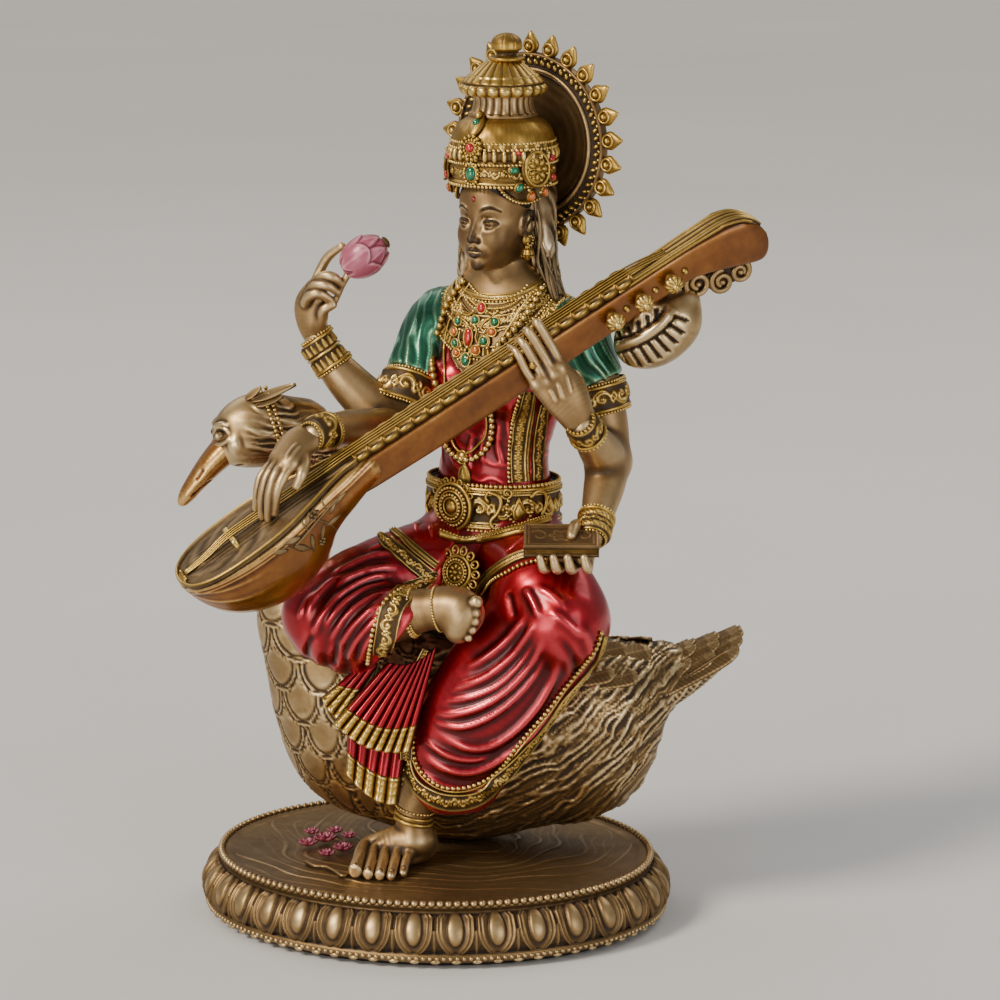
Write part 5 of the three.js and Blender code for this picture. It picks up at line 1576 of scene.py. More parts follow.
# ---------------------------------------------------------------- torso
def build_torso():
    global TOR
    v = Vox((-14, -8, 98), (42, 36, 172), 0.36)
    v.tube([(11.5, 15.7, 100), (11.5, 15.8, 112), (12, 16, 124), (13, 16.4, 137), (14, 17.2, 148), (14.3, 18, 156)], [17.6, 15.4, 14.6, 17.2, 18.4, 16.0], 0, 30, flat=TF, q=0.70)
    v.ell(np.array([14.2, 18.4, 157]), (20.5, 8.4, 6.2), rz(-12), 5)
    ch = np.array([13, 16.4, 139.5])
    for s_ in (-1, 1):
        v.ell(ch + TF * 8.6 + TL * 7.6 * s_, (7.4, 6.4, 7.6), rz(-12), 2.6)
        v.ell(np.array([14.2, 18.6, 153.5]) + TL * 19.5 * s_, (6.6, 7.2, 7.2), rz(-12), 4)
    v.tube([(14.3, 18.2, 157), (14.0, 16.8, 166), (13.8, 15.6, 174)], [8.2, 5.9, 5.6], 5)
    m = v.mesh(1)
    TOR = m.bvh()
    V = m.V
    # skin above the scooped neckline, cloth below
    q = (V - np.array([14.0, 12.0, 165.0]))
    a = q @ TL
    z = q[:, 2]
    line = 141.5 + 0.055 * a * a * 0.9
    f = V @ TF - ch @ TF
    skin = (V[:, 2] > np.where(f > -6, np.maximum(line, 141), 158 + 0.02 * a * a))
    H = np.where(skin, -0.15, 0.25)
    for _ in range(3):
        H = m.avg(H)[:, 0]
    n1 = noise(V, 4.5, 7)
    fold = 0.16 * np.clip(np.cos(2 * math.pi * ((V[:, 2] * 0.75 + a * 0.35) / 4.3 + 0.35 * n1)), 0, 1) ** 1.6 * (~skin) * np.clip((132 - V[:, 2]) / 8, 0, 1)
    H2 = np.zeros(len(V))
    strokes(m, TOR, [([(424, 352), (430, 372), (440, 392)], 0.7, 0.5), ([(430, 345), (440, 366), (452, 384)], 0.6, 0.45), ([(500, 420), (498, 445), (503, 470)], 0.7, 0.5),
                     ([(486, 424), (482, 446), (484, 468)], 0.6, 0.4), ([(474, 430), (470, 452), (470, 474)], 0.6, 0.4), ([(446, 420), (444, 445), (444, 470)], 0.7, 0.4),
                     ([(430, 420), (432, 445), (432, 470)], 0.7, 0.5), ([(512, 400), (508, 425), (514, 452)], 0.6, 0.4)], H2)
    m.push(H + fold + H2)
    cavi = m.cavity(1.0)
    F = m.F
    sk = skin[F].mean(1) > 0.5
    for nm, sel, mt, rep, sl in (("blouse", ~sk, "crimson", ("torso",), "crimson_lacquer"), ("chest_and_neck", sk, "skin", ("neck",), "bronze")):
        f_ = F[sel]
        used, inv = np.unique(f_, return_inverse=True)
        top = Msh(m.V[used], inv.reshape(f_.shape))
        # close each shell with an inner copy
        N = m.normals()[used]
        e = np.vstack([top.F[:, [i, (i + 1) % 4]] for i in range(4)])
        key = e[:, 0] * len(used) + e[:, 1]
        rev = e[:, 1] * len(used) + e[:, 0]
        bd = e[~np.isin(key, rev)]
        k = len(used)
        Vn = np.vstack([top.V, top.V - N * 0.9])
        Fn = np.vstack([top.F, top.F[:, ::-1] + k, np.stack([bd[:, 1], bd[:, 0], bd[:, 0] + k, bd[:, 1] + k], 1)])
        add(nm, Msh(Vn, Fn), MAT[mt], rep, cav=np.concatenate([cavi[used], np.full(k, 0.3)]))
    TOR = m.bvh()
    BODYM.append(Msh(m.V, m.F))
    # neck creases: cords are built here but never added to the scene
    parts = []
    for zc in (165.6, 168.2):
        P = []
        for t in np.linspace(-1.5, 1.5, 24):
            d = math.cos(t) * HF + math.sin(t) * HL
            o = np.array([14.0, 16.8, zc])
            r = TOR.ray_cast(Vector(o + d * 15), Vector(-d))
            if r[0] is not None:
                P.append((np.array(r[0]), np.array(r[1])))
        if len(P) > 4:
            parts.append(cord_mesh(np.array([p for p, _ in P]) - 0.12 * np.array([n for _, n in P]), np.array([n for _, n in P]), 0.28, 6))


build_torso()


# ---------------------------------------------------------------- arms
def build_arms():
    global ARM_R, ARM_L, SLV_R, SLV_L
    v = Vox((-42, -40, 116), (4, 32, 160), 0.34)
    v.tube([(-6.2, 20.4, 149), (-9.4, 13.4, 139), (-10.8, 9.0, 132.5), (-11.2, 5.8, 127)], [7.2, 6.9, 6.5, 6.0], 0)
    v.tube([(-11.2, 5.6, 127.2), (-16.4, 4.6, 131.4), (-24.5, 2.8, 139.6), (-31.0, 1.6, 147.8), (-31.8, 1.3, 151)], [6.0, 6.3, 5.4, 3.9, 3.7], 2.0, 22)
    v.tube([(-11.0, 3.6, 127.2), (-13.2, -6, 128.8), (-16.4, -20, 131.4), (-19.8, -31.2, 132.6), (-21, -34, 132)], [5.6, 5.6, 4.9, 3.7, 3.5], 2.0, 22)
    m = v.mesh(1).relax(0.55, 10)
    ARM_R = m.bvh()
    add("arm_right", m, MAT["skin"], ("upper_arm_right", "forearm_right_rear", "forearm_right_front"), cavscale=1.0)
    v = Vox((28, -18, 98), (54, 24, 160), 0.34)
    v.tube([(35.4, 13.6, 151), (39.4, 13.4, 141), (42.2, 13.2, 130), (43.6, 12.2, 120.5)], [6.8, 6.5, 6.0, 5.6], 0)
    v.tube([(43.6, 11.4, 120.4), (43.4, 4.6, 124.0), (42.6, -4.4, 129.8), (42.0, -8.2, 132.8)], [5.7, 5.5, 4.2, 3.6], 2.0)
    v.tube([(43.6, 11.2, 119.6), (44.2, 5.2, 115.2), (44.6, -3.0, 109.4), (44.8, -8.0, 105.6)], [5.6, 5.4, 4.3, 3.6], 2.0)
    m = v.mesh(1).relax(0.55, 10)
    ARM_L = m.bvh()
    add("arm_left", m, MAT["skin"], ("upper_arm_left", "forearm_left_front", "forearm_left_rear"), cavscale=1.0)
    # sleeves
    for nm, pts, rad, shc, box_, rep in (("sleeve_cloth_right", [(-3.2, 21.8, 154), (-6.2, 20.4, 149.5), (-9.2, 14.2, 140.2)], [8.6, 8.6, 8.0], (-4.6, 21.0, 152), ((-22, 0, 126), (12, 36, 168)), "sleeve_right"),
                                       ("sleeve_cloth_left", [(32.6, 14.0, 154), (35.2, 13.6, 150), (39.0, 13.4, 141.4)], [8.0, 8.0, 7.6], (33.6, 13.8, 152.4), ((16, -4, 128), (56, 30, 168)), "sleeve_left")):
        v = Vox(box_[0], box_[1], 0.34)
        v.tube(pts, rad, 0)
        v.ell(shc, (8.4, 8.0, 7.8), rz(-12), 3)
        ax_ = unit(np.array(pts[-1]) - np.array(pts[-2]))
        v.slab(ax_, np.array(pts[-1]) + ax_ * 1.0, 0.6)
        m = v.mesh(1)
        V = m.V
        t = (V - np.array(pts[-1])) @ ax_
        B = basis(TF, ax_)
        an = np.arctan2((V - np.array(pts[-1])) @ B[:, 1], (V - np.array(pts[-1])) @ B[:, 0])
        n1 = noise(V, 4.0, 9)
        H = 0.42 * np.clip(np.cos(an * 8 + t * 0.22 + 1.1 * n1), 0, 1) ** 1.6 * (0.3 + 0.7 * np.clip(1 + t / 13, 0, 1))
        H += 0.16 * np.clip(np.cos(an * 17 + t * 0.5 + 2.2 * n1), 0, 1) ** 2
        m.push(H)
        add(nm, m, MAT["green"], (rep,), cavscale=0.75)
        if nm.endswith("right"):
            SLV_R = m.bvh()
        else:
            SLV_L = m.bvh()


build_arms()


# ---------------------------------------------------------------- hands
def finger(v, P, r, k=0.5, tip=0.78):
    P = np.asarray(P, float)
    n = len(P)
    rad = [r * 1.06] + [r] * (n - 2) + [r * tip]
    if n >= 4:
        rad = [r * 1.08, r * 1.0, r * 0.98] + [r * 0.92] * (n - 4) + [r * tip]
    v.tube(P, rad, k, 16)


def build_hands():
    # left front hand on the neck of the veena
    W = np.array([42.0, -8.0, 132.6])
    pl = lambda x, y, o: on_plane(x, y, VY, vp(0, o, 0))
    lo, hi = np.array([18, -26, 124.0]), np.array([52, 4, 166.0])
    v = Vox(lo, hi, 0.21)
    k1, k2, k3, k4 = pl(562, 368, -6.6), pl(554, 375, -7.4), pl(545, 381, -7.4), pl(535.5, 386, -6.8)
    palm = (k2 + W) / 2 + VY * -0.6
    v.tube([W, palm + VA * 1.0, (k1 + k2) / 2], [3.5, 4.3, 3.4], 0, 18, flat=VY, q=0.72)
    v.tube([W, palm - VA * 1.6, (k3 + k4) / 2], [3.4, 4.0, 2.8], 1.6, 18, flat=VY, q=0.72)
    for k_, mid, tip, over, r in ((k1, (551, 345), (539, 325), 0.0, 1.28), (k2, (543, 354), (530, 333.5), 0.0, 1.32), (k3, (535, 363), (524.5, 345), 0.0, 1.24), (k4, (525, 369), (518.5, 355), 0.0, 1.08)):
        a = pl(*mid, -6.0)
        bt = pl(*tip, -5.2)
        z_ = (bt - VO) @ VN
        x_ = (bt - VO) @ VA
        up = vp(x_, -4.6, max(z_, 1.2) + 0.6)
        en = vp(x_ - 0.5, -1.2, 2.9)
        finger(v, [k_, (k_ + a) / 2 - VY * 0.4, a, up, en], r, 0.7)
    v.tube([W + VA * 1.5, vp(88, -2.0, -15.5), vp(87, 1.5, -13.9)], [2.2, 1.7, 1.3], 1.0)
    m = v.mesh(1).relax(0.5, 2)
    b = m.bvh()
    H = np.zeros(len(m.V))
    for p0, p1 in (((566, 372), (572, 396)), ((557, 380), (564, 402)), ((549, 387), (557, 404))):
        strokes(m, b, [([p0, ((p0[0] + p1[0]) / 2, (p0[1] + p1[1]) / 2), p1], 0.55, 0.22)], H)
    for c_ in ((562, 368), (554, 375), (545, 381), (535.5, 386)):
        r_ = hit(b, *c_)
        if r_:
            idx, d, _ = m.dist(np.array([r_[0], r_[0] + 0.01]), 2.5)
            H[idx] += 0.30 * np.exp(-(d / 1.1) ** 2)
    m.push(H)
    add("hand_left_front_flesh", m, MAT["skin"], ("hand_left_front",), cavscale=1.4)
    r_ = hit(b, 532.5, 366)
    put("finger_ring", [dome(r_[0] - r_[1] * 0.2, r_[1], 1.15, 0.9, VN)], "gold", ())

    # right front hand plucking over the soundboard
    W = np.array([-20.4, -32.8, 132.3])
    v = Vox((-40, -56, 108), (-14, -26, 140), 0.21)
    f = lambda x, y, d: at(x, y, d)
    kn = [f(291, 464, 35.5), f(286, 461, 34.5), f(281.5, 459, 33.2), f(278, 457, 31.6)]
    v.tube([W, f(301, 446, 29.5), (kn[0] + kn[1]) / 2], [3.5, 4.0, 3.3], 0, 16, flat=unit(VN + 0.4 * VH), q=0.72)
    v.tube([W, f(296, 441, 27.5), (kn[2] + kn[3]) / 2], [3.4, 3.8, 2.9], 1.6, 16, flat=unit(VN + 0.4 * VH), q=0.72)
    finger(v, [kn[0], f(283, 478, 38.0), f(277, 492, 38.5), f(274.5, 513, 37.0)], 1.25, 0.7)
    finger(v, [kn[1], f(275, 476, 37.5), f(269.5, 494, 38.0), f(268, 519, 36.2)], 1.28, 0.6)
    finger(v, [kn[2], f(268, 475, 36.0), f(262.5, 494, 36.4), f(261.5, 517, 34.6)], 1.22, 0.6)
    finger(v, [kn[3], f(262, 474, 34.2), f(257, 490, 34.6), f(255.5, 509, 33.2)], 1.05, 0.6)
    finger(v, [f(303, 450, 30), f(305, 462, 34.5), f(302, 474, 37.5), f(296.5, 486, 38.0)], 1.45, 1.0)
    m = v.mesh(1).relax(0.5, 2)
    b = m.bvh()
    H = np.zeros(len(m.V))
    strokes(m, b, [([(289, 462), (295, 452), (302, 444)], 0.5, 0.2), ([(284, 459), (291, 449), (299, 441)], 0.5, 0.2)], H)
    m.push(H)
    add("hand_right_front_flesh", m, MAT["skin"], ("hand_right_front",), cavscale=1.4)

    # right rear hand with the lotus bud
    W = np.array([-31.8, 1.3, 150.5])
    v = Vox((-42, -12, 142), (-12, 10, 186), 0.21)
    f = lambda x, y, d: at(x, y, d)
    v.tube([W, f(311, 322, -9), f(309, 305, -8.5), f(316, 290, -8)], [3.6, 4.0, 4.0, 3.2], 0, 18, flat=unit(VH - 0.5 * VR), q=0.66)
    v.tube([f(316, 318, -8.6), f(318, 300, -8.0)], [3.0, 2.9], 1.2)
    finger(v, [f(306, 303, -6.5), f(309, 296.5, -4.5), f(319, 293.5, -3.4), f(331, 300, -4.2)], 1.36, 0.5)
    finger(v, [f(309, 294, -6.5), f(315, 286, -4.3), f(327, 285.5, -3.0), f(338, 292.5, -4.0)], 1.36, 0.4)
    finger(v, [f(313, 285, -6.5), f(322, 276.5, -4.2), f(333, 277, -3.0), f(342, 284, -4.0)], 1.32, 0.4)
    finger(v, [f(315, 284, -9), f(320.5, 270, -9.5), f(328.5, 256.5, -8.5), f(342, 246, -6.5)], 1.30, 0.5)
    finger(v, [f(318, 330, -8.5), f(322.5, 319, -6.0), f(324, 310, -4.5), f(333, 305, -4.0)], 1.45, 0.9)
    # stem
    v.tube([f(336, 300, -4.4), f(343, 284, -4.2), f(350, 270, -4.2)], [0.8, 0.8, 1.2], 0.3)
    m = v.mesh(1).relax(0.5, 2)
    add("hand_right_rear_flesh", m, MAT["skin"], ("hand_right_rear",), cavscale=1.4)

    # lotus bud: overlapping petals round an egg
    c = at(365, 256, -3.5)
    ax_ = unit(at(386, 242, -3.5) - at(344, 270, -3.5))
    B = basis(VH, ax_)
    v = Vox(c - 10, c + 10, 0.25)
    v.ell(c, (4.6, 4.6, 6.4), B)
    m = v.mesh(1).relax(0.5, 2)
    q = (m.V - c) @ B
    an = np.arctan2(q[:, 1], q[:, 0])
    t = q[:, 2] / 6.4
    H = np.zeros(len(m.V))
    for layer, (n_, ph, t1) in enumerate(((5, 0.3, 0.86), (5, 0.95, 0.35))):
        for j in range(n_):
            a0 = ph + j * 2 * math.pi / n_
            da = (an - a0 + math.pi) % (2 * math.pi) - math.pi
            wd = 0.82 * np.sqrt(np.clip(1 - np.clip((t + 0.3) / (t1 + 0.3), -1, 1) ** 2, 0, 1))
            e = wd - np.abs(da)
            ins = np.clip(e * 9, 0, 1)
            H = np.maximum(H, ins * (0.45 + 0.30 * layer) + 0.16 * np.exp(-(e / 0.06) ** 2) * (t < t1) + 0.10 * ins * np.exp(-(da / 0.08) ** 2))
    m.push(H)
    add("lotus_bud_petals", m, MAT["pink"], ("lotus_bud",), cavscale=1.0)
    tipc = c + ax_ * 6.3
    put("lotus_bud_tip", [dome(tipc, ax_, 1.7, 1.0, VH)], "bronze", ())

    # left rear hand under the book
    W = np.array([44.8, -7.6, 105.8])
    v = Vox((30, -28, 86), (56, 0, 112), 0.21)
    bo = np.array([38.2, -15.0, 103.0])
    bx, by, bz = np.array([0.966, 0.259, 0]), np.array([-0.24, 0.9, 0.36]), unit((0.093, -0.348, 0.933))
    by = np.cross(bz, bx)
    und = lambda x, y, d: bo + bx * x + by * y + bz * d
    v.tube([W, und(6.4, 4.5, -2.2), und(5.0, -1.0, -2.6)], [3.6, 3.9, 3.4], 0, 16, flat=bz, q=0.7)
    v.tube([W, und(2.0, 3.0, -2.4), und(0.0, -1.5, -2.5)], [3.3, 3.6, 3.0], 1.6, 16, flat=bz, q=0.7)
    for x0, x1, r in ((7.0, 6.6, 1.35), (4.0, 2.4, 1.4), (0.8, -1.2, 1.35), (-2.0, -4.6, 1.2)):
        finger(v, [und(x0, -0.5, -2.8), und((x0 + x1) / 2, -4.4, -3.8), und(x1, -7.2, -2.2), und(x1 - 0.8, -6.6, 0.6)], r, 0.6)
    finger(v, [W + np.array([-1.6, -1.0, 0.6]), und(4.0, 5.2, 3.0), und(3.2, 1.6, 4.4), und(2.6, -1.6, 4.1)], 1.5, 1.2)
    m = v.mesh(1)
    add("hand_left_rear_flesh", m, MAT["skin"], ("hand_left_rear",), cavscale=1.4)
    # book: two covers, page block with leaf lines, engraved top
    n = 92
    x = np.linspace(-9.6, 9.6, n)
    y = np.linspace(-5.4, 5.4, n // 2)
    Xg, Yg = np.meshgrid(x, y, indexing="ij")
    fr = np.minimum(9.6 - np.abs(Xg), 5.4 - np.abs(Yg))
    hgt = 0.30 * np.exp(-((fr - 0.5) / 0.28) ** 2) + 0.20 * np.exp(-((fr - 1.5) / 0.2) ** 2)
    inn = fr > 1.9
    r = np.hypot(Xg, Yg * 1.2)
    an = np.arctan2(Yg * 1.2, Xg)
    hgt += inn * (0.24 * np.exp(-((r - 2.4 - 0.5 * np.cos(6 * an)) / 0.3) ** 2) + 0.2 * np.exp(-(r / 0.9) ** 2))
    for sx in (-1, 1):
        d_ = np.hypot(Xg - sx * 5.6, Yg)
        aa = np.arctan2(Yg, Xg - sx * 5.6)
        hgt += inn * 0.22 * np.exp(-((d_ - 0.7 - 0.32 * (aa + math.pi)) / 0.22) ** 2) * (d_ < 2.8)
    parts = []
    for z0, th, hh, nm in ((2.35, 0.75, hgt, "top"), (-0.05, 0.75, 0 * hgt, "bot")):
        top = und(0, 0, 0) + Xg[..., None] * bx + Yg[..., None] * by + bz * (z0 + th + hh[..., None])
        bot = und(0, 0, 0) + Xg[..., None] * bx + Yg[..., None] * by + bz * (z0 + 0 * hh[..., None])
        a_, b_ = Xg.shape
        g = np.arange(a_ * b_).reshape(a_, b_)
        k = g + a_ * b_
        loop = np.concatenate([g[0, :], g[1:, -1], g[-1, -2::-1], g[-2:0:-1, 0]])
        F = np.vstack([np.stack([g[:-1, :-1], g[1:, :-1], g[1:, 1:], g[:-1, 1:]], 2).reshape(-1, 4),
                       np.stack([k[:-1, :-1], k[:-1, 1:], k[1:, 1:], k[1:, :-1]], 2).reshape(-1, 4),
                       np.stack([loop, np.roll(loop, -1), np.roll(loop, -1) + a_ * b_, loop + a_ * b_], 1)])
        mm = Msh(np.vstack([top.reshape(-1, 3), bot.reshape(-1, 3)]), F)
        if mm.volume() < 0:
            mm.F = mm.F[:, ::-1].copy()
        # cover relief lighter (painted highlight), lower faces 0.25 (painted shade)
        mm.extra["_c"] = np.concatenate([np.clip(0.30 + 1.7 * hh.ravel(), 0, 0.95), np.full(a_ * b_, 0.25)])
        parts.append(mm)
    put("book_covers", parts, "skin", ("book",))
    pages = []
    for i in range(9):
        z0 = 0.75 + i * 0.178
        o = 0.45 + 0.14 * (i % 2)
        c8 = np.array([[-9.6 + o, -5.4 + o], [9.6 - o, -5.4 + o], [9.6 - o, 5.4 - o], [-9.6 + o, 5.4 - o]])
        V = np.array([und(0, 0, 0) + bx * p[0] + by * p[1] + bz * z for z in (z0, z0 + 0.172) for p in c8])
        F = np.array([[3, 2, 1, 0], [4, 5, 6, 7], [0, 1, 5, 4], [1, 2, 6, 5], [2, 3, 7, 6], [3, 0, 4, 7]])
        mm = Msh(V, F)
        if mm.volume() < 0:
            mm.F = mm.F[:, ::-1].copy()
        mm.extra["_c"] = np.full(8, 0.35 + 0.35 * (i % 2))
        pages.append(mm)
    put("book_pages", pages, "gold", ())


build_hands()


# ---------------------------------------------------------------- feet
def build_feet():
    # left foot standing on the water surface
    v = Vox((-16, -32, 14.6), (12, -2, 46), 0.24)
    z0 = 15.6
    g = lambda x, y, z: on_z(x, y, z)
    hp = np.array([-1.8, -13.0, 24.0])
    v.tube([(3.6, -13.4, 45), (0.6, -13.4, 37), (-1.8, -13.2, 29.5), (-2.2, -12.6, 23)], [5.6, 5.0, 4.6, 4.7], 0, 20)
    v.ell((-1.2, -10.2, 20.0), (4.8, 5.2, 4.7), None, 2.5)
    toes = [(353.5, 868, 19.0, 1.85), (367.5, 871.5, 18.0, 1.40), (379, 873.5, 17.8, 1.34), (391, 873, 17.6, 1.25), (403, 870.5, 17.4, 1.15)]
    roots = [(367, 846), (376, 849), (387, 850.5), (398, 851.5), (409, 852)]
    for (tx, ty, tz, tr), (rx, ry_) in zip(toes, roots):
        rt = g(rx, ry_, 19.6)
        tp = g(tx, ty, tz)
        tp[2] = z0 + tr * 0.95
        mid = (rt * 0.45 + tp * 0.55) + ZZ * 0.5
        v.tube([hp + (rt - hp) * 0.35 - ZZ * 0.2, rt, mid, tp], [3.3, tr * 1.22, tr, tr * 0.96], 0.55 if True else 0, 18)
    a_ = g(368, 849, 19.4); b_ = g(409, 855, 18.6)
    v.tube([hp + np.array([0.5, -1.0, -2.0]), (a_ + b_) / 2 + np.array([1.0, 2.8, 0.2])], [4.6, 3.9], 2.2, flat=ZZ, q=0.8)
    v.ell((a_ * 0.3 + b_ * 0.7) + np.array([1.2, 3.4, -1.2]), (5.4, 5.4, 2.6), None, 1.5)
    v.slab((0, 0, -1), (0, 0, z0 - 0.2), 0.2)
    m = v.mesh(1)
    b = m.bvh()
    H = np.zeros(len(m.V))
    for (tx, ty, tz, tr), (rx, ry_) in zip(toes, roots):
        r_ = hit(b, tx + 0.5, ty - 3.5)
        if r_ is None:
            continue
        dirv = unit(g(tx, ty, 16) - g(rx, ry_, 16))
        sdv = np.cross(r_[1], dirv)
        a = np.linspace(0, 2 * math.pi, 22)
        P = r_[0] + np.cos(a)[:, None] * dirv * tr * 0.62 + np.sin(a)[:, None] * sdv * tr * 0.58
        P, _ = snap(b, P)
        idx, d, _ = m.dist(P, 1.2)
        H[idx] -= 0.22 * np.exp(-(d / 0.2) ** 2)
        idx, d, _ = m.dist(np.array([r_[0], r_[0] + dirv * 0.1]), 1.6)
        H[idx] += 0.14 * np.exp(-(d / (tr * 0.55)) ** 4)
    m.push(H)
    add("foot_left_flesh", m, MAT["skin"], ("foot_left",), cavscale=1.5)
    FB = m.bvh()
    parts = []
    for off, r in ((0.0, 0.62), (1.5, 0.55), (3.2, 0.34)):
        c0 = np.array([-1.7, -13.1, 27.0 + off])
        axn = unit((0.22, 0.05, 1.0))
        B = basis(VR, axn)
        P, Nn = [], []
        for a in np.linspace(0, 2 * math.pi, 64, endpoint=False):
            d = B[:, 0] * math.cos(a) + B[:, 1] * math.sin(a)
            r_ = FB.ray_cast(Vector(c0 + d * 12), Vector(-d))
            if r_[0] is not None:
                P.append(np.array(r_[0])); Nn.append(np.array(r_[1]))
        if off > 3:
            parts.append(bead_line(np.array(P) + np.array(Nn) * 0.1, np.array(Nn), 0.42, 0.95, True, 1))
        else:
            parts.append(cord_mesh(np.array(P) + np.array(Nn) * 0.1, np.array(Nn), r, 8, 90, 1.0, True))
    put("anklet_left", parts, "gold", ())

    # right foot, resting on the other thigh with the toes towards the front
    v = Vox((-16, -40, 70), (26, -14, 100), 0.24)
    f = lambda x, y, d: at(x, y, d)
    v.tube([f(392, 617, 20), f(412, 612, 22.5), f(432, 609, 24), f(446, 608, 25)], [6.6, 5.9, 5.2, 5.0], 0, 18)
    v.tube([f(446, 608, 25), f(458, 609, 26.5), f(466, 614, 28)], [5.4, 5.6, 4.8], 2.0, 14)
    v.ell(f(461, 618, 27.5), (4.6, 5.0, 6.6), basis(VR, unit(VU + 0.25 * VR)), 1.6)
    for (x0, y0), (x1, y1), r, d_ in (((466, 607), (476.5, 602), 1.75, 30.5), ((467, 614), (475.5, 613), 1.30, 31.3), ((467, 620), (475, 621.5), 1.22, 31.6), ((466, 626), (472.5, 630), 1.15, 31.4), ((463, 632), (468.5, 638), 1.10, 30.8)):
        v.tube([f(x0, y0, d_ - 3), f((x0 + x1) / 2 + 1, (y0 + y1) / 2, d_ - 0.6), f(x1, y1, d_)], [r * 1.2, r, r * 0.95], 0.5, 12)
    m = v.mesh(1)
    add("foot_right_flesh", m, MAT["skin"], ("foot_right",), cavscale=1.5)
    FR = m.bvh()
    parts = []
    for (xa, ya), (xb, yb), r in (((411, 590), (408, 634), 0.62), ((414.5, 590), (411.5, 634), 0.45), ((441, 586), (437, 626), 0.40)):
        P0, P1 = f(xa, ya, 24), f(xb, yb, 24)
        c0 = (P0 + P1) / 2
        axn = unit(f(446, 608, 25) - f(412, 612, 22.5))
        B = basis(ZZ, axn)
        P, Nn = [], []
        for a in np.linspace(0, 2 * math.pi, 64, endpoint=False):
            d = B[:, 0] * math.cos(a) + B[:, 1] * math.sin(a)
            o = c0 - ((c0 - f(412, 612, 22.5)) @ B[:, 0]) * B[:, 0] * 0
            r_ = FR.ray_cast(Vector(o + d * 14), Vector(-d))
            if r_[0] is not None:
                P.append(np.array(r_[0])); Nn.append(np.array(r_[1]))
        parts.append(bead_line(np.array(P), np.array(Nn), r, r * 1.9, True, 2, 0.3))
    put("anklet_right", parts, "gold", ())


build_feet()
# ---------------------------------------------------------------- head
HO = np.array([13.5, 13.2, 0.0])
HBAS = np.stack([HL, HF, ZZ], 1)       # a = sideways (figure's left), f = forward, z = up


def hp_(a, f, z):
    return HO + HL * a + HF * f + ZZ * z


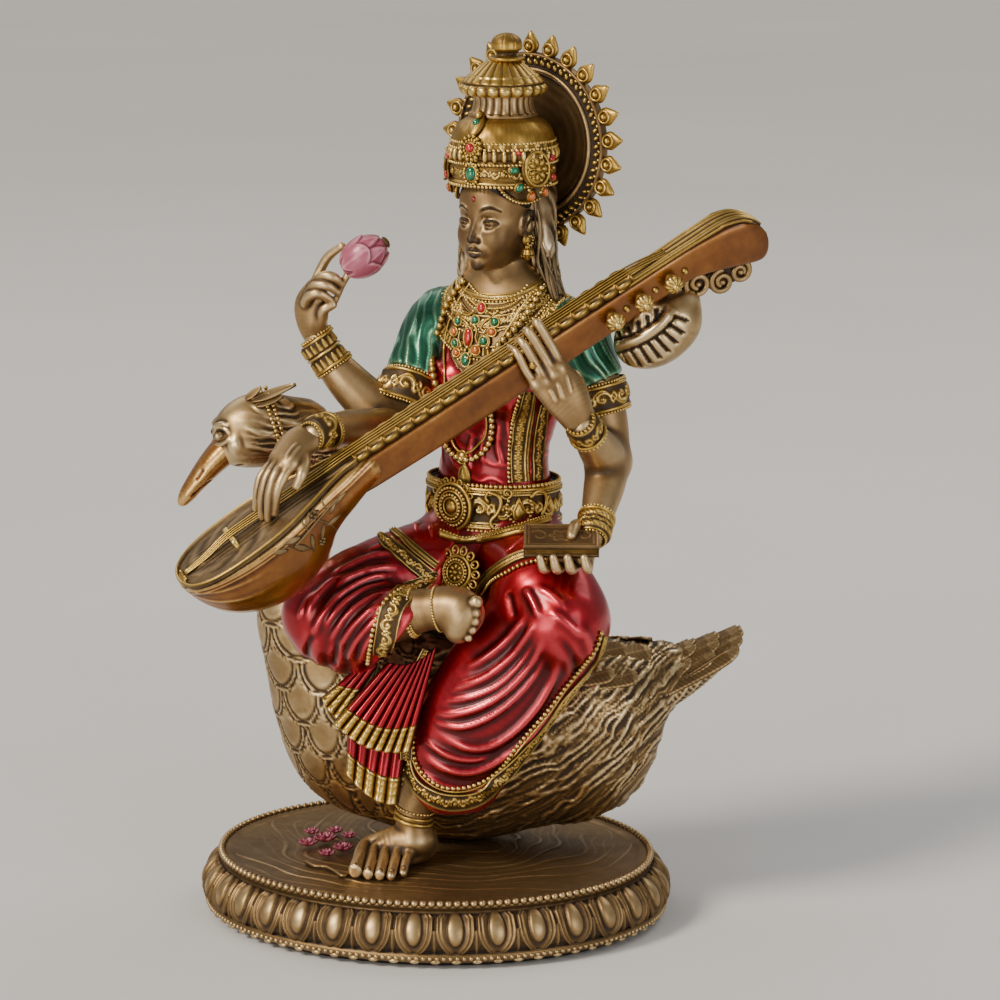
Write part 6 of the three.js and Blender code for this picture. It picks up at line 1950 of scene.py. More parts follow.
def build_head():
    global HEAD_B
    v = Vox((-11.5, -13, 165), (11.5, 15.5, 201), 0.17)
    # skull, face, jaw: calm oval
    v.ell((0, -0.8, 187), (9.5, 10.8, 12.6))
    v.ell((0, 2.6, 180.6), (8.1, 8.0, 10.4), None, 2.0)
    v.ell((0, 5.4, 174.0), (4.6, 4.2, 4.4), None, 3.2)
    for s in (-1, 1):
        v.ell((s * 4.1, 6.5, 178.3), (3.2, 3.1, 3.6), None, 2.6)
    v.ell((0, 5.6, 187.2), (6.6, 4.6, 5.0), None, 3.0)
    v.tube([(0, -1.6, 178), (0, -2.6, 171.5), (0, -3.5, 166.5)], [6.2, 5.5, 5.2], 1.6)
    # eye sockets
    for s in (-1, 1):
        v.ell((s * 3.85, 11.9, 182.3), (3.1, 2.8, 1.75), rotm((0, 1, 0), -0.12 * s), 1.5, "sub")
    # nose
    v.tube([(0, 9.1, 184.6), (0, 10.2, 181.5), (0, 11.7, 178.6)], [1.0, 0.98, 1.15], 1.3, 12)
    v.ell((0, 11.9, 178.0), (1.2, 1.25, 1.05), None, 0.6)
    for s in (-1, 1):
        v.ell((s * 1.28, 10.75, 177.7), (0.82, 1.15, 0.8), None, 0.5)
        v.ell((s * 0.62, 11.4, 177.0), (0.36, 0.5, 0.35), None, 0.2, "sub")
    # eyes: balls under heavy, lowered lids
    for s in (-1, 1):
        v.ell((s * 3.8, 8.35, 182.1), (2.35, 1.75, 1.45), None, 0.25)
        v.tube([(s * 1.95, 9.1, 181.75), (s * 2.8, 9.95, 182.75), (s * 3.9, 10.15, 183.1), (s * 5.0, 9.6, 182.85), (s * 6.1, 8.5, 182.2)], [0.30, 0.40, 0.44, 0.38, 0.24], 0.25, 14)
        v.tube([(s * 2.0, 9.1, 181.65), (s * 3.0, 9.75, 181.0), (s * 4.0, 9.85, 180.85), (s * 5.0, 9.4, 181.15), (s * 5.9, 8.6, 181.85)], [0.20, 0.26, 0.27, 0.24, 0.18], 0.25, 14)
        v.tube([(s * 2.2, 9.7, 183.7), (s * 3.8, 10.5, 184.15), (s * 5.7, 9.2, 183.6)], 0.16, 0.25, 12, op="sub")
        # brow: a fine raised arc
        v.tube([(s * 1.8, 10.35, 185.3), (s * 3.2, 10.55, 186.15), (s * 4.8, 9.85, 186.35), (s * 6.6, 8.1, 185.4)], [0.34, 0.38, 0.34, 0.16], 0.35, 14)
    # mouth
    v.ell((0, 9.35, 174.9), (3.1, 1.6, 2.0), None, 1.2)
    v.tube([(-2.45, 9.75, 174.95), (-1.1, 10.95, 175.35), (-0.4, 11.2, 175.5), (0, 11.15, 175.35), (0.4, 11.2, 175.5), (1.1, 10.95, 175.35), (2.45, 9.75, 174.95)], [0.24, 0.5, 0.55, 0.52, 0.55, 0.5, 0.24], 0.3, 20)
    v.tube([(-1.9, 9.95, 174.3), (-0.9, 10.85, 173.95), (0, 11.05, 173.85), (0.9, 10.85, 173.95), (1.9, 9.95, 174.3)], [0.34, 0.58, 0.66, 0.58, 0.34], 0.3, 16)
    v.tube([(-2.6, 9.7, 174.95), (-1.2, 11.25, 174.66), (0, 11.65, 174.6), (1.2, 11.25, 174.66), (2.6, 9.7, 174.95)], 0.16, 0.2, 16, op="sub")
    v.tube([(0, 11.25, 176.4), (0, 11.5, 175.95)], 0.3, 0.4, 6, op="sub")
    v.ell((0, 9.2, 171.4), (1.9, 1.6, 1.7), None, 1.4)
    # ears
    for s in (-1, 1):
        v.ell((s * 8.6, -0.2, 181.6), (1.3, 2.5, 3.7), rotm((0, 1, 0), -0.22 * s), 0.8)
        v.ell((s * 10.0, 0.4, 181.6), (0.9, 1.35, 2.2), None, 0.5, "sub")
        v.tube([(s * 9.1, 1.9, 181.2), (s * 9.7, 1.9, 183.4), (s * 10.0, 0.2, 185.0), (s * 10.1, -1.7, 184.2), (s * 9.9, -2.3, 181.8), (s * 9.5, -1.2, 179.4), (s * 9.1, 0.2, 178.2)], 0.42, 0.3, 24)
        v.tube([(s * 9.5, 0.9, 180.6), (s * 9.8, -0.4, 182.4), (s * 9.8, -1.0, 183.4)], 0.32, 0.3, 10)
        v.ell((s * 9.0, 0.5, 177.9), (0.75, 1.0, 1.25), None, 0.5)
    m = v.mesh(2)
    m = Msh(m.V @ HBAS.T + HO, m.F)
    H = np.zeros(len(m.V))
    b = m.bvh()
    # engraved iris and pupil
    for s in (-1, 1):
        c = hp_(s * 3.75, 10.1, 181.95)
        idx, d, _ = m.dist(np.array([c, c + 0.01]), 1.6)
        dd = np.abs(d - 0.80)
        H[idx] -= 0.13 * np.exp(-(dd / 0.13) ** 2)
        H[idx] -= 0.20 * np.exp(-(d / 0.30) ** 2)
    m.push(H)
    q = (m.V - HO) @ HBAS
    cav = m.cavity(1.35)
    br = (np.abs(q[:, 2] - (186.35 - 0.05 * (np.abs(q[:, 0]) - 4.4) ** 2)) < 0.55) & (np.abs(q[:, 0]) > 1.6) & (np.abs(q[:, 0]) < 6.6) & (q[:, 1] > 6)
    cav = np.where(br, cav - 0.06, cav)
    for s in (-1, 1):
        c = hp_(s * 3.75, 10.1, 181.95)
        idx, d, _ = m.dist(np.array([c, c + 0.01]), 1.2)
        cav[idx] -= 0.18 * (d < 0.85)
    add("head_face", m, MAT["skin"], ("head",), cav=np.clip(cav, 0, 1))
    HEAD_B = m.bvh()
    r_ = HEAD_B.ray_cast(Vector(hp_(0, 30, 188.4)), Vector(-HF))
    if r_[0] is not None:
        p, n = np.array(r_[0]), np.array(r_[1])
        put("forehead_mark", [dome(p - n * 0.12, n, 0.62, 0.5, ZZ, 1.2, 18, 5)], "gem_red", ())


build_head()


def build_hair():
    rng = np.random.default_rng(11)
    v = Vox((-8, 0, 150), (38, 42, 204), 0.42)
    v.ell((15.4, 19.6, 187), (11.2, 10.8, 12.4))
    v.tube([(16, 23, 186), (17.4, 26.2, 172), (17.4, 27.4, 156.5)], [9.4, 7.8, 5.2], 3, flat=unit(HF), q=0.62)
    v.tube([(23.0, 17.5, 184), (24.6, 17.0, 174), (26.8, 16.0, 165.5)], [3.6, 3.4, 2.6], 3)
    v.tube([(6.6, 18.5, 182), (4.8, 18.4, 174), (3.4, 18.6, 167.5)], [3.4, 3.0, 2.0], 3)
    m = v.mesh(1)
    V = m.V
    q = (V - HO) @ HBAS
    an = np.arctan2(q[:, 0], -q[:, 1] + 6)
    sw = noise(V, 6.0, 21)
    H = 0.42 * np.clip(np.cos(an * 22 + 1.4 * np.sin(V[:, 2] / 3.4 + 3 * sw)), -0.3, 1)
    # finer strands running down the fall, where the angle round the skull no longer parts them
    fall = np.clip((184 - V[:, 2]) / 6, 0, 1)
    lat = V @ HL + 0.5 * (V @ HF)
    H += fall * 0.38 * np.clip(np.cos(2 * math.pi * (lat / 1.5 + 0.35 * np.sin(V[:, 2] / 3.1 + 2 * sw) + 0.8 * sw)), -0.2, 1)
    m.push(H)
    add("hair_mass", m, MAT["hair"], ("hair",), cavscale=1.1)
    HB = m.bvh()
    strands = []

    def lockstrand(P, r, wav, ph, amp, nn):
        P = spline(np.array(P), 40)
        t = np.linspace(0, 1, 40)
        T = unit(np.gradient(P, axis=0))
        S = unit(np.cross(T, nn))
        P = P + S * (amp * np.sin(t * wav + ph) * (0.3 + 0.7 * t))[:, None] + np.asarray(nn) * (0.5 * amp * np.cos(t * wav + ph))[:, None]
        rr = r * (0.75 + 0.45 * np.sin(math.pi * np.clip(t, 0.02, 0.98))) * np.clip((1.02 - t) * 5, 0.12, 1)
        strands.append(cord_mesh(P, np.tile(nn, (40, 1)), rr if np.ndim(r) == 0 and False else r, 6))
    # long locks at each side of the neck and down the back
    for s in (1, -1):
        n_ = 16 if s > 0 else 10
        for k in range(n_):
            u = k / (n_ - 1) - 0.5
            a0 = s * (8.6 + 0.9 * rng.random()) if s > 0 else s * (8.2 + 0.8 * rng.random())
            top = hp_(a0, -1.5 - 5.5 * (u + 0.5), 188.5 + rng.random() * 2)
            mid = hp_(s * (9.2 + 1.6 * rng.random()), -3.0 - 5.4 * (u + 0.5), 179.5)
            low = hp_(s * (9.6 + 2.2 * rng.random() + (1.0 if s > 0 else 0)), -3.2 - 4.6 * (u + 0.5), 171.5)
            end = hp_(s * (11.6 + 2.6 * rng.random() + (2.2 if s > 0 else 0)), -3.0 - 4.4 * (u + 0.5), (161.5 if s > 0 else 166.0) + 2.5 * rng.random())
            lockstrand([top, mid, low, end], 0.62, 11 + 2 * rng.random(), rng.random() * 6, 0.55, HL * s)
    for k in range(20):
        a0 = -8 + 16 * k / 19
        top = hp_(a0 * 1.05, -11.0 + 0.06 * a0 * a0, 191)
        r1 = HB.ray_cast(Vector(hp_(a0 * 1.0, -40, 178)), Vector(HF))
        r2 = HB.ray_cast(Vector(hp_(a0 * 0.8, -40, 168)), Vector(HF))
        r3 = HB.ray_cast(Vector(hp_(a0 * 0.55, -40, 158.5)), Vector(HF))
        if None in (r1[0], r2[0], r3[0]):
            continue
        lockstrand([top] + [np.array(r[0]) - HF * 0.2 for r in (r1, r2, r3)], 0.66, 10 + 2 * rng.random(), rng.random() * 6, 0.5, -HF)
    # hair showing under the crown at the temples, swept back over the ears
    for s in (-1, 1):
        for k in range(9):
            u = k / 8
            z0 = 191.0 - 0.5 * k
            P = [hp_(s * (3.2 + 3.4 * u), 9.6 - 2.8 * u, 191.6 - 1.1 * u), hp_(s * (6.6 + 1.5 * u), 7.2 - 3.4 * u, 189.2 - 1.2 * u), hp_(s * (8.9 + 0.7 * u), 3.0 - 2.6 * u, 187.2 - 1.3 * u), hp_(s * (9.9 + 0.3 * u), -1.6 - 1.8 * u, 187.4 - 0.5 * u), hp_(s * 9.6, -5.5 - u, 184.5)]
            P2, N2 = [], []
            for p in spline(np.array(P), 26):
                o = HEAD_B.find_nearest(Vector(p))
                n = np.array(o[1])
                d = np.array(p) - np.array(o[0])
                P2.append(np.array(o[0]) + n * (0.35 + 0.04 * math.sin(len(P2) * 0.9 + k)))
                N2.append(n)
            strands.append(cord_mesh(np.array(P2), np.array(N2), 0.50, 6))
    put("hair_strands", strands, "hair", ())


build_hair()


# ---------------------------------------------------------------- crown
def build_crown():
    c = np.array([14.2, 15.2, 192.2])
    B = HBAS
    parts = []
    pr = [(10.2, -0.6), (12.6, -0.6), (13.4, -0.3), (13.6, 0.3), (13.3, 0.7), (13.2, 1.1), (13.3, 4.3), (13.5, 4.7), (13.9, 5.1), (13.6, 5.6), (13.5, 6.0), (14.0, 6.6), (14.1, 7.6), (13.8, 8.3), (13.6, 8.8), (13.5, 9.2), (13.4, 10.6), (12.9, 12.4), (12.0, 14.0), (10.6, 15.4), (9.2, 16.2), (8.6, 16.6), (8.5, 17.0)]
    p2 = spline(np.array([(a, b, 0) for a, b in pr]), 190)[:, :2]

    def rel(an, r, z):
        zz = z - 0.0
        h = 0 * an
        # engraved band: diagonal scroll work
        m1 = (zz > 1.3) & (zz < 4.1)
        u = an * 13.3
        h = h + m1 * (0.34 * pat("scroll", u, (zz - 2.7) / 1.4, 1.4) + 0.12)
        # pellet row and petal row above it
        m2 = (zz > 5.9) & (zz < 8.6)
        h = h + m2 * 0.55 * np.clip(np.cos(an * 34), -0.2, 1)
        m3 = (zz > 9.0) & (zz < 10.4)
        h = h + m3 * 0.22 * np.clip(np.cos(an * 26), 0, 1)
        m4 = zz > 10.6
        h = h + m4 * 0.16 * noise(np.stack([r * np.cos(an), r * np.sin(an), zz], -1).reshape(-1, 3), 2.5, 51).reshape(an.shape)
        return h
    m = lathe(p2, c, B, 420, rel)
    cav = m.cavity(1.0)
    q = (m.V - c) @ B
    an = np.arctan2(q[:, 1], q[:, 0])
    z = q[:, 2]
    r = np.hypot(q[:, 0], q[:, 1])
    cc = np.full(len(m.V), 0.50)
    # raised scroll, pellets and petals lighter, their ground darker: patina plus painted shade
    m1 = (z > 1.3) & (z < 4.1)
    cc = np.where(m1, 0.20 + 0.60 * pat("scroll", an * 13.3, (z - 2.7) / 1.4, 1.4), cc)
    m2 = (z > 5.9) & (z < 8.6)
    cc = np.where(m2, 0.16 + 0.62 * np.clip(np.cos(an * 34), 0, 1) ** 0.7, cc)
    m3 = (z > 9.0) & (z < 10.4)
    cc = np.where(m3, 0.22 + 0.5 * np.clip(np.cos(an * 26), 0, 1), cc)
    # painted shade in the grooves between the rows, painted highlight along the lower rim and the upper pearl edge
    for z0 in (0.9, 4.45, 5.8, 8.75):
        cc -= 0.30 * np.exp(-((z - z0) / 0.25) ** 2)
    for z0 in (0.3, 5.1):
        cc += 0.18 * np.exp(-((z - z0) / 0.3) ** 2)
    dm = np.clip((z - 10.7) / 0.4, 0, 1)
    cc = cc - dm * (0.15 - 0.05 * np.cos(an * 23 + 2.0 * np.sin(z)) - 0.05 * np.cos(an * 61))
    m.extra["_c"] = np.clip(0.6 * cc + 0.4 * cav + 0.03, 0, 1)
    put("crown_band", [m], "gold", ("crown",))
    # pearls along the lower rim, the band edges and the dome
    parts = []
    for r0, z0, rb, pit in ((13.5, -0.5, 0.48, 1.05), (13.75, 5.15, 0.42, 0.95), (13.5, 9.0, 0.50, 1.15), (13.2, 10.5, 0.42, 1.0)):
        n = int(2 * math.pi * r0 / pit)
        a = np.arange(n) * 2 * math.pi / n
        P = np.array([c + B @ np.array([r0 * math.cos(t), r0 * math.sin(t), z0]) for t in a])
        N = np.array([B @ np.array([math.cos(t), math.sin(t), 0]) for t in a])
        parts.append(beads(P, N, rb, 2, 0.2))
    put("crown_pearls", parts, "gold", ())

    # fluted drum
    pr = [(8.5, 16.2), (9.0, 16.6), (8.9, 17.2), (8.3, 17.5), (8.0, 18.0), (7.7, 19.0), (7.5, 20.4), (7.6, 21.6), (7.9, 22.2), (8.4, 22.5), (8.5, 22.8), (6.0, 23.2)]
    p2 = spline(np.array([(a, b, 0) for a, b in pr]), 80)[:, :2]
    m = lathe(p2, c, B, 300, lambda an, r, z: 0.55 * (np.abs(np.cos(an * 11)) ** 0.5 - 0.6) * (z > 17.3) * (z < 22.3))
    q = (m.V - c) @ B
    an = np.arctan2(q[:, 1], q[:, 0])
    # flute ridges lighter, flute hollows darker: patina plus painted shade
    fl = np.abs(np.cos(an * 11)) ** 0.6
    mid = (q[:, 2] > 17.3) & (q[:, 2] < 22.3)
    m.extra["_c"] = np.where(mid, 0.12 + 0.62 * fl, 0.55)
    put("crown_drum", [m], "bronze", ())

    # scalloped umbrella tier
    pr = [(5.5, 21.9), (8.6, 22.0), (10.2, 22.4), (10.9, 23.0), (11.1, 23.8), (10.7, 24.4), (10.3, 24.9), (10.4, 25.4), (9.6, 26.3), (8.0, 27.7), (6.2, 29.2), (4.6, 30.4), (3.6, 31.2), (3.4, 31.6), (0.2, 31.8)]
    p2 = spline(np.array([(a, b, 0) for a, b in pr]), 130)[:, :2]
    p2[:, 0] = np.maximum(p2[:, 0], 0.05)

    def rel2(an, r, z):
        k = np.abs(np.cos(an * 10.5))
        h = (z < 24.7) * (z > 22.2) * 0.75 * (k ** 0.5 - 0.55)
        h = h + (z > 25.2) * (z < 30.6) * 0.32 * (np.abs(np.cos(an * 10.5 + 0.8)) ** 0.5 - 0.6)
        h = h + 0.22 * np.exp(-((z - 26.9) / 0.25) ** 2)
        return h
    m = lathe(p2, c, B, 300, rel2)
    q = (m.V - c) @ B
    an = np.arctan2(q[:, 1], q[:, 0])
    z = q[:, 2]
    # scallop ridges lighter, hollows darker (patina plus painted shade), a painted highlight ring at z 26.9
    k1 = np.abs(np.cos(an * 10.5))
    k2 = np.abs(np.cos(an * 10.5 + 0.8))
    m.extra["_c"] = np.clip(np.where(z < 24.75, 0.10 + 0.72 * k1 ** 0.6, np.where(z > 25.2, 0.16 + 0.48 * k2 ** 0.6, 0.2)) + 0.2 * np.exp(-((z - 26.9) / 0.3) ** 2), 0, 1)
    put("crown_umbrella", [m], "gold", ())

    # neck, ring and domed cap of the finial
    pr = [(3.2, 31.0), (4.4, 31.3), (4.7, 31.8), (4.4, 32.2), (3.0, 32.5), (2.6, 33.0), (2.7, 33.4), (3.3, 33.8), (3.9, 34.2), (4.0, 35.0), (3.9, 36.2), (3.2, 37.3), (2.0, 38.0), (0.9, 38.3), (0.05, 38.4)]
    p2 = spline(np.array([(a, b, 0) for a, b in pr]), 90)[:, :2]
    p2[:, 0] = np.maximum(p2[:, 0], 0.03)
    m = lathe(p2, c + HL * 0.9 + HF * -0.2 - ZZ * 0.5, B, 96, lambda an, r, z: -0.16 * (z > 34.3) * (np.abs(np.cos(an * 4)) < 0.16))
    q = (m.V - c) @ B
    # darker at the neck groove: painted shade
    m.extra["_c"] = np.clip(0.48 + 0.12 * np.cos((q[:, 2] - 31) * 1.8) - 0.2 * np.exp(-((q[:, 2] - 32.4) / 0.5) ** 2), 0, 1)
    put("crown_finial_cap", [m], "gold", ("crown_finial",))

    # front ornaments: oval green stone, red-centred flower, small green stone on a leaf
    gold, red, green, orange = [], [], [], []

    def on_crown(a, z, out=0.0):
        """point and outward normal at crown angle a (0 = front, + towards the figure's left)"""
        rz_ = np.interp(z, [-0.5, 5, 7, 9, 10.5, 12.4, 14, 15.4, 16.2, 18, 20, 22], [13.4, 13.7, 14.0, 13.6, 13.4, 12.9, 12.0, 10.6, 9.2, 8.1, 7.6, 7.9])
        d = HF * math.cos(a) + HL * math.sin(a)
        up = -np.interp(z, [9, 16], [0, -0.9])
        return c + d * (rz_ + out) + ZZ * z, unit(d + ZZ * np.interp(z, [8, 12, 16], [0, 0.4, 1.0]))
    p, n = on_crown(0.0, 2.8)
    gold.append(dome(p - n * 0.2, n, 2.25, 0.95, ZZ, 1.28, 30, 5))
    a = np.arange(16) * math.pi / 8
    U = np.cross(ZZ, n)
    gold.append(beads(np.array([p + U * 2.15 * math.cos(t) + ZZ * 2.8 * math.sin(t) for t in a]), np.tile(n, (16, 1)), 0.42, 1, 0.0))
    green.append(dome(p + n * 0.45, n, 1.45, 1.15, ZZ, 1.3, 26, 7))
    p, n = on_crown(0.0, 9.4, 0.3)
    W = unit(ZZ - (ZZ @ n) * n)
    U = np.cross(W, n)
    gold.append(dome(p - n * 0.3, n, 3.1, 1.0, W, 1, 30, 5))
    for k in range(14):
        t = k * 2 * math.pi / 14
        d = U * math.cos(t) + W * math.sin(t)
        gold.append(dome(p + d * 3.0 + n * 0.1, n, 0.62, 0.8, d, 1.15, 12, 4))
        gold.append(dome(p + d * 1.95 + n * 0.55, n, 0.42, 0.45, d, 1.2, 10, 4))
    red.append(dome(p + n * 0.7, n, 1.25, 1.05, W, 1, 24, 7))
    p, n = on_crown(0.0, 15.6, 1.4)
    W = unit(ZZ - 0.35 * HF)
    gold.append(dome(p - n * 0.6, n, 2.2, 1.0, W, 1.5, 24, 5, "drop"))
    gold.append(dome(p - n * 0.4 + W * 2.4, n, 1.1, 0.8, W, 1.3, 16, 5))
    green.append(dome(p + n * 0.3, n, 1.0, 0.8, W, 1, 20, 6))
    # side rosettes
    for s in (1, -1):
        a0 = s * 1.27
        d = HF * math.cos(a0) + HL * math.sin(a0)
        p = c + d * 14.0 + ZZ * 4.0
        n = unit(d + 0.08 * ZZ)
        W = unit(ZZ - (ZZ @ n) * n)
        U = np.cross(W, n)
        gold.append(dome(p - n * 0.5, n, 4.4, 1.4, W, 1.15, 40, 6))
        P = np.array([p + n * 0.55 + (U * math.cos(t) * 3.7 + W * math.sin(t) * 4.3) for t in np.linspace(0, 2 * math.pi, 60, endpoint=False)])
        gold.append(cord_mesh(P, np.tile(n, (60, 1)), 0.45, 7, None, 1.0, True))
        for k in range(7):
            t = k * 2 * math.pi / 7
            dd = U * math.cos(t) + W * math.sin(t)
            gold.append(dome(p + dd * 2.0 + n * 0.75, n, 0.75, 0.7, dd, 1.5, 14, 5))
            t2 = t + math.pi / 7
            d2 = U * math.cos(t2) + W * math.sin(t2)
            gold.append(beads(np.array([p + d2 * 2.9 + n * 0.8]), np.array([n]), 0.38, 1, 0.0))
        gold.append(dome(p + n * 0.8, n, 0.9, 0.85, W, 1, 16, 5))
        for k in range(9):
            t = math.radians(90 + 40 * k + 10)
            dd = U * math.cos(t) + W * math.sin(t) * 1.12
            q = p + dd * 6.3 - n * (0.9 + 0.5 * max(0, math.sin(t)))
            nn = unit(n + 0.35 * dd)
            gold.append(dome(q - nn * 0.5, nn, 1.35, 0.75, dd, 1.3, 16, 4))
            (green, red, orange)[k % 3 if k % 2 else (k + 1) % 3].append(dome(q + nn * 0.05, nn, 0.98, 0.85, dd, 1.35, 16, 5))
            gold.append(beads(np.array([p + (U * math.cos(t + 0.35) + W * math.sin(t + 0.35) * 1.12) * 5.4 - n * 0.3]), np.array([n]), 0.5, 1, 0.0))
        # beaded strand looping from the band to behind the ear
        L = [hp_(s * 6.0, 8.6, 192.2), hp_(s * 7.5, 7.4, 189.8), hp_(s * 9.1, 4.9, 188.0), hp_(s * 10.4, 1.6, 187.6), hp_(s * 11.2, -1.6, 188.4)]
        P = spline(np.array(L), 30)
        N = np.array([unit((x - hp_(0, 0, x[2]))) for x in P])
        gold.append(cord_mesh(P, N, 0.42, 6))
        gold.append(bead_line(P + N * 0.35 - ZZ * 0.3, N, 0.46, 0.95, False, 1))
        # small drop stones at the band edge near the temple
        gold.append(dome(c + (HF * math.cos(s * 0.62) + HL * math.sin(s * 0.62)) * 13.6 + ZZ * 2.8, unit(HF * math.cos(s * 0.62) + HL * math.sin(s * 0.62)), 0.8, 0.7, ZZ, 1.2, 14, 4))
    put("crown_ornaments", gold, "gold", ())
    put("crown_stones_red", red, "gem_red", ())
    put("crown_stones_green", green, "gem_green", ())
    put("crown_stones_orange", orange, "gem_orange", ())
    # earrings
    er = []
    for s in (-1, 1):
        p = hp_(s * 9.8, 0.7, 177.4)
        er.append(dome(p - HL * s * 0.4, unit(HL * s + HF * 0.5), 1.25, 0.9, ZZ, 1, 20, 5))
        er.append(beads(np.array([p + HL * s * 0.6 + HF * 0.2 + unit(HF * math.cos(t) + ZZ * math.sin(t)) * 1.25 for t in np.linspace(0, 2 * math.pi, 10, endpoint=False)]), np.tile(HL * s, (10, 1)), 0.32, 1, 0))
        q = p - ZZ * 2.6
        pr = [(0.05, 1.3), (0.5, 1.2), (0.6, 0.7), (1.3, 0.2), (1.6, -0.5), (1.7, -1.0), (1.2, -1.2), (0.9, -1.6), (0.5, -2.2), (0.05, -2.5)]
        p2 = spline(np.array([(x, y, 0) for x, y in pr]), 40)[:, :2]
        p2[:, 0] = np.maximum(p2[:, 0], 0.03)
        er.append(lathe(p2[::-1], q, HBAS, 36, lambda an, r, z: 0.12 * np.cos(an * 8)))
        er[-1].extra["_c"] = np.full(len(er[-1].V), 0.55)
        er.append(beads(np.array([q + (HF * math.cos(t) + HL * math.sin(t)) * 1.6 - ZZ * 1.0 for t in np.linspace(0, 2 * math.pi, 10, endpoint=False)]), np.tile(-ZZ, (10, 1)), 0.32, 1, 0))
    put("earrings", er, "gold", ())


build_crown()


# ---------------------------------------------------------------- halo
def build_halo():
    c = np.array([17.9, 30.4, 200.6])
    B = np.stack([HL, ZZ, HF], 1)
    # front and back faces of a shallow dish
    pr = [(0.05, 0.15), (6, 0.1), (12, 0.25), (16, 0.65), (18.0, 1.15), (18.3, 1.9), (18.9, 2.2), (19.5, 1.9), (19.7, 1.5), (20.1, 1.4), (21.9, 1.4), (22.2, 1.6), (22.5, 2.0), (23.0, 2.0), (23.3, 1.5), (23.3, -0.4), (22.6, -0.9), (18, -1.1), (10, -1.5), (0.05, -1.6)]
    p2 = spline(np.array([(a, b, 0) for a, b in pr]), 260)[:, :2]
    p2[:, 0] = np.maximum(p2[:, 0], 0.03)
    m = lathe(p2[::-1], c, B, 340, lambda an, r, z: ((z > -0.3) * (r > 20.0) * (r < 22.1) * 0.0 + (z < -0.6) * (r > 4) * (r < 20) * 0.25 * np.cos(an * 24) + (z > -0.2) * (r < 17) * 0.06 * np.cos(r * 2.2)))
    q = (m.V - c) @ B
    r = np.hypot(q[:, 0], q[:, 1])
    an = np.arctan2(q[:, 1], q[:, 0])
    nz = noise(q, 4.5, 61)
    front = q[:, 2] > -0.3
    cc = np.where(front, 0.43 + 0.07 * nz + 0.03 * np.cos(r * 2.2), 0.42 + 0.12 * np.cos(an * 24))
    # painted shade in the grooves either side of the raised ring, painted highlight on the ring
    cc = np.where(front & (r > 17.4) & (r < 18.1), 0.12, cc)
    cc = np.where(front & (r > 19.6) & (r < 22.3), 0.12, cc)
    cc = np.where(front & (r > 18.3) & (r < 19.5), 0.66, cc)
    m.extra["_c"] = np.clip(cc, 0, 1)
    put("halo_dish", [m], "bronze", ("halo",))
    # rope band: slanted lozenge beads
    parts = []
    n = 64
    for k in range(n):
        t = k * 2 * math.pi / n
        d = HL * math.cos(t) + ZZ * math.sin(t)
        tg = -HL * math.sin(t) + ZZ * math.cos(t)
        p = c + d * 21.1 + HF * 1.35
        parts.append(dome(p - HF * 0.3, HF, 0.66, 1.1, unit(d + 0.55 * tg), 1.75, 14, 5))
        parts.append(beads(np.array([c + (HL * math.cos(t + math.pi / n) + ZZ * math.sin(t + math.pi / n)) * 22.5 + HF * 1.75]), np.array([HF]), 0.42, 1, 0))
    put("halo_rope", parts, "gold", ())
    # ring of pointed buds, each a socket holding a bead
    parts = []
    n = 25
    for k in range(n):
        t = k * 2 * math.pi / n + 0.07
        d = HL * math.cos(t) + ZZ * math.sin(t)
        if t % (2 * math.pi) > math.radians(232) and t % (2 * math.pi) < math.radians(308):
            pass
        tg = np.cross(HF, d)
        o = c + d * 25.1 + HF * 0.55
        # teardrop body
        nr, ns = 12, 22
        V, cc = [], []
        for i in range(nr + 1):
            u = i / nr
            for j in range(ns):
                a = j * 2 * math.pi / ns
                x, y = math.cos(a), math.sin(a)
                k_ = 1 + 0.0
                ex = 2.5 * x
                ey = 2.35 * y if y < 0 else 2.35 * y + 1.5 * y ** 3
                if y > 0:
                    ex *= (1 - 0.42 * y ** 2)
                ph = (u - 0.5) * math.pi
                rr = math.cos(ph)
                hh = math.sin(ph) * 1.15
                V.append(o + tg * ex * rr + d * ey * rr + HF * hh)
                # lighter towards the tip and round the bulging sides, darker on the front round the socket: painted
                # highlight and painted shade
                cc.append(0.42 + 0.14 * y + 0.1 * rr * (hh < 0.6) - 0.22 * (hh > 0.9) * (rr > 0.3))
        V = np.array(V)
        idx = np.arange((nr + 1) * ns).reshape(nr + 1, ns)
        F = np.stack([idx[:-1], np.roll(idx[:-1], -1, 1), np.roll(idx[1:], -1, 1), idx[1:]], 2).reshape(-1, 4)
        mm = Msh(V, F)
        if mm.volume() < 0:
            mm.F = mm.F[:, ::-1].copy()
        mm.extra["_c"] = np.array(cc)
        parts.append(mm)
        a = np.arange(26) * 2 * math.pi / 26
        q = o - d * 0.25 + HF * 1.05
        ring = np.array([q + tg * 1.55 * math.cos(t_) + d * 1.55 * math.sin(t_) for t_ in a])
        parts.append(cord_mesh(ring, np.tile(HF, (26, 1)), 0.40, 7, None, 1.0, True))
        # dark disc behind the bead: painted shade in the socket
        dk = dome(q - HF * 0.25, HF, 1.4, 0.25, d, 1, 16, 3)
        dk.extra["_c"] = np.full(len(dk.V), 0.10)
        parts.append(dk)
        parts.append(dome(q - HF * 0.1, HF, 0.98, 1.15, d, 1, 16, 6))
        # collar joining the bud to the rim
        parts.append(dome(c + d * 23.2 + HF * 0.3, unit(d + 0.2 * HF), 1.15, 0.7, HF, 0.9, 14, 4))
    put("halo_buds", parts, "gold", ())


build_halo()
# ---------------------------------------------------------------- veena
TILT = math.radians(3.6)
BA = VA * math.cos(TILT) + VN * math.sin(TILT)
BN = VN * math.cos(TILT) - VA * math.sin(TILT)
BO = vp(26, 0, 0) - BA * 26
BB = np.stack([BA, VY, BN], 1)


def bp(x, y, z):
    return BO + BA * x + VY * y + BN * z


def local_mesh(v, B, o, smooth=1):
    m = v.mesh(smooth)
    return Msh(m.V @ B.T + o, m.F)


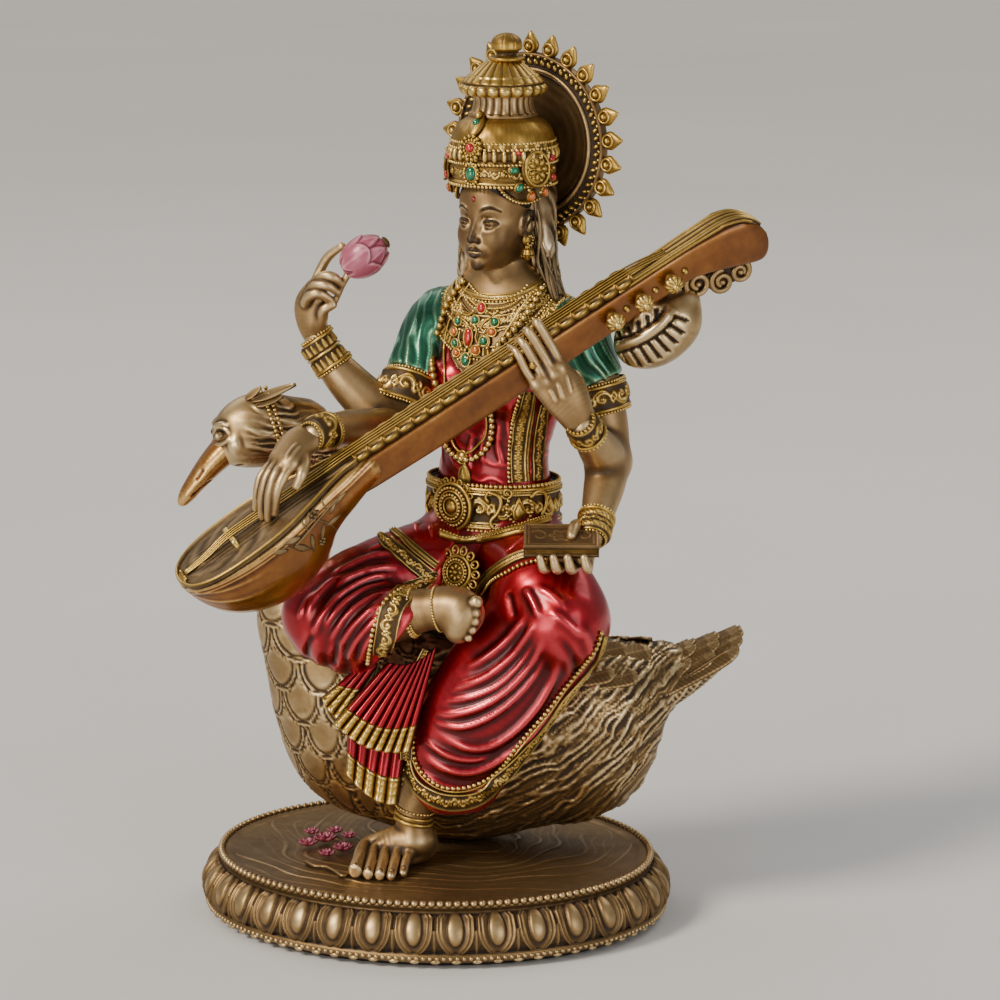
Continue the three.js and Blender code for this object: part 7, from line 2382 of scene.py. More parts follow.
def board_outline(n=160):
    R = [(-24.9, 0), (-24.2, 4.2), (-22.4, 7.6), (-18.5, 10.4), (-13.5, 11.9), (-7, 12.5), (0, 12.3), (5, 11.5), (10, 9.9), (15, 7.9), (20, 5.9), (24.5, 4.6), (29, 4.2)]
    L = [(x, -y) for x, y in R[::-1]]
    return spline(np.array([(x, y, 0) for x, y in R + [(29.5, 0)] + L[:-1]]), n, True)[:, :2]


def build_veena():
    # bowl
    v = Vox((-27, -15, -23), (34, 15, 2.5), 0.36)
    v.ell((-3, 0, 0), (22, 12.5, 21.2), None)
    v.ell((12, 0, 0), (15.5, 6.9, 12.4), None, 3.5)
    v.tube([(16, 0, -3.5), (30, 0, -4.2)], [6.0, 4.2], 6)
    v.slab((0, 0, 1), (0, 0, -0.2), 0.3)
    m = local_mesh(v, BB, BO)
    b = m.bvh()
    q = (m.V - BO) @ BB
    H = 0.10 * noise(m.V, 7.0, 21)
    an = np.arctan2(q[:, 2], q[:, 1])
    # faint gourd ribs gathering at the tail
    H += 0.14 * np.clip(np.cos(an * 16), 0, 1) ** 3 * np.clip((-4 - q[:, 0]) / 12, 0, 1)
    for z_ in (-1.6, -2.5):
        H += 0.22 * np.exp(-((q[:, 2] - z_) / 0.3) ** 2)
    m.push(H)
    add("veena_bowl_shell", m, MAT["amber"], ("veena_bowl",), cavscale=1.3)
    VB_ = m.bvh()
    # carved spray of leaves and a flower near the neck, both sides
    parts = []
    for side in (1, -1):
        def ptn(x, y):
            r_ = hit(VB_, x, y)
            if r_ is None:
                return None
            p, n = r_[0], r_[1]
            if side < 0:
                p = p + VY * (-2 * ((p - BO) @ VY))
                n = n - VY * (2 * (n @ VY))
                a = VB_.find_nearest(Vector(p))
                p, n = np.array(a[0]), np.array(a[1])
            return p, n
        for line, r0 in (([(296, 545), (306, 534), (316, 522), (328, 508), (338, 498)], 0.42), ([(309, 532), (303, 524), (300, 516)], 0.3), ([(318, 520), (330, 524), (338, 532)], 0.3), ([(326, 509), (322, 500), (326, 492)], 0.3), ([(292, 548), (284, 548), (279, 553)], 0.3)):
            pn = [ptn(*p) for p in spline(np.array([(a, c, 0) for a, c in line]), 14)[:, :2]]
            pn = [p for p in pn if p]
            if len(pn) > 3:
                parts.append(cord_mesh(np.array([p for p, _ in pn]), np.array([n for _, n in pn]), r0, 6))
        for x, y, ang, L in ((300, 514, 120, 2.6), (291, 541, 200, 2.4), (303, 548, -20, 2.6), (341, 534, -40, 2.6), (334, 520, 20, 2.2), (327, 490, 100, 2.4), (340, 498, 40, 2.2), (313, 543, -60, 2.2), (279, 552, 190, 2.0), (323, 532, -80, 2.0), (333, 507, 70, 1.8), (308, 519, 80, 1.8)):
            pn = ptn(x, y)
            if not pn:
                continue
            p, n = pn
            d = math.cos(math.radians(ang)) * VR + math.sin(math.radians(ang)) * VU
            if side < 0:
                d = d - VY * (2 * (d @ VY))
            d = unit(d - (d @ n) * n)
            parts.append(dome(p - n * 0.1, n, L * 0.42, 0.55, d, 2.3, 14, 4, "drop"))
            parts.append(cord_mesh(np.array([p + d * t * L + n * (0.42 - 0.22 * abs(t)) for t in np.linspace(-0.7, 0.95, 6)]), np.array([n] * 6), 0.14, 5))
        for x, y, R_ in ((314, 516, 1.25), (322, 541, 0.85)):
            pn = ptn(x, y)
            if not pn:
                continue
            p, n = pn
            B = basis(VA, n)
            for k in range(6):
                d = B[:, 0] * math.cos(k * math.pi / 3) + B[:, 1] * math.sin(k * math.pi / 3)
                parts.append(dome(p + d * R_ - n * 0.1, n, R_ * 0.52, 0.6, d, 1.25, 12, 4))
            parts.append(dome(p - n * 0.1, n, R_ * 0.5, 0.95, VA, 1, 12, 4))
    put("veena_bowl_carving", parts, "board", ())

    # soundboard with a raised rim, gentle crown and engraved lines
    O = board_outline(220)
    rings = np.concatenate([np.linspace(0, 0.86, 30), [0.885, 0.905, 0.92, 0.935, 0.955, 0.975, 0.99, 1.0]])
    n = len(O)
    C = np.stack([np.clip(O[:, 0] * 0.72, -17, 24), np.zeros(n)], 1)
    V, cc = [], []
    for t in rings:
        p = C + (O - C) * t
        z = 0.9 + 0.85 * (1 - t ** 2)
        z = z + 0.55 * math.exp(-((t - 0.955) / 0.022) ** 2) - 0.28 * math.exp(-((t - 0.905) / 0.018) ** 2)
        if t > 0.985:
            z = z - (t - 0.985) * 14
        zz = z + 0 * p[:, 0]
        g = 0.10 * np.cos(2 * math.pi * p[:, 1] / 1.55) * (t < 0.87) * np.clip((p[:, 0] + 22) / 6, 0, 1) * (np.abs(p[:, 1]) < 5.8)
        g = g + 0.05 * noise(np.column_stack([p, 0 * p[:, :1]]) * [1, 3.2, 1], 1.6, 31)
        wv = np.hypot((p[:, 0] + 8) / 1.5, p[:, 1])
        ros = (wv > 6.2) * (wv < 9.6) * (t < 0.87)
        g = g + ros * 0.14 * np.cos(7 * np.arctan2(p[:, 1], p[:, 0] + 8) + wv * 1.4)
        V.append(np.stack([p[:, 0], p[:, 1], zz + g], 1))
        # relief lighter, the groove inside the rim darker (painted shade), the raised rim band brighter (painted
        # highlight)
        cc.append(np.clip(0.44 + 1.1 * g + (0.35 if 0.935 < t < 0.98 else 0) - (0.3 if 0.89 < t < 0.92 else 0), 0, 1) + 0 * p[:, 0])
    # underside rings at 0.3: painted shade
    for t, z in ((1.0, -0.15), (0.5, -0.2)):
        p = C + (O - C) * t
        V.append(np.stack([p[:, 0], p[:, 1], z + 0 * p[:, 0]], 1))
        cc.append(np.full(n, 0.3))
    k = len(V)
    idx = np.arange(k * n).reshape(k, n)
    F = np.stack([idx[:-1], idx[1:], np.roll(idx[1:], -1, 1), np.roll(idx[:-1], -1, 1)], 2).reshape(-1, 4)
    V = np.vstack(V)
    # stitch the spine (ring 0) and the underside closed by mirroring pairs
    cen0, cen1 = len(V), len(V) + 1
    top0, bot0 = idx[0], idx[-1]
    V = np.vstack([V, [[3.0, 0, 1.75]], [[3.0, 0, -0.2]]])
    F = np.vstack([F, np.stack([np.full(n, cen0), top0, np.roll(top0, -1), np.roll(top0, -1)], 1),
                   np.stack([np.full(n, cen1), np.roll(bot0, -1), bot0, bot0], 1)])
    m = Msh(V @ BB.T + BO, F)
    if m.volume() < 0:
        tr = m.F[:, 2] == m.F[:, 3]
        m.F[~tr] = m.F[~tr][:, ::-1]
        m.F[tr] = m.F[tr][:, [1, 0, 2, 2]]
    m.extra["_c"] = np.concatenate(cc + [[0.45, 0.3]])
    put("veena_soundboard_plate", [m], "board", ("veena_soundboard",))
    Ro = np.array([bp(x, y, 1.25) for x, y in C + (O - C) * 0.985])
    put("veena_rim_beading", [cord_mesh(Ro, np.tile(BN, (n, 1)), 0.42, 7, None, 1.0, True)], "gold", ())

    # neck with its broad rounded head
    prof = [(20, -0.8, -8.4), (27, -0.25, -8.9), (33, -0.2, -9.2), (60, -0.2, -9.6), (110, -0.2, -8.9), (124, -0.2, -8.5), (130, -0.25, -9.6), (138, -0.5, -12.4), (143, -1.3, -14.4), (145.5, -2.4, -14.7), (147.3, -4.2, -13.6), (148.5, -6.6, -11.6), (148.95, -8.6, -9.4)]
    pr = np.array(prof)
    S = spline(pr, 360)
    ns = 44
    a = np.arange(ns) * 2 * math.pi / ns
    ca, sa_ = np.cos(a), np.sin(a)
    px_ = np.sign(ca) * np.abs(ca) ** 0.28
    pz_ = np.sign(sa_) * np.abs(sa_) ** 0.28
    V, cc = [], []
    for x, zt, zb in S:
        hw = 3.8 + 0.75 * math.exp(-((x - 141) / 8.0) ** 2)
        if x > 144:
            hw *= math.sqrt(max(0.02, 1 - ((x - 144) / 6.2) ** 2)) * 0.55 + 0.45
        zc, hh = (zt + zb) / 2, max((zt - zb) / 2, 0.2)
        V.append(np.stack([np.full(ns, x), px_ * hw, zc + pz_ * hh], 1))
        side = (np.abs(px_) > 0.96)
        nz = noise(V[-1] * [0.35, 1, 1], 2.2, 41)
        # darker along the top face under the fingerboard (painted shade), a bright line along the upper side edges
        # (painted highlight); nz is random tone
        cc.append(np.clip(0.50 + 0.08 * nz - 0.14 * (pz_ > 0.85) + 0.20 * side * np.exp(-((pz_ - 0.80) / 0.12) ** 2), 0, 1))
    V = np.vstack(V)
    k = len(S)
    idx = np.arange(k * ns).reshape(k, ns)
    F = np.stack([idx[:-1], np.roll(idx[:-1], -1, 1), np.roll(idx[1:], -1, 1), idx[1:]], 2).reshape(-1, 4)
    V = np.vstack([V, [[S[0, 0] - 0.1, 0, -4.5]], [[S[-1, 0] + 0.08, 0, (S[-1, 1] + S[-1, 2]) / 2]]])
    F = np.vstack([F, np.stack([np.roll(idx[0], -1), idx[0], np.full(ns, k * ns), np.full(ns, k * ns)], 1), np.stack([idx[-1], np.roll(idx[-1], -1), np.full(ns, k * ns + 1), np.full(ns, k * ns + 1)], 1)])
    m = Msh(V @ VBAS.T + VO, F)
    if m.volume() < 0:
        tr = m.F[:, 2] == m.F[:, 3]
        m.F[~tr] = m.F[~tr][:, ::-1]
        m.F[tr] = m.F[tr][:, [1, 0, 2, 2]]
    m.extra["_c"] = np.concatenate(cc + [[0.3, 0.5]])
    put("veena_neck_shaft", [m], "amber", ("veena_neck",))
    # edge lines of the neck and head
    edge = []
    for sgn in (-1, 1):
        P = [vp(x, sgn * (3.75 + 0.75 * math.exp(-((x - 141) / 8.0) ** 2)), z) for x, z in [(t, 0.0) for t in np.linspace(108, 140, 26)] + [(143, -0.9), (145, -2.0), (146.6, -3.6)]]
        edge.append(cord_mesh(np.array(P), np.tile(VN, (len(P), 1)), 0.42, 7, 110))
    P = [vp(146.9, y, -3.7 - 0.1 * abs(y)) for y in np.linspace(-3.6, 3.6, 12)]
    put("veena_head_edging", edge, "gold", ())
    Pc = [vp(x, 0, z) for x, z in [(112, 0.0), (120, 0.05), (130, 0.1), (137, 0.1), (141, -0.3), (143.6, -1.1), (145.6, -2.4), (147.2, -4.2), (148.4, -6.4)]]
    Nc = [unit(VN * c_ + VA * s_) for c_, s_ in [(1, 0)] * 4 + [(1, 0.12), (1, 0.35), (1, 0.75), (0.8, 1), (0.5, 1)]]
    put("veena_head_plate", [band(np.array(Pc), np.array(Nc), [3.3, 3.4, 3.6, 3.9, 3.7, 3.4, 2.9], [(-1, -0.80, "ridge"), (0.80, 1, "ridge"), (-0.62, -0.44, "ridge"), (-0.1, 0.1, "ridge"), (0.44, 0.62, "ridge")], 0.5, 0.25, 0.2)], "gold", ())

    # fingerboard: scalloped edges, frets, strings
    x = np.linspace(28.5, 113, 760)
    pitch = 4.42
    frets, sc = [], []
    ph = (x - 28.5) / pitch
    lob = np.abs(np.sin(math.pi * ph))
    hw = 3.45 + 0.75 * lob ** 0.6
    vv = np.linspace(-1, 1, 27)
    Xg, Vg = np.meshgrid(x, vv, indexing="ij")
    Yg = Vg * hw[:, None]
    lobg = lob[:, None] + 0 * Vg
    edgef = np.clip((np.abs(Vg) - 0.66) / 0.34, 0, 1)
    h = 1.35 + 0.55 * np.clip(1 - edgef * 1.25, 0, 1) + 0.40 * edgef * lobg
    h += 0.30 * np.exp(-(((ph[:, None] - np.round(ph[:, None])) * pitch) / 0.34) ** 2) * (np.abs(Vg) < 0.8)
    dip = np.exp(-((np.abs(Yg) - 3.1) / 0.34) ** 2) * np.exp(-((lobg - 1) / 0.42) ** 2)
    h -= 0.75 * dip
    Z = h
    P = np.stack([Xg, Yg, Z], 2)
    K = P.copy(); K[..., 2] = 0.0
    a_, b_ = Xg.shape
    g = np.arange(a_ * b_).reshape(a_, b_)
    kk = g + a_ * b_
    loop = np.concatenate([g[0, :], g[1:, -1], g[-1, -2::-1], g[-2:0:-1, 0]])
    F = np.vstack([np.stack([g[:-1, :-1], g[1:, :-1], g[1:, 1:], g[:-1, 1:]], 2).reshape(-1, 4),
                   np.stack([kk[:-1, :-1], kk[:-1, 1:], kk[1:, 1:], kk[1:, :-1]], 2).reshape(-1, 4),
                   np.stack([loop, np.roll(loop, -1), np.roll(loop, -1) + a_ * b_, loop + a_ * b_], 1)])
    m = Msh(np.vstack([P.reshape(-1, 3), K.reshape(-1, 3)]) @ VBAS.T + VO, F)
    if m.volume() < 0:
        m.F = m.F[:, ::-1].copy()
    # frets and lobes lighter, dips darker, underside 0.2: painted highlight and painted shade
    m.extra["_c"] = np.concatenate([np.clip(0.28 + 0.35 * (h - 1.35) + 0.35 * edgef * lobg - 0.5 * dip, 0, 1).ravel(), np.full(a_ * b_, 0.2)])
    put("veena_fingerboard", [m], "gold", ("veena_fretboard",))
    st = []
    for y0, y1 in ((-1.95, -1.5), (-0.65, -0.5), (0.65, 0.5), (1.95, 1.5)):
        P = [bp(-22.5, y1 * 0.5, 1.7), bp(-16, y1 * 0.8, 2.1), bp(-8, y1, 3.3), bp(6, y0 * 0.9, 2.75), bp(20, y0, 2.35), vp(30, y0, 2.35), vp(60, y0, 2.3), vp(90, y0, 2.3), vp(112, y0, 2.2), vp(124, y0 * 0.8, 0.75)]
        st.append(cord_mesh(np.array(P), np.tile(VN, (len(P), 1)), 0.24, 6, 160))
    put("veena_strings", st, "gold", ())
    # bridge on two feet, tail clamp
    v = Vox((-11, -6, 0.6), (-5, 6, 5), 0.16)
    v.box((-8, 0, 2.5), (0.75, 4.3, 0.75), None, 0, rnd=0.3)
    v.tube([(-8, -3.9, 2.3), (-8, -4.5, 0.9)], [0.75, 0.9], 0.5)
    v.tube([(-8, 3.9, 2.3), (-8, 4.5, 0.9)], [0.75, 0.9], 0.5)
    v.tube([(-8, 0, 2.3), (-8, 0, 0.9)], [0.7, 0.8], 0.4)
    add("veena_bridge_saddle", local_mesh(v, BB, BO), MAT["gold"], ("veena_bridge",))
    parts = [dome(bp(-24.0, 0, 0.3), unit(-BA + 0.6 * BN), 2.0, 1.1, VY, 1.6, 20, 5)]
    for k in range(-2, 3):
        parts += [dome(bp(-23.2, k * 1.25, 1.45), BN, 0.5, 0.55, VY, 1, 10, 4)]
    put("veena_tailpiece", parts, "gold", ())

    # pegs: melon knobs with a collar and a bead
    for i, x_ in enumerate((103.4, 112.2, 121.2)):
        ax_ = unit(-VY * 0.94 - VN * 0.22 - VA * 0.1)
        c0 = vp(x_, -3.9, -4.3)
        B = basis(VA, ax_)
        pr_ = [(0.05, -0.6), (1.1, -0.5), (1.2, 0.2), (1.2, 0.7), (1.75, 0.9), (1.75, 1.2), (1.3, 1.35), (1.9, 1.55), (2.45, 2.2), (2.62, 2.9), (2.4, 3.6), (1.8, 4.2), (1.0, 4.5), (0.9, 4.6), (0.85, 4.9), (0.5, 5.2), (0.05, 5.25)]
        pr_ = spline(np.array([(a0, b0, 0) for a0, b0 in pr_]), 60)[:, :2]
        pr_[:, 0] = np.maximum(pr_[:, 0], 0.03)
        m = lathe(pr_, c0, B, 60, lambda an, r, z: -0.36 * (1 - np.abs(np.cos(an * 5.5)) ** 0.6) * (z > 1.5) * (z < 4.45))
        q = (m.V - c0) @ B
        an = np.arctan2(q[:, 1], q[:, 0])
        rr = np.hypot(q[:, 0], q[:, 1])
        # melon ribs lighter, grooves darker, lighter further out: painted highlight and painted shade
        m.extra["_c"] = np.clip(0.30 + 0.42 * np.abs(np.cos(an * 5.5)) ** 0.8 * (q[:, 2] > 1.4) + 0.15 * (q[:, 2] > 4.5) + 0.1 * (rr / 2.5), 0, 1)
        put("veena_peg_knob_%d" % (i + 1), [m, dome(vp(x_ + 4.3, -3.7, -4.9), ax_, 0.95, 1.2, VA, 1, 16, 5)], "gold", ("veena_peg_%d" % (i + 1),))

    # scrollwork under the head
    def spiral(cx, cz, r0, r1, a0, a1, y=-0.6):
        t = np.linspace(0, 1, 40)
        r_ = r0 + (r1 - r0) * t
        a = np.radians(a0 + (a1 - a0) * t)
        return np.array([vp(cx + r_[i] * math.cos(a[i]), y, cz + r_[i] * math.sin(a[i])) for i in range(40)])
    sc = []
    for cx, cz, r0, r1, a0, a1, rad in ((127.4, -11.6, 3.6, 1.2, 95, 95 + 500, 0.85), (133.2, -15.0, 3.3, 1.0, 60, 60 + 520, 0.8), (138.6, -15.4, 3.0, 0.9, 80, 80 - 500, 0.8), (141.6, -13.4, 2.2, 1.0, 0, 200, 0.7)):
        for y in (-1.1, 1.1):
            P = spiral(cx, cz, r0, r1, a0, a1, y)
            sc.append(cord_mesh(P, np.tile(VY * (-1 if y < 0 else 1), (len(P), 1)), rad, 8))
        sc.append(dome(vp(cx, -1.2, cz), -VY, 0.9, 1.1, VA, 1, 14, 5))
        sc.append(dome(vp(cx, 1.2, cz), VY, 0.9, 1.1, VA, 1, 14, 5))
    v = Vox((121, -2.2, -20), (144, 2.2, -6), 0.3)
    v.box((127.4, 0, -11.0), (2.6, 0.9, 2.6), None, 0, rnd=0.5)
    v.box((133.4, 0, -14.0), (3.4, 0.9, 2.8), None, 1.0, rnd=0.5)
    v.box((138.4, 0, -14.6), (2.8, 0.9, 2.8), None, 1.0, rnd=0.5)
    wb = local_mesh(v, VBAS, VO)
    # webs behind the spirals held dark: painted shade between the scrolls
    wb.extra["_c"] = np.full(len(wb.V), 0.12)
    put("veena_scrollwork", sc + [wb], "bronze", ("veena_scroll",))

    # upper gourd with a keel and ribs
    gc = np.array([56.2, 11.2, 154.9])
    v = Vox(gc - 15, gc + 15, 0.36)
    gx = unit(at(681, 303, -3) - at(606, 351, -3))
    GB = basis(gx, VH)
    GB = np.stack([gx, np.cross(unit(VH - (VH @ gx) * gx), gx), unit(VH - (VH @ gx) * gx)], 1)
    v.ell(gc, (11.8, 8.7, 8.6), GB)
    v.tube([gc + gx * 6, gc + gx * 11 + VN * 2.4], [5.4, 2.8], 4)
    v.tube([gc, gc + VN * 7.4], [4.5, 3.6], 3)
    m = v.mesh(1)
    b = m.bvh()
    H = np.zeros(len(m.V))
    P, Nn = trace(b, [(606, 349), (622, 345), (640, 338), (656, 328), (667, 317), (674, 306)], 50)
    if len(P) > 4:
        m.stroke(P, 1.35, 1.1, H, 0.15)
        for off in (-1, 1):
            d = unit(np.cross(np.gradient(P, axis=0), Nn)) * off * 1.75
            m.stroke(P + d, 0.45, -0.75, H, 0.15)
    low = [((612, 353), (619, 364)), ((620, 352), (629, 368)), ((629, 349.5), (640, 367.5)), ((638, 346), (650, 364.5)), ((647, 342), (660, 359.5)), ((655, 337), (669, 353)), ((662, 330), (677, 344)), ((668, 323), (684, 334)), ((673, 315), (688, 321))]
    upq = [((612, 344), (607, 335)), ((621, 341), (616, 330)), ((630, 337.5), (626, 325)), ((639, 333.5), (636, 320)), ((648, 328), (646, 314)), ((656, 322), (656, 307))]
    for (x0, y0), (x1, y1) in low + upq:
        for dx, hh, w_ in ((0, -0.75, 0.42), (2.4, -0.35, 0.3)):
            P, _ = trace(b, [(x0 + dx * 0.3, y0), ((x0 + x1) / 2 + dx * 0.6, (y0 + y1) / 2), (x1 + dx, y1)], 16)
            if len(P) > 3:
                m.stroke(P, w_, hh, H, 0.1)
    q = (m.V - gc) @ GB
    back = q[:, 2] < -1
    an = np.arctan2(q[:, 2], q[:, 1])
    H += back * -0.5 * np.clip(np.cos(an * 14), 0, 1) ** 4
    m.push(H)
    add("veena_gourd_ribbed", m, MAT["bronze"], ("veena_gourd",), cavscale=1.1)


build_veena()
# ---------------------------------------------------------------- jewellery and borders
def px_of(P):
    d = np.asarray(P, float) - CAM
    w = -(d @ VB)
    k = 1100.0 / PX
    return 500 + k * (d @ VR) / w, 500 - k * (d @ VU) / w


def on_limb(pts, x, y):
    P = spline(np.array(pts, float), 200)
    T = unit(np.gradient(P, axis=0))
    X, Y = px_of(P)
    i = int(np.argmin((X - x) ** 2 + (Y - y) ** 2))
    return P[i], T[i]


def limb_ring(bvh, c, ax_, n=72, up=ZZ):
    B = basis(up, ax_)
    P, N = [], []
    for a in np.linspace(0, 2 * math.pi, n, endpoint=False):
        d = B[:, 0] * math.cos(a) + B[:, 1] * math.sin(a)
        r = bvh.ray_cast(Vector(c), Vector(d), 16.0)
        if r[0] is not None:
            P.append(np.array(r[0]))
            N.append(d)
    return np.array(P), np.array(N)


def bangle(name, bvh, pts, x, y, w, layout, h=0.5, rims=0.45, pearls=0.42, lift=0.25):
    c, T = on_limb(pts, x, y)
    P, N = limb_ring(bvh, c, T)
    R = np.median(np.linalg.norm(P - c, axis=1))
    k = np.linalg.norm(P - c, axis=1)
    P = c + (P - c) * (np.minimum(k, R * 1.25) / k)[:, None]
    parts = [band(P + N * lift, N, w, layout, h, 0.35, 0.16, True, None, 1.2)]
    for s in (-1, 1):
        Q, M = limb_ring(bvh, c + T * w * s, T)
        k = np.linalg.norm(Q - (c + T * w * s), axis=1)
        Q = (c + T * w * s) + (Q - (c + T * w * s)) * (np.minimum(k, R * 1.3) / k)[:, None]
        if len(Q) > 8:
            parts.append(cord_mesh(Q + M * (lift + 0.25), M, rims, 7, 110, 1.0, True))
            if pearls:
                Q2 = Q + T * s * (rims + pearls * 0.7) + M * (lift + 0.1)
                parts.append(bead_line(Q2, M, pearls, pearls * 2.05, True, 1))
    put(name, parts, "gold", ())


def build_bangles():
    upR = [(-6.2, 20.4, 149), (-9.4, 13.4, 139), (-10.8, 9.0, 132.5), (-11.2, 5.8, 127)]
    rearR = [(-16.4, 4.6, 131.4), (-24.5, 2.8, 139.6), (-31.0, 1.6, 147.8), (-31.8, 1.3, 151)]
    frontR = [(-13.2, -6, 128.8), (-16.4, -20, 131.4), (-19.8, -31.2, 132.6), (-21, -34, 132)]
    upL = [(35.4, 13.6, 151), (39.4, 13.4, 141), (42.2, 13.2, 130), (43.6, 12.2, 120.5)]
    frontL = [(43.4, 4.6, 124.0), (42.6, -4.4, 129.8), (42.0, -8.2, 132.8)]
    rearL = [(44.2, 5.2, 115.2), (44.6, -3.0, 109.4), (44.8, -8.0, 105.6)]
    wide = [(-0.9, 0.9, "scroll")]
    bangle("armlet_right", SLV_R if False else ARM_R, upR, 399, 391, 3.7, wide, 0.6, 0.5, 0.42, 1.0)
    bangle("armlet_left", ARM_L, upL, 601, 397, 3.1, wide, 0.6, 0.5, 0.42, 0.9)
    bangle("bangle_right_rear", ARM_R, rearR, 311, 361, 3.9, [(-0.92, -0.2, "petal"), (-0.12, 0.12, "ridge"), (0.2, 0.92, "petal")], 0.6, 0.5, 0.42)
    bangle("bangle_right_front", ARM_R, frontR, 323, 438, 3.3, wide, 0.55, 0.45, 0.4)
    bangle("bangle_left_front", ARM_L, frontL, 579, 432, 2.7, wide, 0.55, 0.55, 0.5)
    bangle("bangle_left_rear", ARM_L, rearL, 588, 526, 3.1, [(-0.9, -0.3, "rope"), (-0.22, 0.22, "scroll"), (0.3, 0.9, "rope")], 0.55, 0.45, 0.42)


build_bangles()


def surf(b, pts, n=60, lift=0.0):
    P, N = trace(b, pts, n, False, lift)
    # keep the normals smooth along the path
    M = N.copy()
    for _ in range(4):
        M[1:-1] = (M[:-2] + M[1:-1] * 2 + M[2:]) / 4
        P[1:-1] = (P[:-2] + P[1:-1] * 2 + P[2:]) / 4
    return P, unit(M)


def build_borders():
    allb = join_msh([Msh(m.V, m.F) for m in BODYM]).bvh()
    g, bd = [], []
    # hem of the left leg: narrow down the inner side, broad at the shin, narrow up the outer side
    hem = [(441, 652), (430, 672), (421, 700), (413, 728), (409, 750), (410, 770), (417, 786), (432, 797), (448, 802), (470, 800), (492, 788), (511, 768), (528, 748), (548, 722), (566, 698), (584, 676), (598, 655), (604, 636)]
    P, N = surf(DL, hem, 120)
    g.append(band(P, N, [0.9, 1.1, 1.3, 1.6, 2.0, 2.5, 2.7, 2.7, 2.7, 2.5, 2.0, 1.5, 1.2, 1.1, 1.1, 1.0, 1.0, 1.0], [(-1, -0.84, "ridge"), (-0.72, 0.62, "scroll"), (0.78, 1, "ridge")], 0.55, 0.35, 0.17, False, DL, 0.6))
    for pts, r_ in (([(446, 643), (435, 659), (429, 680), (421, 702), (416, 724), (414, 748), (418, 766), (430, 780), (447, 788), (470, 787), (493, 774), (512, 753), (530, 731), (547, 711), (562, 690), (580, 668), (594, 650), (600, 633)], 0.62),):
        P, N = surf(DL, pts, 120)
        bd.append(bead_line(P + N * 0.25, N, r_, r_ * 2.2, False, 2))
        bd.append(cord_mesh(P + N * 0.1 + unit(np.cross(np.gradient(P, axis=0), N)) * 0.9, N, 0.3, 6))
    # cuff where the right shin comes out
    cuff = [(438, 573), (424, 582), (406, 592), (395, 604), (389, 620), (386, 638), (383, 655), (381, 668)]
    P, N = surf(DR, cuff, 70)
    if len(P) > 5:
        g.append(band(P, N, [1.5, 1.9, 2.5, 3.0, 3.1, 3.0, 2.9, 2.8], [(-1, -0.86, "ridge"), (-0.76, 0.70, "scroll"), (0.84, 1, "ridge")], 0.6, 0.4, 0.17, False, DR, 0.6))
    P, N = surf(DR, [(430, 577), (412, 585), (393, 595), (382, 607), (376, 622), (371, 641), (368, 662)], 60)
    bd.append(bead_line(P + N * 0.25, N, 0.66, 1.45, False, 2))
    # lap band with a pointed end
    P, N = surf(allb, [(360, 521), (376, 533), (392, 547), (410, 562), (429, 577)], 60, 0.2)
    g.append(band(P, N, [0.5, 1.9, 2.1, 2.0, 1.8], [(-1, -0.8, "ridge"), (-0.7, 0.7, "scroll"), (0.8, 1, "ridge")], 0.55, 0.4, 0.17, False, None, 1.6))
    P, N = surf(allb, [(381, 522), (396, 533), (414, 549), (436, 566)], 50, 0.2)
    g.append(band(P, N, [0.9, 1.2, 1.3, 1.1], [(-1, -0.7, "ridge"), (-0.55, 0.6, "leaf"), (0.75, 1, "ridge")], 0.45, 0.35, 0.17, False, None, 1.6))
    # border over the left thigh
    P, N = surf(allb, [(478, 590), (486, 579), (498, 569), (519, 557), (545, 552), (566, 552)], 60, 0.2)
    g.append(band(P, N, [0.8, 1.3, 1.5, 1.5, 1.4, 1.2], [(-1, -0.75, "ridge"), (-0.6, 0.5, "leaf"), (0.7, 1, "ridge")], 0.5, 0.35, 0.17, False, None, 1.6))
    P, N = surf(allb, [(484, 593), (493, 582), (506, 574), (524, 565), (546, 560)], 60, 0.2)
    bd.append(bead_line(P + N * 0.2, N, 0.55, 1.25, False, 1))
    # strip hanging behind the pleats, knee side
    P, N = surf(allb, [(322, 668), (336, 676), (352, 683), (366, 684)], 40, 0.3)
    if len(P) > 5:
        g.append(band(P, N, 1.3, [(-1, -0.75, "ridge"), (-0.6, 0.6, "scroll"), (0.75, 1, "ridge")], 0.45, 0.35, 0.17, False, None, 0.6))
    # dark embroidered strip between the pleats and the hem
    L = [(428, 650), (418, 674), (411, 702), (407, 732), (406, 760)]
    P = spline(np.array([at(x, y, 20.6) for x, y in L]), 60)
    g.append(band(P, np.tile(VH, (60, 1)), [1.5, 1.9, 2.1, 1.9, 1.5], [(-1, -0.8, "ridge"), (-0.65, 0.65, "leaf"), (0.8, 1, "ridge")], 0.5, 0.3, 0.17, False, None, 2.0))
    put("sari_borders", g, "gold", ())
    put("sari_border_beads", bd, "gold", ())
    return allb


ALLB = build_borders()


def ring(c, n, r, rc, up=ZZ, sq=1.0, k=60):
    B = basis(np.cross(up, n), n)
    a = np.linspace(0, 2 * math.pi, k, endpoint=False)
    P = np.array([c + B[:, 0] * r * math.cos(t) + B[:, 1] * r * sq * math.sin(t) for t in a])
    return cord_mesh(P, np.tile(n, (k, 1)), rc, 7, None, 1.0, True)


def bring(c, n, r, rb, up=ZZ, sub=1):
    B = basis(up, n)
    k = max(6, int(2 * math.pi * r / (rb * 2.05)))
    a = np.arange(k) * 2 * math.pi / k
    return beads(np.array([c + (B[:, 0] * math.cos(t) + B[:, 1] * math.sin(t)) * r for t in a]), np.tile(n, (k, 1)), rb, sub, 0.1)


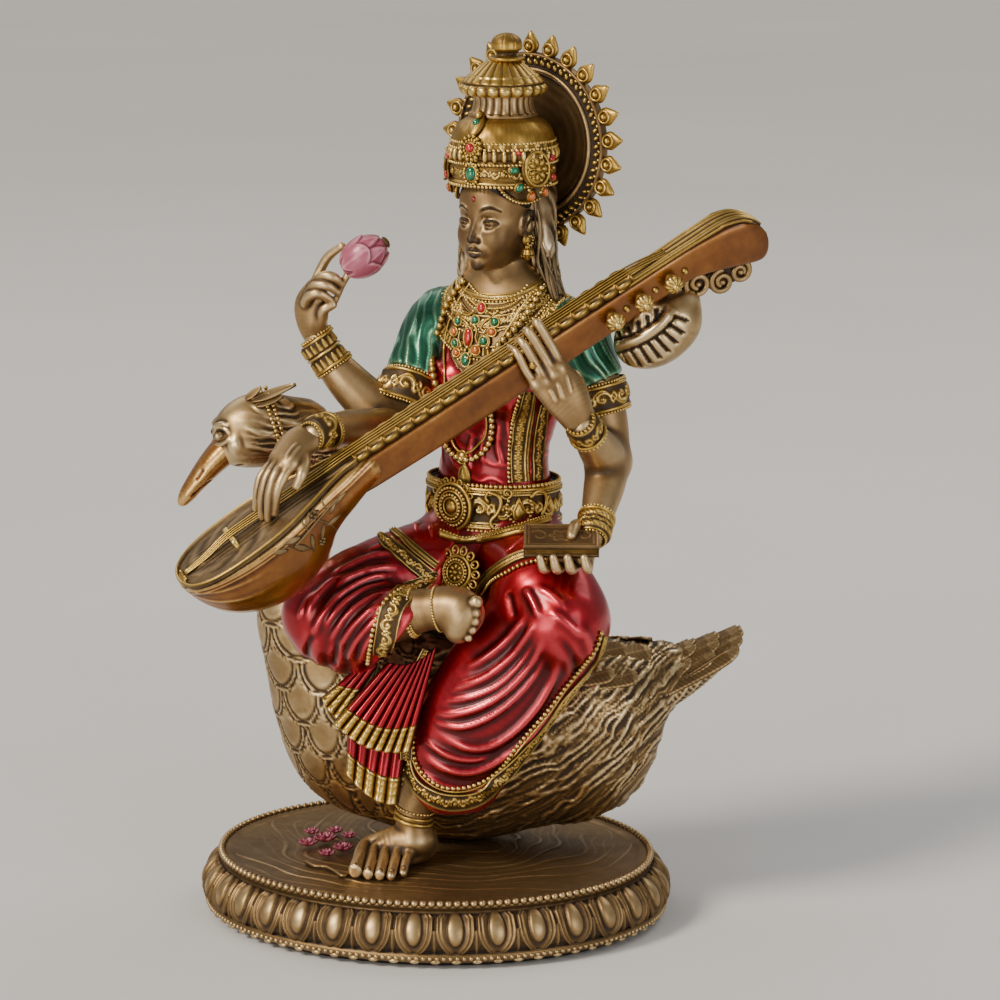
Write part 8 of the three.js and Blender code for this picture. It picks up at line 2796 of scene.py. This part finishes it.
def spiral_on(c, n, x, r0, r1, turns, a0, rc, k=36, lift=0.3):
    B = basis(x, n)
    t = np.linspace(0, 1, k)
    a = math.radians(a0) + turns * 2 * math.pi * t
    r = r0 + (r1 - r0) * t
    P = np.array([c + n * lift + B[:, 0] * r[i] * math.cos(a[i]) + B[:, 1] * r[i] * math.sin(a[i]) for i in range(k)])
    return cord_mesh(P, np.tile(n, (k, 1)), rc, 6)


def build_belt():
    c = np.array([11.5, 15.7, 0.0])
    a = np.linspace(0, 2 * math.pi, 140, endpoint=False)
    P = np.array([c + TF * 13.9 * math.cos(t) + TL * 17.9 * math.sin(t) + ZZ * 107.9 for t in a])
    N = np.array([unit(TF * math.cos(t) / 13.9 + TL * math.sin(t) / 17.9) for t in a])
    parts = [band(P, N, 4.9, [(-0.98, -0.84, "bead"), (-0.82, -0.72, "ridge"), (-0.66, 0.66, "scroll"), (0.72, 0.82, "ridge"), (0.84, 0.98, "bead")], 0.7, 0.3, 0.2, True, None, 2.2)]
    for z0, r_, k in ((102.9, 0.62, 1.0), (112.9, 0.62, 0.985)):
        Q = np.array([c + TF * 14.2 * k * math.cos(t) + TL * 18.2 * k * math.sin(t) + ZZ * z0 for t in a])
        parts.append(cord_mesh(Q, N, 0.55, 7, None, 1.0, True))
        parts.append(bead_line(Q + ZZ * (0.95 if z0 > 110 else -0.95) - N * 0.2, N, 0.6, 1.25, True, 1))
    put("belt_band", parts, "gold", ("belt",))

    # buckle disc
    bc = np.array([11.5, 15.8, 108.0]) + TF * 14.6 - TL * 4.2
    n = unit(TF - 0.22 * TL)
    parts = [dome(bc - n * 0.8, n, 6.3, 1.6, ZZ, 1, 48, 6)]
    # ground disc darkened under the rings: patina plus painted shade
    parts[0].extra["_c"] *= 0.5
    parts += [ring(bc + n * 0.25, n, 6.0, 0.55), bring(bc + n * 0.55, n, 4.95, 0.5), ring(bc + n * 0.75, n, 4.05, 0.35), bring(bc + n * 0.95, n, 3.2, 0.45), ring(bc + n * 1.0, n, 2.4, 0.3), dome(bc + n * 0.7, n, 1.75, 0.9, ZZ, 1, 26, 5)]
    # crescent of loops hanging over the top
    for k in range(7):
        t = math.radians(30 + 20 * k)
        d = unit(np.cross(ZZ, n)) * math.cos(t) + ZZ * math.sin(t)
        parts.append(ring(bc + d * 6.9 + n * 0.1, n, 0.75, 0.28, ZZ, 1, 20))
    put("belt_buckle_disc", parts, "gold", ("belt_buckle",))

    # scrolls, beaded U and drops in front of the belt
    def bp_(x, y):
        d = ray(x, y)
        # belt surface as an upright ellipse
        o = CAM - c
        A_ = (d @ TF / 14.4) ** 2 + (d @ TL / 18.4) ** 2
        B_ = 2 * ((o @ TF) * (d @ TF) / 14.4 ** 2 + (o @ TL) * (d @ TL) / 18.4 ** 2)
        C_ = (o @ TF / 14.4) ** 2 + (o @ TL / 18.4) ** 2 - 1
        D_ = B_ * B_ - 4 * A_ * C_
        if D_ < 0:
            return None
        t = (-B_ - math.sqrt(D_)) / (2 * A_)
        p = CAM + d * t
        q = p - c
        return p, unit(TF * (q @ TF) / 14.4 ** 2 + TL * (q @ TL) / 18.4 ** 2)
    parts = []
    for L, rc in (([(489, 492), (499, 496), (501, 505), (497, 514), (491, 521), (494, 528), (500, 527)], 0.6), ([(489, 492), (486, 497), (489, 502)], 0.45), ([(530, 497), (536, 491), (543, 493), (545, 503), (541, 514), (545, 522)], 0.5), ([(433, 492), (429, 503), (431, 515), (437, 523)], 0.5)):
        pn = [bp_(*p) for p in spline(np.array([(a_, b_, 0) for a_, b_ in L], float), 26)[:, :2]]
        pn = [p for p in pn if p]
        parts.append(cord_mesh(np.array([p + q * 0.55 for p, q in pn]), np.array([q for _, q in pn]), rc, 7))
    pn = [bp_(519 + 15 * math.cos(t) * 0.82, 508 - 15 * math.sin(t)) for t in np.radians(np.linspace(150, 390, 20))]
    pn = [p for p in pn if p]
    parts.append(bead_line(np.array([p + q * 0.5 for p, q in pn]), np.array([q for _, q in pn]), 0.5, 1.05, False, 1))
    p, q = bp_(507, 493)
    parts.append(spiral_on(p, q, TL, 1.6, 0.4, 1.4, 200, 0.35, lift=0.5))
    parts.append(dome(p + q * 0.4, q, 0.45, 0.5, ZZ, 1, 10, 4))
    for (x, y), r_ in (((519, 511), 1.55), ((548, 503), 1.1)):
        p, q = bp_(x, y)
        parts.append(dome(p + q * 0.2, q, r_ * 1.25, 0.55, ZZ, 1.55, 22, 4, "drop"))
        parts.append(dome(p + q * 0.5, q, r_ * 0.9, 0.9, ZZ, 1.45, 20, 6, "drop"))
    put("belt_scrolls", parts, "gold", ())
    # rolled sash under the belt
    parts = []
    for L, r_ in (([(440, 534), (462, 540), (490, 536), (520, 529), (548, 519)], 1.1), ([(478, 541), (500, 537), (524, 531)], 0.8)):
        P, N = surf(ALLB, L, 60, 0.3)
        if len(P) > 4:
            parts.append(cord_mesh(P, N, r_, 9))
            parts.append(bead_line(P + N * r_ * 0.75 + ZZ * 0.3, N, 0.34, 0.9, False, 1))
    put("waist_roll", parts, "gold", ())

    # lap medallion with looped petals
    mc = np.array([6.0, -5.6, 97.0])
    n = unit(TF * 0.95 - 0.12 * TL + 0.18 * ZZ)
    h_ = hit(ALLB, 458, 569.5)
    if h_ is not None:
        mc = h_[0] + n * 1.2 + VH * 3.4 + VR * 0.5
    parts = [dome(mc - n * 1.6, n, 4.8, 2.4, ZZ, 1, 44, 6)]
    # ground disc darkened under the rings: patina plus painted shade
    parts[0].extra["_c"] *= 0.45
    parts += [ring(mc + n * 0.25, n, 4.2, 0.5), bring(mc + n * 0.55, n, 3.35, 0.42), ring(mc + n * 0.75, n, 2.65, 0.28), dome(mc + n * 0.75, n, 0.75, 0.9, ZZ, 1, 16, 5)]
    U = unit(np.cross(ZZ, n)); W = np.cross(n, U)
    for k in range(8):
        t = k * math.pi / 4
        d = U * math.cos(t) + W * math.sin(t)
        parts.append(dome(mc + d * 1.55 + n * 0.6, n, 0.52, 0.6, d, 1.6, 12, 4))
    for k in range(14):
        t = k * 2 * math.pi / 14
        d = U * math.cos(t) + W * math.sin(t)
        if math.sin(t) < -0.95:
            continue
        parts.append(ring(mc + d * 5.75 - n * 0.15, n, 0.92, 0.34, d, 1.25, 22))
        parts.append(beads(np.array([mc + d * 5.7 + n * 0.05]), np.array([n]), 0.40, 1, 0))
    put("lap_medallion_rosette", parts, "gold", ("lap_medallion",))


build_belt()


def build_necklaces():
    g, bd, red, green, orange = [], [], [], [], []
    T_ = TOR
    # collar rows round the neck, front and back
    for rr, zc, dz, w, lay in ((8.6, 163.2, 2.4, 1.0, [(-1, -0.7, "ridge"), (-0.5, 0.5, "rope"), (0.7, 1, "ridge")]), (11.6, 160.4, 5.2, 1.7, [(-1, -0.8, "ridge"), (-0.7, 0.7, "scroll"), (0.8, 1, "ridge")]),
                               (15.0, 157.8, 9.6, 1.6, [(-1, -0.8, "ridge"), (-0.7, 0.7, "petal"), (0.8, 1, "ridge")])):
        P, N = [], []
        for t in np.linspace(0, 2 * math.pi, 72, endpoint=False):
            f_, s_ = math.cos(t), math.sin(t)
            o = np.array([14.1, 17.2, zc]) + TF * (rr * 0.62 * f_) + TL * (rr * s_)
            drop = dz * max(f_, -0.25) * (1 if f_ > 0 else 0.4)
            o = o - ZZ * drop
            a_ = T_.find_nearest(Vector(o))
            P.append(np.array(a_[0])); N.append(np.array(a_[1]))
        P, N = np.array(P), np.array(N)
        for _ in range(3):
            P = (np.roll(P, 1, 0) + 2 * P + np.roll(P, -1, 0)) / 4
            N = unit((np.roll(N, 1, 0) + 2 * N + np.roll(N, -1, 0)) / 4)
        g.append(band(P, N, w, lay, 0.5, 0.35, 0.17, True, T_, 0.6))
        Q = P - ZZ * (w + 0.5)
        Q, M = snap(T_, Q, 0.3)
        bd.append(bead_line(Q, M, 0.45, 1.0, True, 1))
    rows = [([(471, 285), (481, 295), (501, 299), (519, 294), (527, 286)], 0.48),
            ([(463, 291), (472, 306), (492, 313), (512, 310), (530, 296)], 0.45),
            ([(455, 297), (463, 315), (480, 325), (502, 322), (522, 309), (538, 292)], 0.5)]
    for L, r_ in rows:
        P, N = surf(T_, L, 60, 0.3)
        bd.append(bead_line(P, N, r_, r_ * 2.15, False, 1))
    # gold plate work filling the breast below the collar
    for L, w, lay in (([(459, 302), (468, 318), (486, 325), (506, 320), (528, 303)], [1.0, 2.0, 2.4, 2.0, 1.2], [(-1, -0.85, "ridge"), (-0.75, 0.75, "scroll"), (0.85, 1, "ridge")]),
                      ([(468, 296), (478, 306), (493, 309), (510, 306), (524, 296)], [0.9, 1.3, 1.5, 1.3, 0.9], [(-1, -0.75, "ridge"), (-0.6, 0.6, "leaf"), (0.75, 1, "ridge")]),
                      # right shoulder edging beside the sleeve
                      ([(455, 290), (446, 303), (434, 325), (424, 342), (418, 360), (416, 374)], [1.1, 1.4, 1.7, 1.6, 1.3, 1.0], [(-1, -0.8, "ridge"), (-0.7, 0.7, "scroll"), (0.8, 1, "ridge")]),
                      # left shoulder bands
                      ([(548, 284), (541, 297), (528, 314), (514, 330)], [1.6, 2.2, 2.2, 1.6], [(-1, -0.85, "ridge"), (-0.75, 0.75, "scroll"), (0.85, 1, "ridge")]),
                      ([(565, 288), (556, 301), (543, 318), (530, 331)], [1.4, 1.9, 2.0, 1.5], [(-1, -0.85, "ridge"), (-0.75, 0.75, "flower"), (0.85, 1, "ridge")]),
                      # embroidered panel down the side of the waist
                      ([(530, 392), (526, 412), (522, 435), (520, 460), (521, 482)], [2.2, 2.7, 2.7, 2.6, 2.6], [(-1, -0.86, "ridge"), (-0.74, 0.30, "flower"), (0.40, 0.55, "ridge"), (0.62, 0.95, "leaf")]),
                      ([(544, 404), (541, 425), (538, 450), (538, 480)], [1.3, 1.8, 1.9, 1.8], [(-1, -0.8, "ridge"), (-0.65, 0.65, "scroll"), (0.8, 1, "ridge")])):
        P, N = surf(T_, L, 60)
        if len(P) > 5:
            g.append(band(P, N, w, lay, 0.5, 0.35, 0.17, False, T_, 0.6))
    P, N = surf(T_, [(521, 392), (512, 422), (509, 458), (509, 482)], 60, 0.3)
    bd.append(bead_line(P, N, 0.55, 1.2, False, 1))
    P, N = surf(T_, [(448, 287), (440, 302), (428, 322), (418, 342), (411, 362)], 60, 0.3)
    bd.append(bead_line(P, N, 0.5, 1.1, False, 1))
    P, N = surf(T_, [(575, 296), (566, 309), (554, 322), (545, 332)], 60, 0.3)
    bd.append(bead_line(P, N, 0.55, 1.2, False, 1))
    # long garland: right strand, left strand, and the loop below
    for L, r_, lift in (([(466, 283), (452, 302), (443, 326), (437, 351), (436, 371), (440, 396)], 0.95, 0.7), ([(541, 290), (529, 312), (515, 330), (501, 343), (492, 357)], 0.95, 0.7),
                        ([(492, 408), (493, 428), (489, 445), (476, 458), (463, 459), (452, 451), (446, 440), (444, 430)], 0.85, 0.6)):
        P, N = surf(T_, L, 70, lift)
        bd.append(bead_line(P, N, r_, r_ * 2.0, False, 2))
    for L, rc in (([(471, 284), (458, 304), (448, 330), (445, 356), (446, 392)], 0.34), ([(538, 284), (519, 312), (503, 337), (488, 359)], 0.40), ([(486, 408), (487, 428), (480, 444), (467, 453), (457, 448), (452, 436)], 0.36)):
        P, N = surf(T_, L, 60, 0.45)
        bd.append(cord_mesh(P, N, rc, 6))
    # hanging drop at the foot of the loop
    P = [hit(T_, 463, 457), hit(T_, 465, 477)]
    if P[0] is not None and P[1] is not None:
        (p, n), (q, m_) = [(a_[0], a_[1]) for a_ in P]
        g += [dome(p + n * 0.3, n, 1.6, 1.1, ZZ, 1, 22, 6), ring(p + n * 0.4, n, 1.65, 0.35), dome(q, m_, 2.1, 0.8, ZZ, 1.65, 28, 5, "drop"), ring(q + m_ * 0.35, m_, 1.7, 0.32, ZZ, 1.7), dome(q + m_ * 0.4, m_, 1.3, 1.0, ZZ, 1.6, 24, 6, "drop")]
    put("necklace_plates", g, "gold", ("necklace",))
    put("necklace_beads", bd, "gold", ())

    # gem cluster
    gs = []
    lst = [(483, 308, red, 1.1, 1.15), (460, 321, green, 1.05, 1), (477, 320, green, 1.05, 1), (496, 322, green, 1.1, 1), (456, 331.5, orange, 1.1, 0.9), (493, 332, orange, 1.1, 0.9),
           (457, 343, green, 1.0, 1), (485, 341, green, 1.1, 1), (458, 353, orange, 1.0, 0.95), (477, 350, orange, 1.15, 0.95), (467, 360, green, 1.15, 1.35), (470, 337, red, 1.15, 2.0)]
    for x, y, lst_, r_, sq in lst:
        h_ = hit(ALLB, x, y)
        if h_ is None:
            continue
        p, n = h_[0], unit(h_[1] + 0.6 * TF)
        gs.append(dome(p, n, r_ * 1.42, 1.15, ZZ, sq, 22, 4))
        gs.append(ring(p + n * 0.85, n, r_ * 1.18, 0.28, ZZ, sq, 28))
        lst_.append(dome(p + n * 0.75, n, r_ * 1.02, 0.85, ZZ, sq, 22, 6))
    for L in ([(462, 318), (468, 322), (471, 328), (466, 331)], [(492, 318), (486, 322), (482, 329), (487, 332)], [(474, 324), (479, 330), (477, 338), (481, 345)], [(464, 346), (461, 338), (463, 330)], [(470, 347), (474, 354), (470, 358)], [(486, 333), (491, 340), (489, 348)], [(468, 350), (463, 357), (460, 361)], [(476, 312), (470, 316), (465, 314)], [(489, 312), (495, 315), (499, 312)]):
        P, N = surf(ALLB, L, 20, 0.9)
        if len(P) > 3:
            gs.append(cord_mesh(P, N, 0.34, 6))
            gs.append(beads(P[[0, -1]], N[[0, -1]], 0.5, 1, 0.2))
    put("pendant_setting", gs, "gold", ())
    put("pendant_stones_red", red, "gem_red", ())
    put("pendant_stones_green", green, "gem_green", ())
    put("pendant_stones_orange", orange, "gem_orange", ())


build_necklaces()
# ---------------------------------------------------------------- floor, light, camera
def stage():
    m, nt, b = _nodes("floor_paint")
    n = _noise(nt, 3.0, 3.0)
    col = _ramp(nt, n.outputs["Fac"], [(0.3, (0.66, 0.65, 0.635)), (0.7, (0.70, 0.69, 0.675))])
    nt.links.new(col, b.inputs["Base Color"])
    b.inputs["Roughness"].default_value = 0.72
    bpy.ops.mesh.primitive_plane_add(size=60.0, location=(0, 0, 0))
    f = bpy.context.object
    f.name = "floor"
    f.data.materials.append(m)
    w = bpy.data.worlds.new("studio")
    bpy.context.scene.world = w
    w.use_nodes = True
    bg = w.node_tree.nodes["Background"]
    bg.inputs["Color"].default_value = (0.86, 0.85, 0.83, 1)
    bg.inputs["Strength"].default_value = 0.36

    def area(name, loc, target, size, power, color=(1, 1, 1), sy=None):
        d = bpy.data.lights.new(name, "AREA")
        d.energy = power
        d.color = color
        d.shape = "RECTANGLE"
        d.size, d.size_y = size, sy or size
        o = bpy.data.objects.new(name, d)
        bpy.context.scene.collection.objects.link(o)
        o.location = loc
        o.rotation_euler = (Vector(target) - Vector(loc)).to_track_quat("-Z", "Y").to_euler()
        return o
    tgt = (0.01, 0.01, 0.11)
    sun = bpy.data.lights.new("key", "SUN")
    sun.energy = 2.7
    sun.angle = math.radians(16)
    sun.color = (1.0, 0.92, 0.80)
    so = bpy.data.objects.new("key", sun)
    bpy.context.scene.collection.objects.link(so)
    so.rotation_euler = Vector((0.50, 0.62, -0.66)).to_track_quat("-Z", "Y").to_euler()
    area("fill", (0.75, -0.55, 0.30), tgt, 0.5, 2.6, (0.97, 0.97, 1.0), 0.6)
    area("front", (-0.25, -0.85, 0.20), tgt, 0.45, 3.0, (1.0, 0.96, 0.90), 0.45)
    area("rim", (0.55, 0.85, 1.10), tgt, 0.9, 4.0, (1.0, 0.97, 0.92), 0.6)
    area("rim_left", (-0.80, 0.55, 0.95), tgt, 0.8, 2.6, (1.0, 0.96, 0.90), 0.6)
    c = bpy.data.cameras.new("camera")
    c.lens = 149.434
    c.sensor_width = 36.0
    c.clip_start, c.clip_end = 0.05, 20.0
    o = bpy.data.objects.new("camera", c)
    bpy.context.scene.collection.objects.link(o)
    o.location = Vector(CAM / 1000.0)
    o.rotation_euler = (Vector(-VB)).to_track_quat("-Z", "Y").to_euler()
    bpy.context.scene.camera = o


stage()

# anything of the frame not replaced by a detailed piece still gets a worked finish
SLOT_MAT = {"bronze": "bronze", "gold_ornament": "gold", "crimson_lacquer": "crimson", "green_lacquer": "green",
            "amber_lacquer": "amber", "pink_paint": "pink", "felt": "felt"}
node_slot = {s["node"]: s["material_slot"] for s in frame["record"].get("subparts", []) if "node" in s}
for name, ob in frame["nodes"].items():
    if ob.type != "MESH" or ob.hide_render:
        continue
    me = ob.data
    if "cav" not in me.attributes:
        at_ = me.attributes.new("cav", "FLOAT", "POINT")
        at_.data.foreach_set("value", np.full(len(me.vertices), 0.5, np.float32))
    mt = MAT[SLOT_MAT.get(node_slot.get(name, "bronze"), "bronze")]
    for s in ob.material_slots:
        s.material = mt
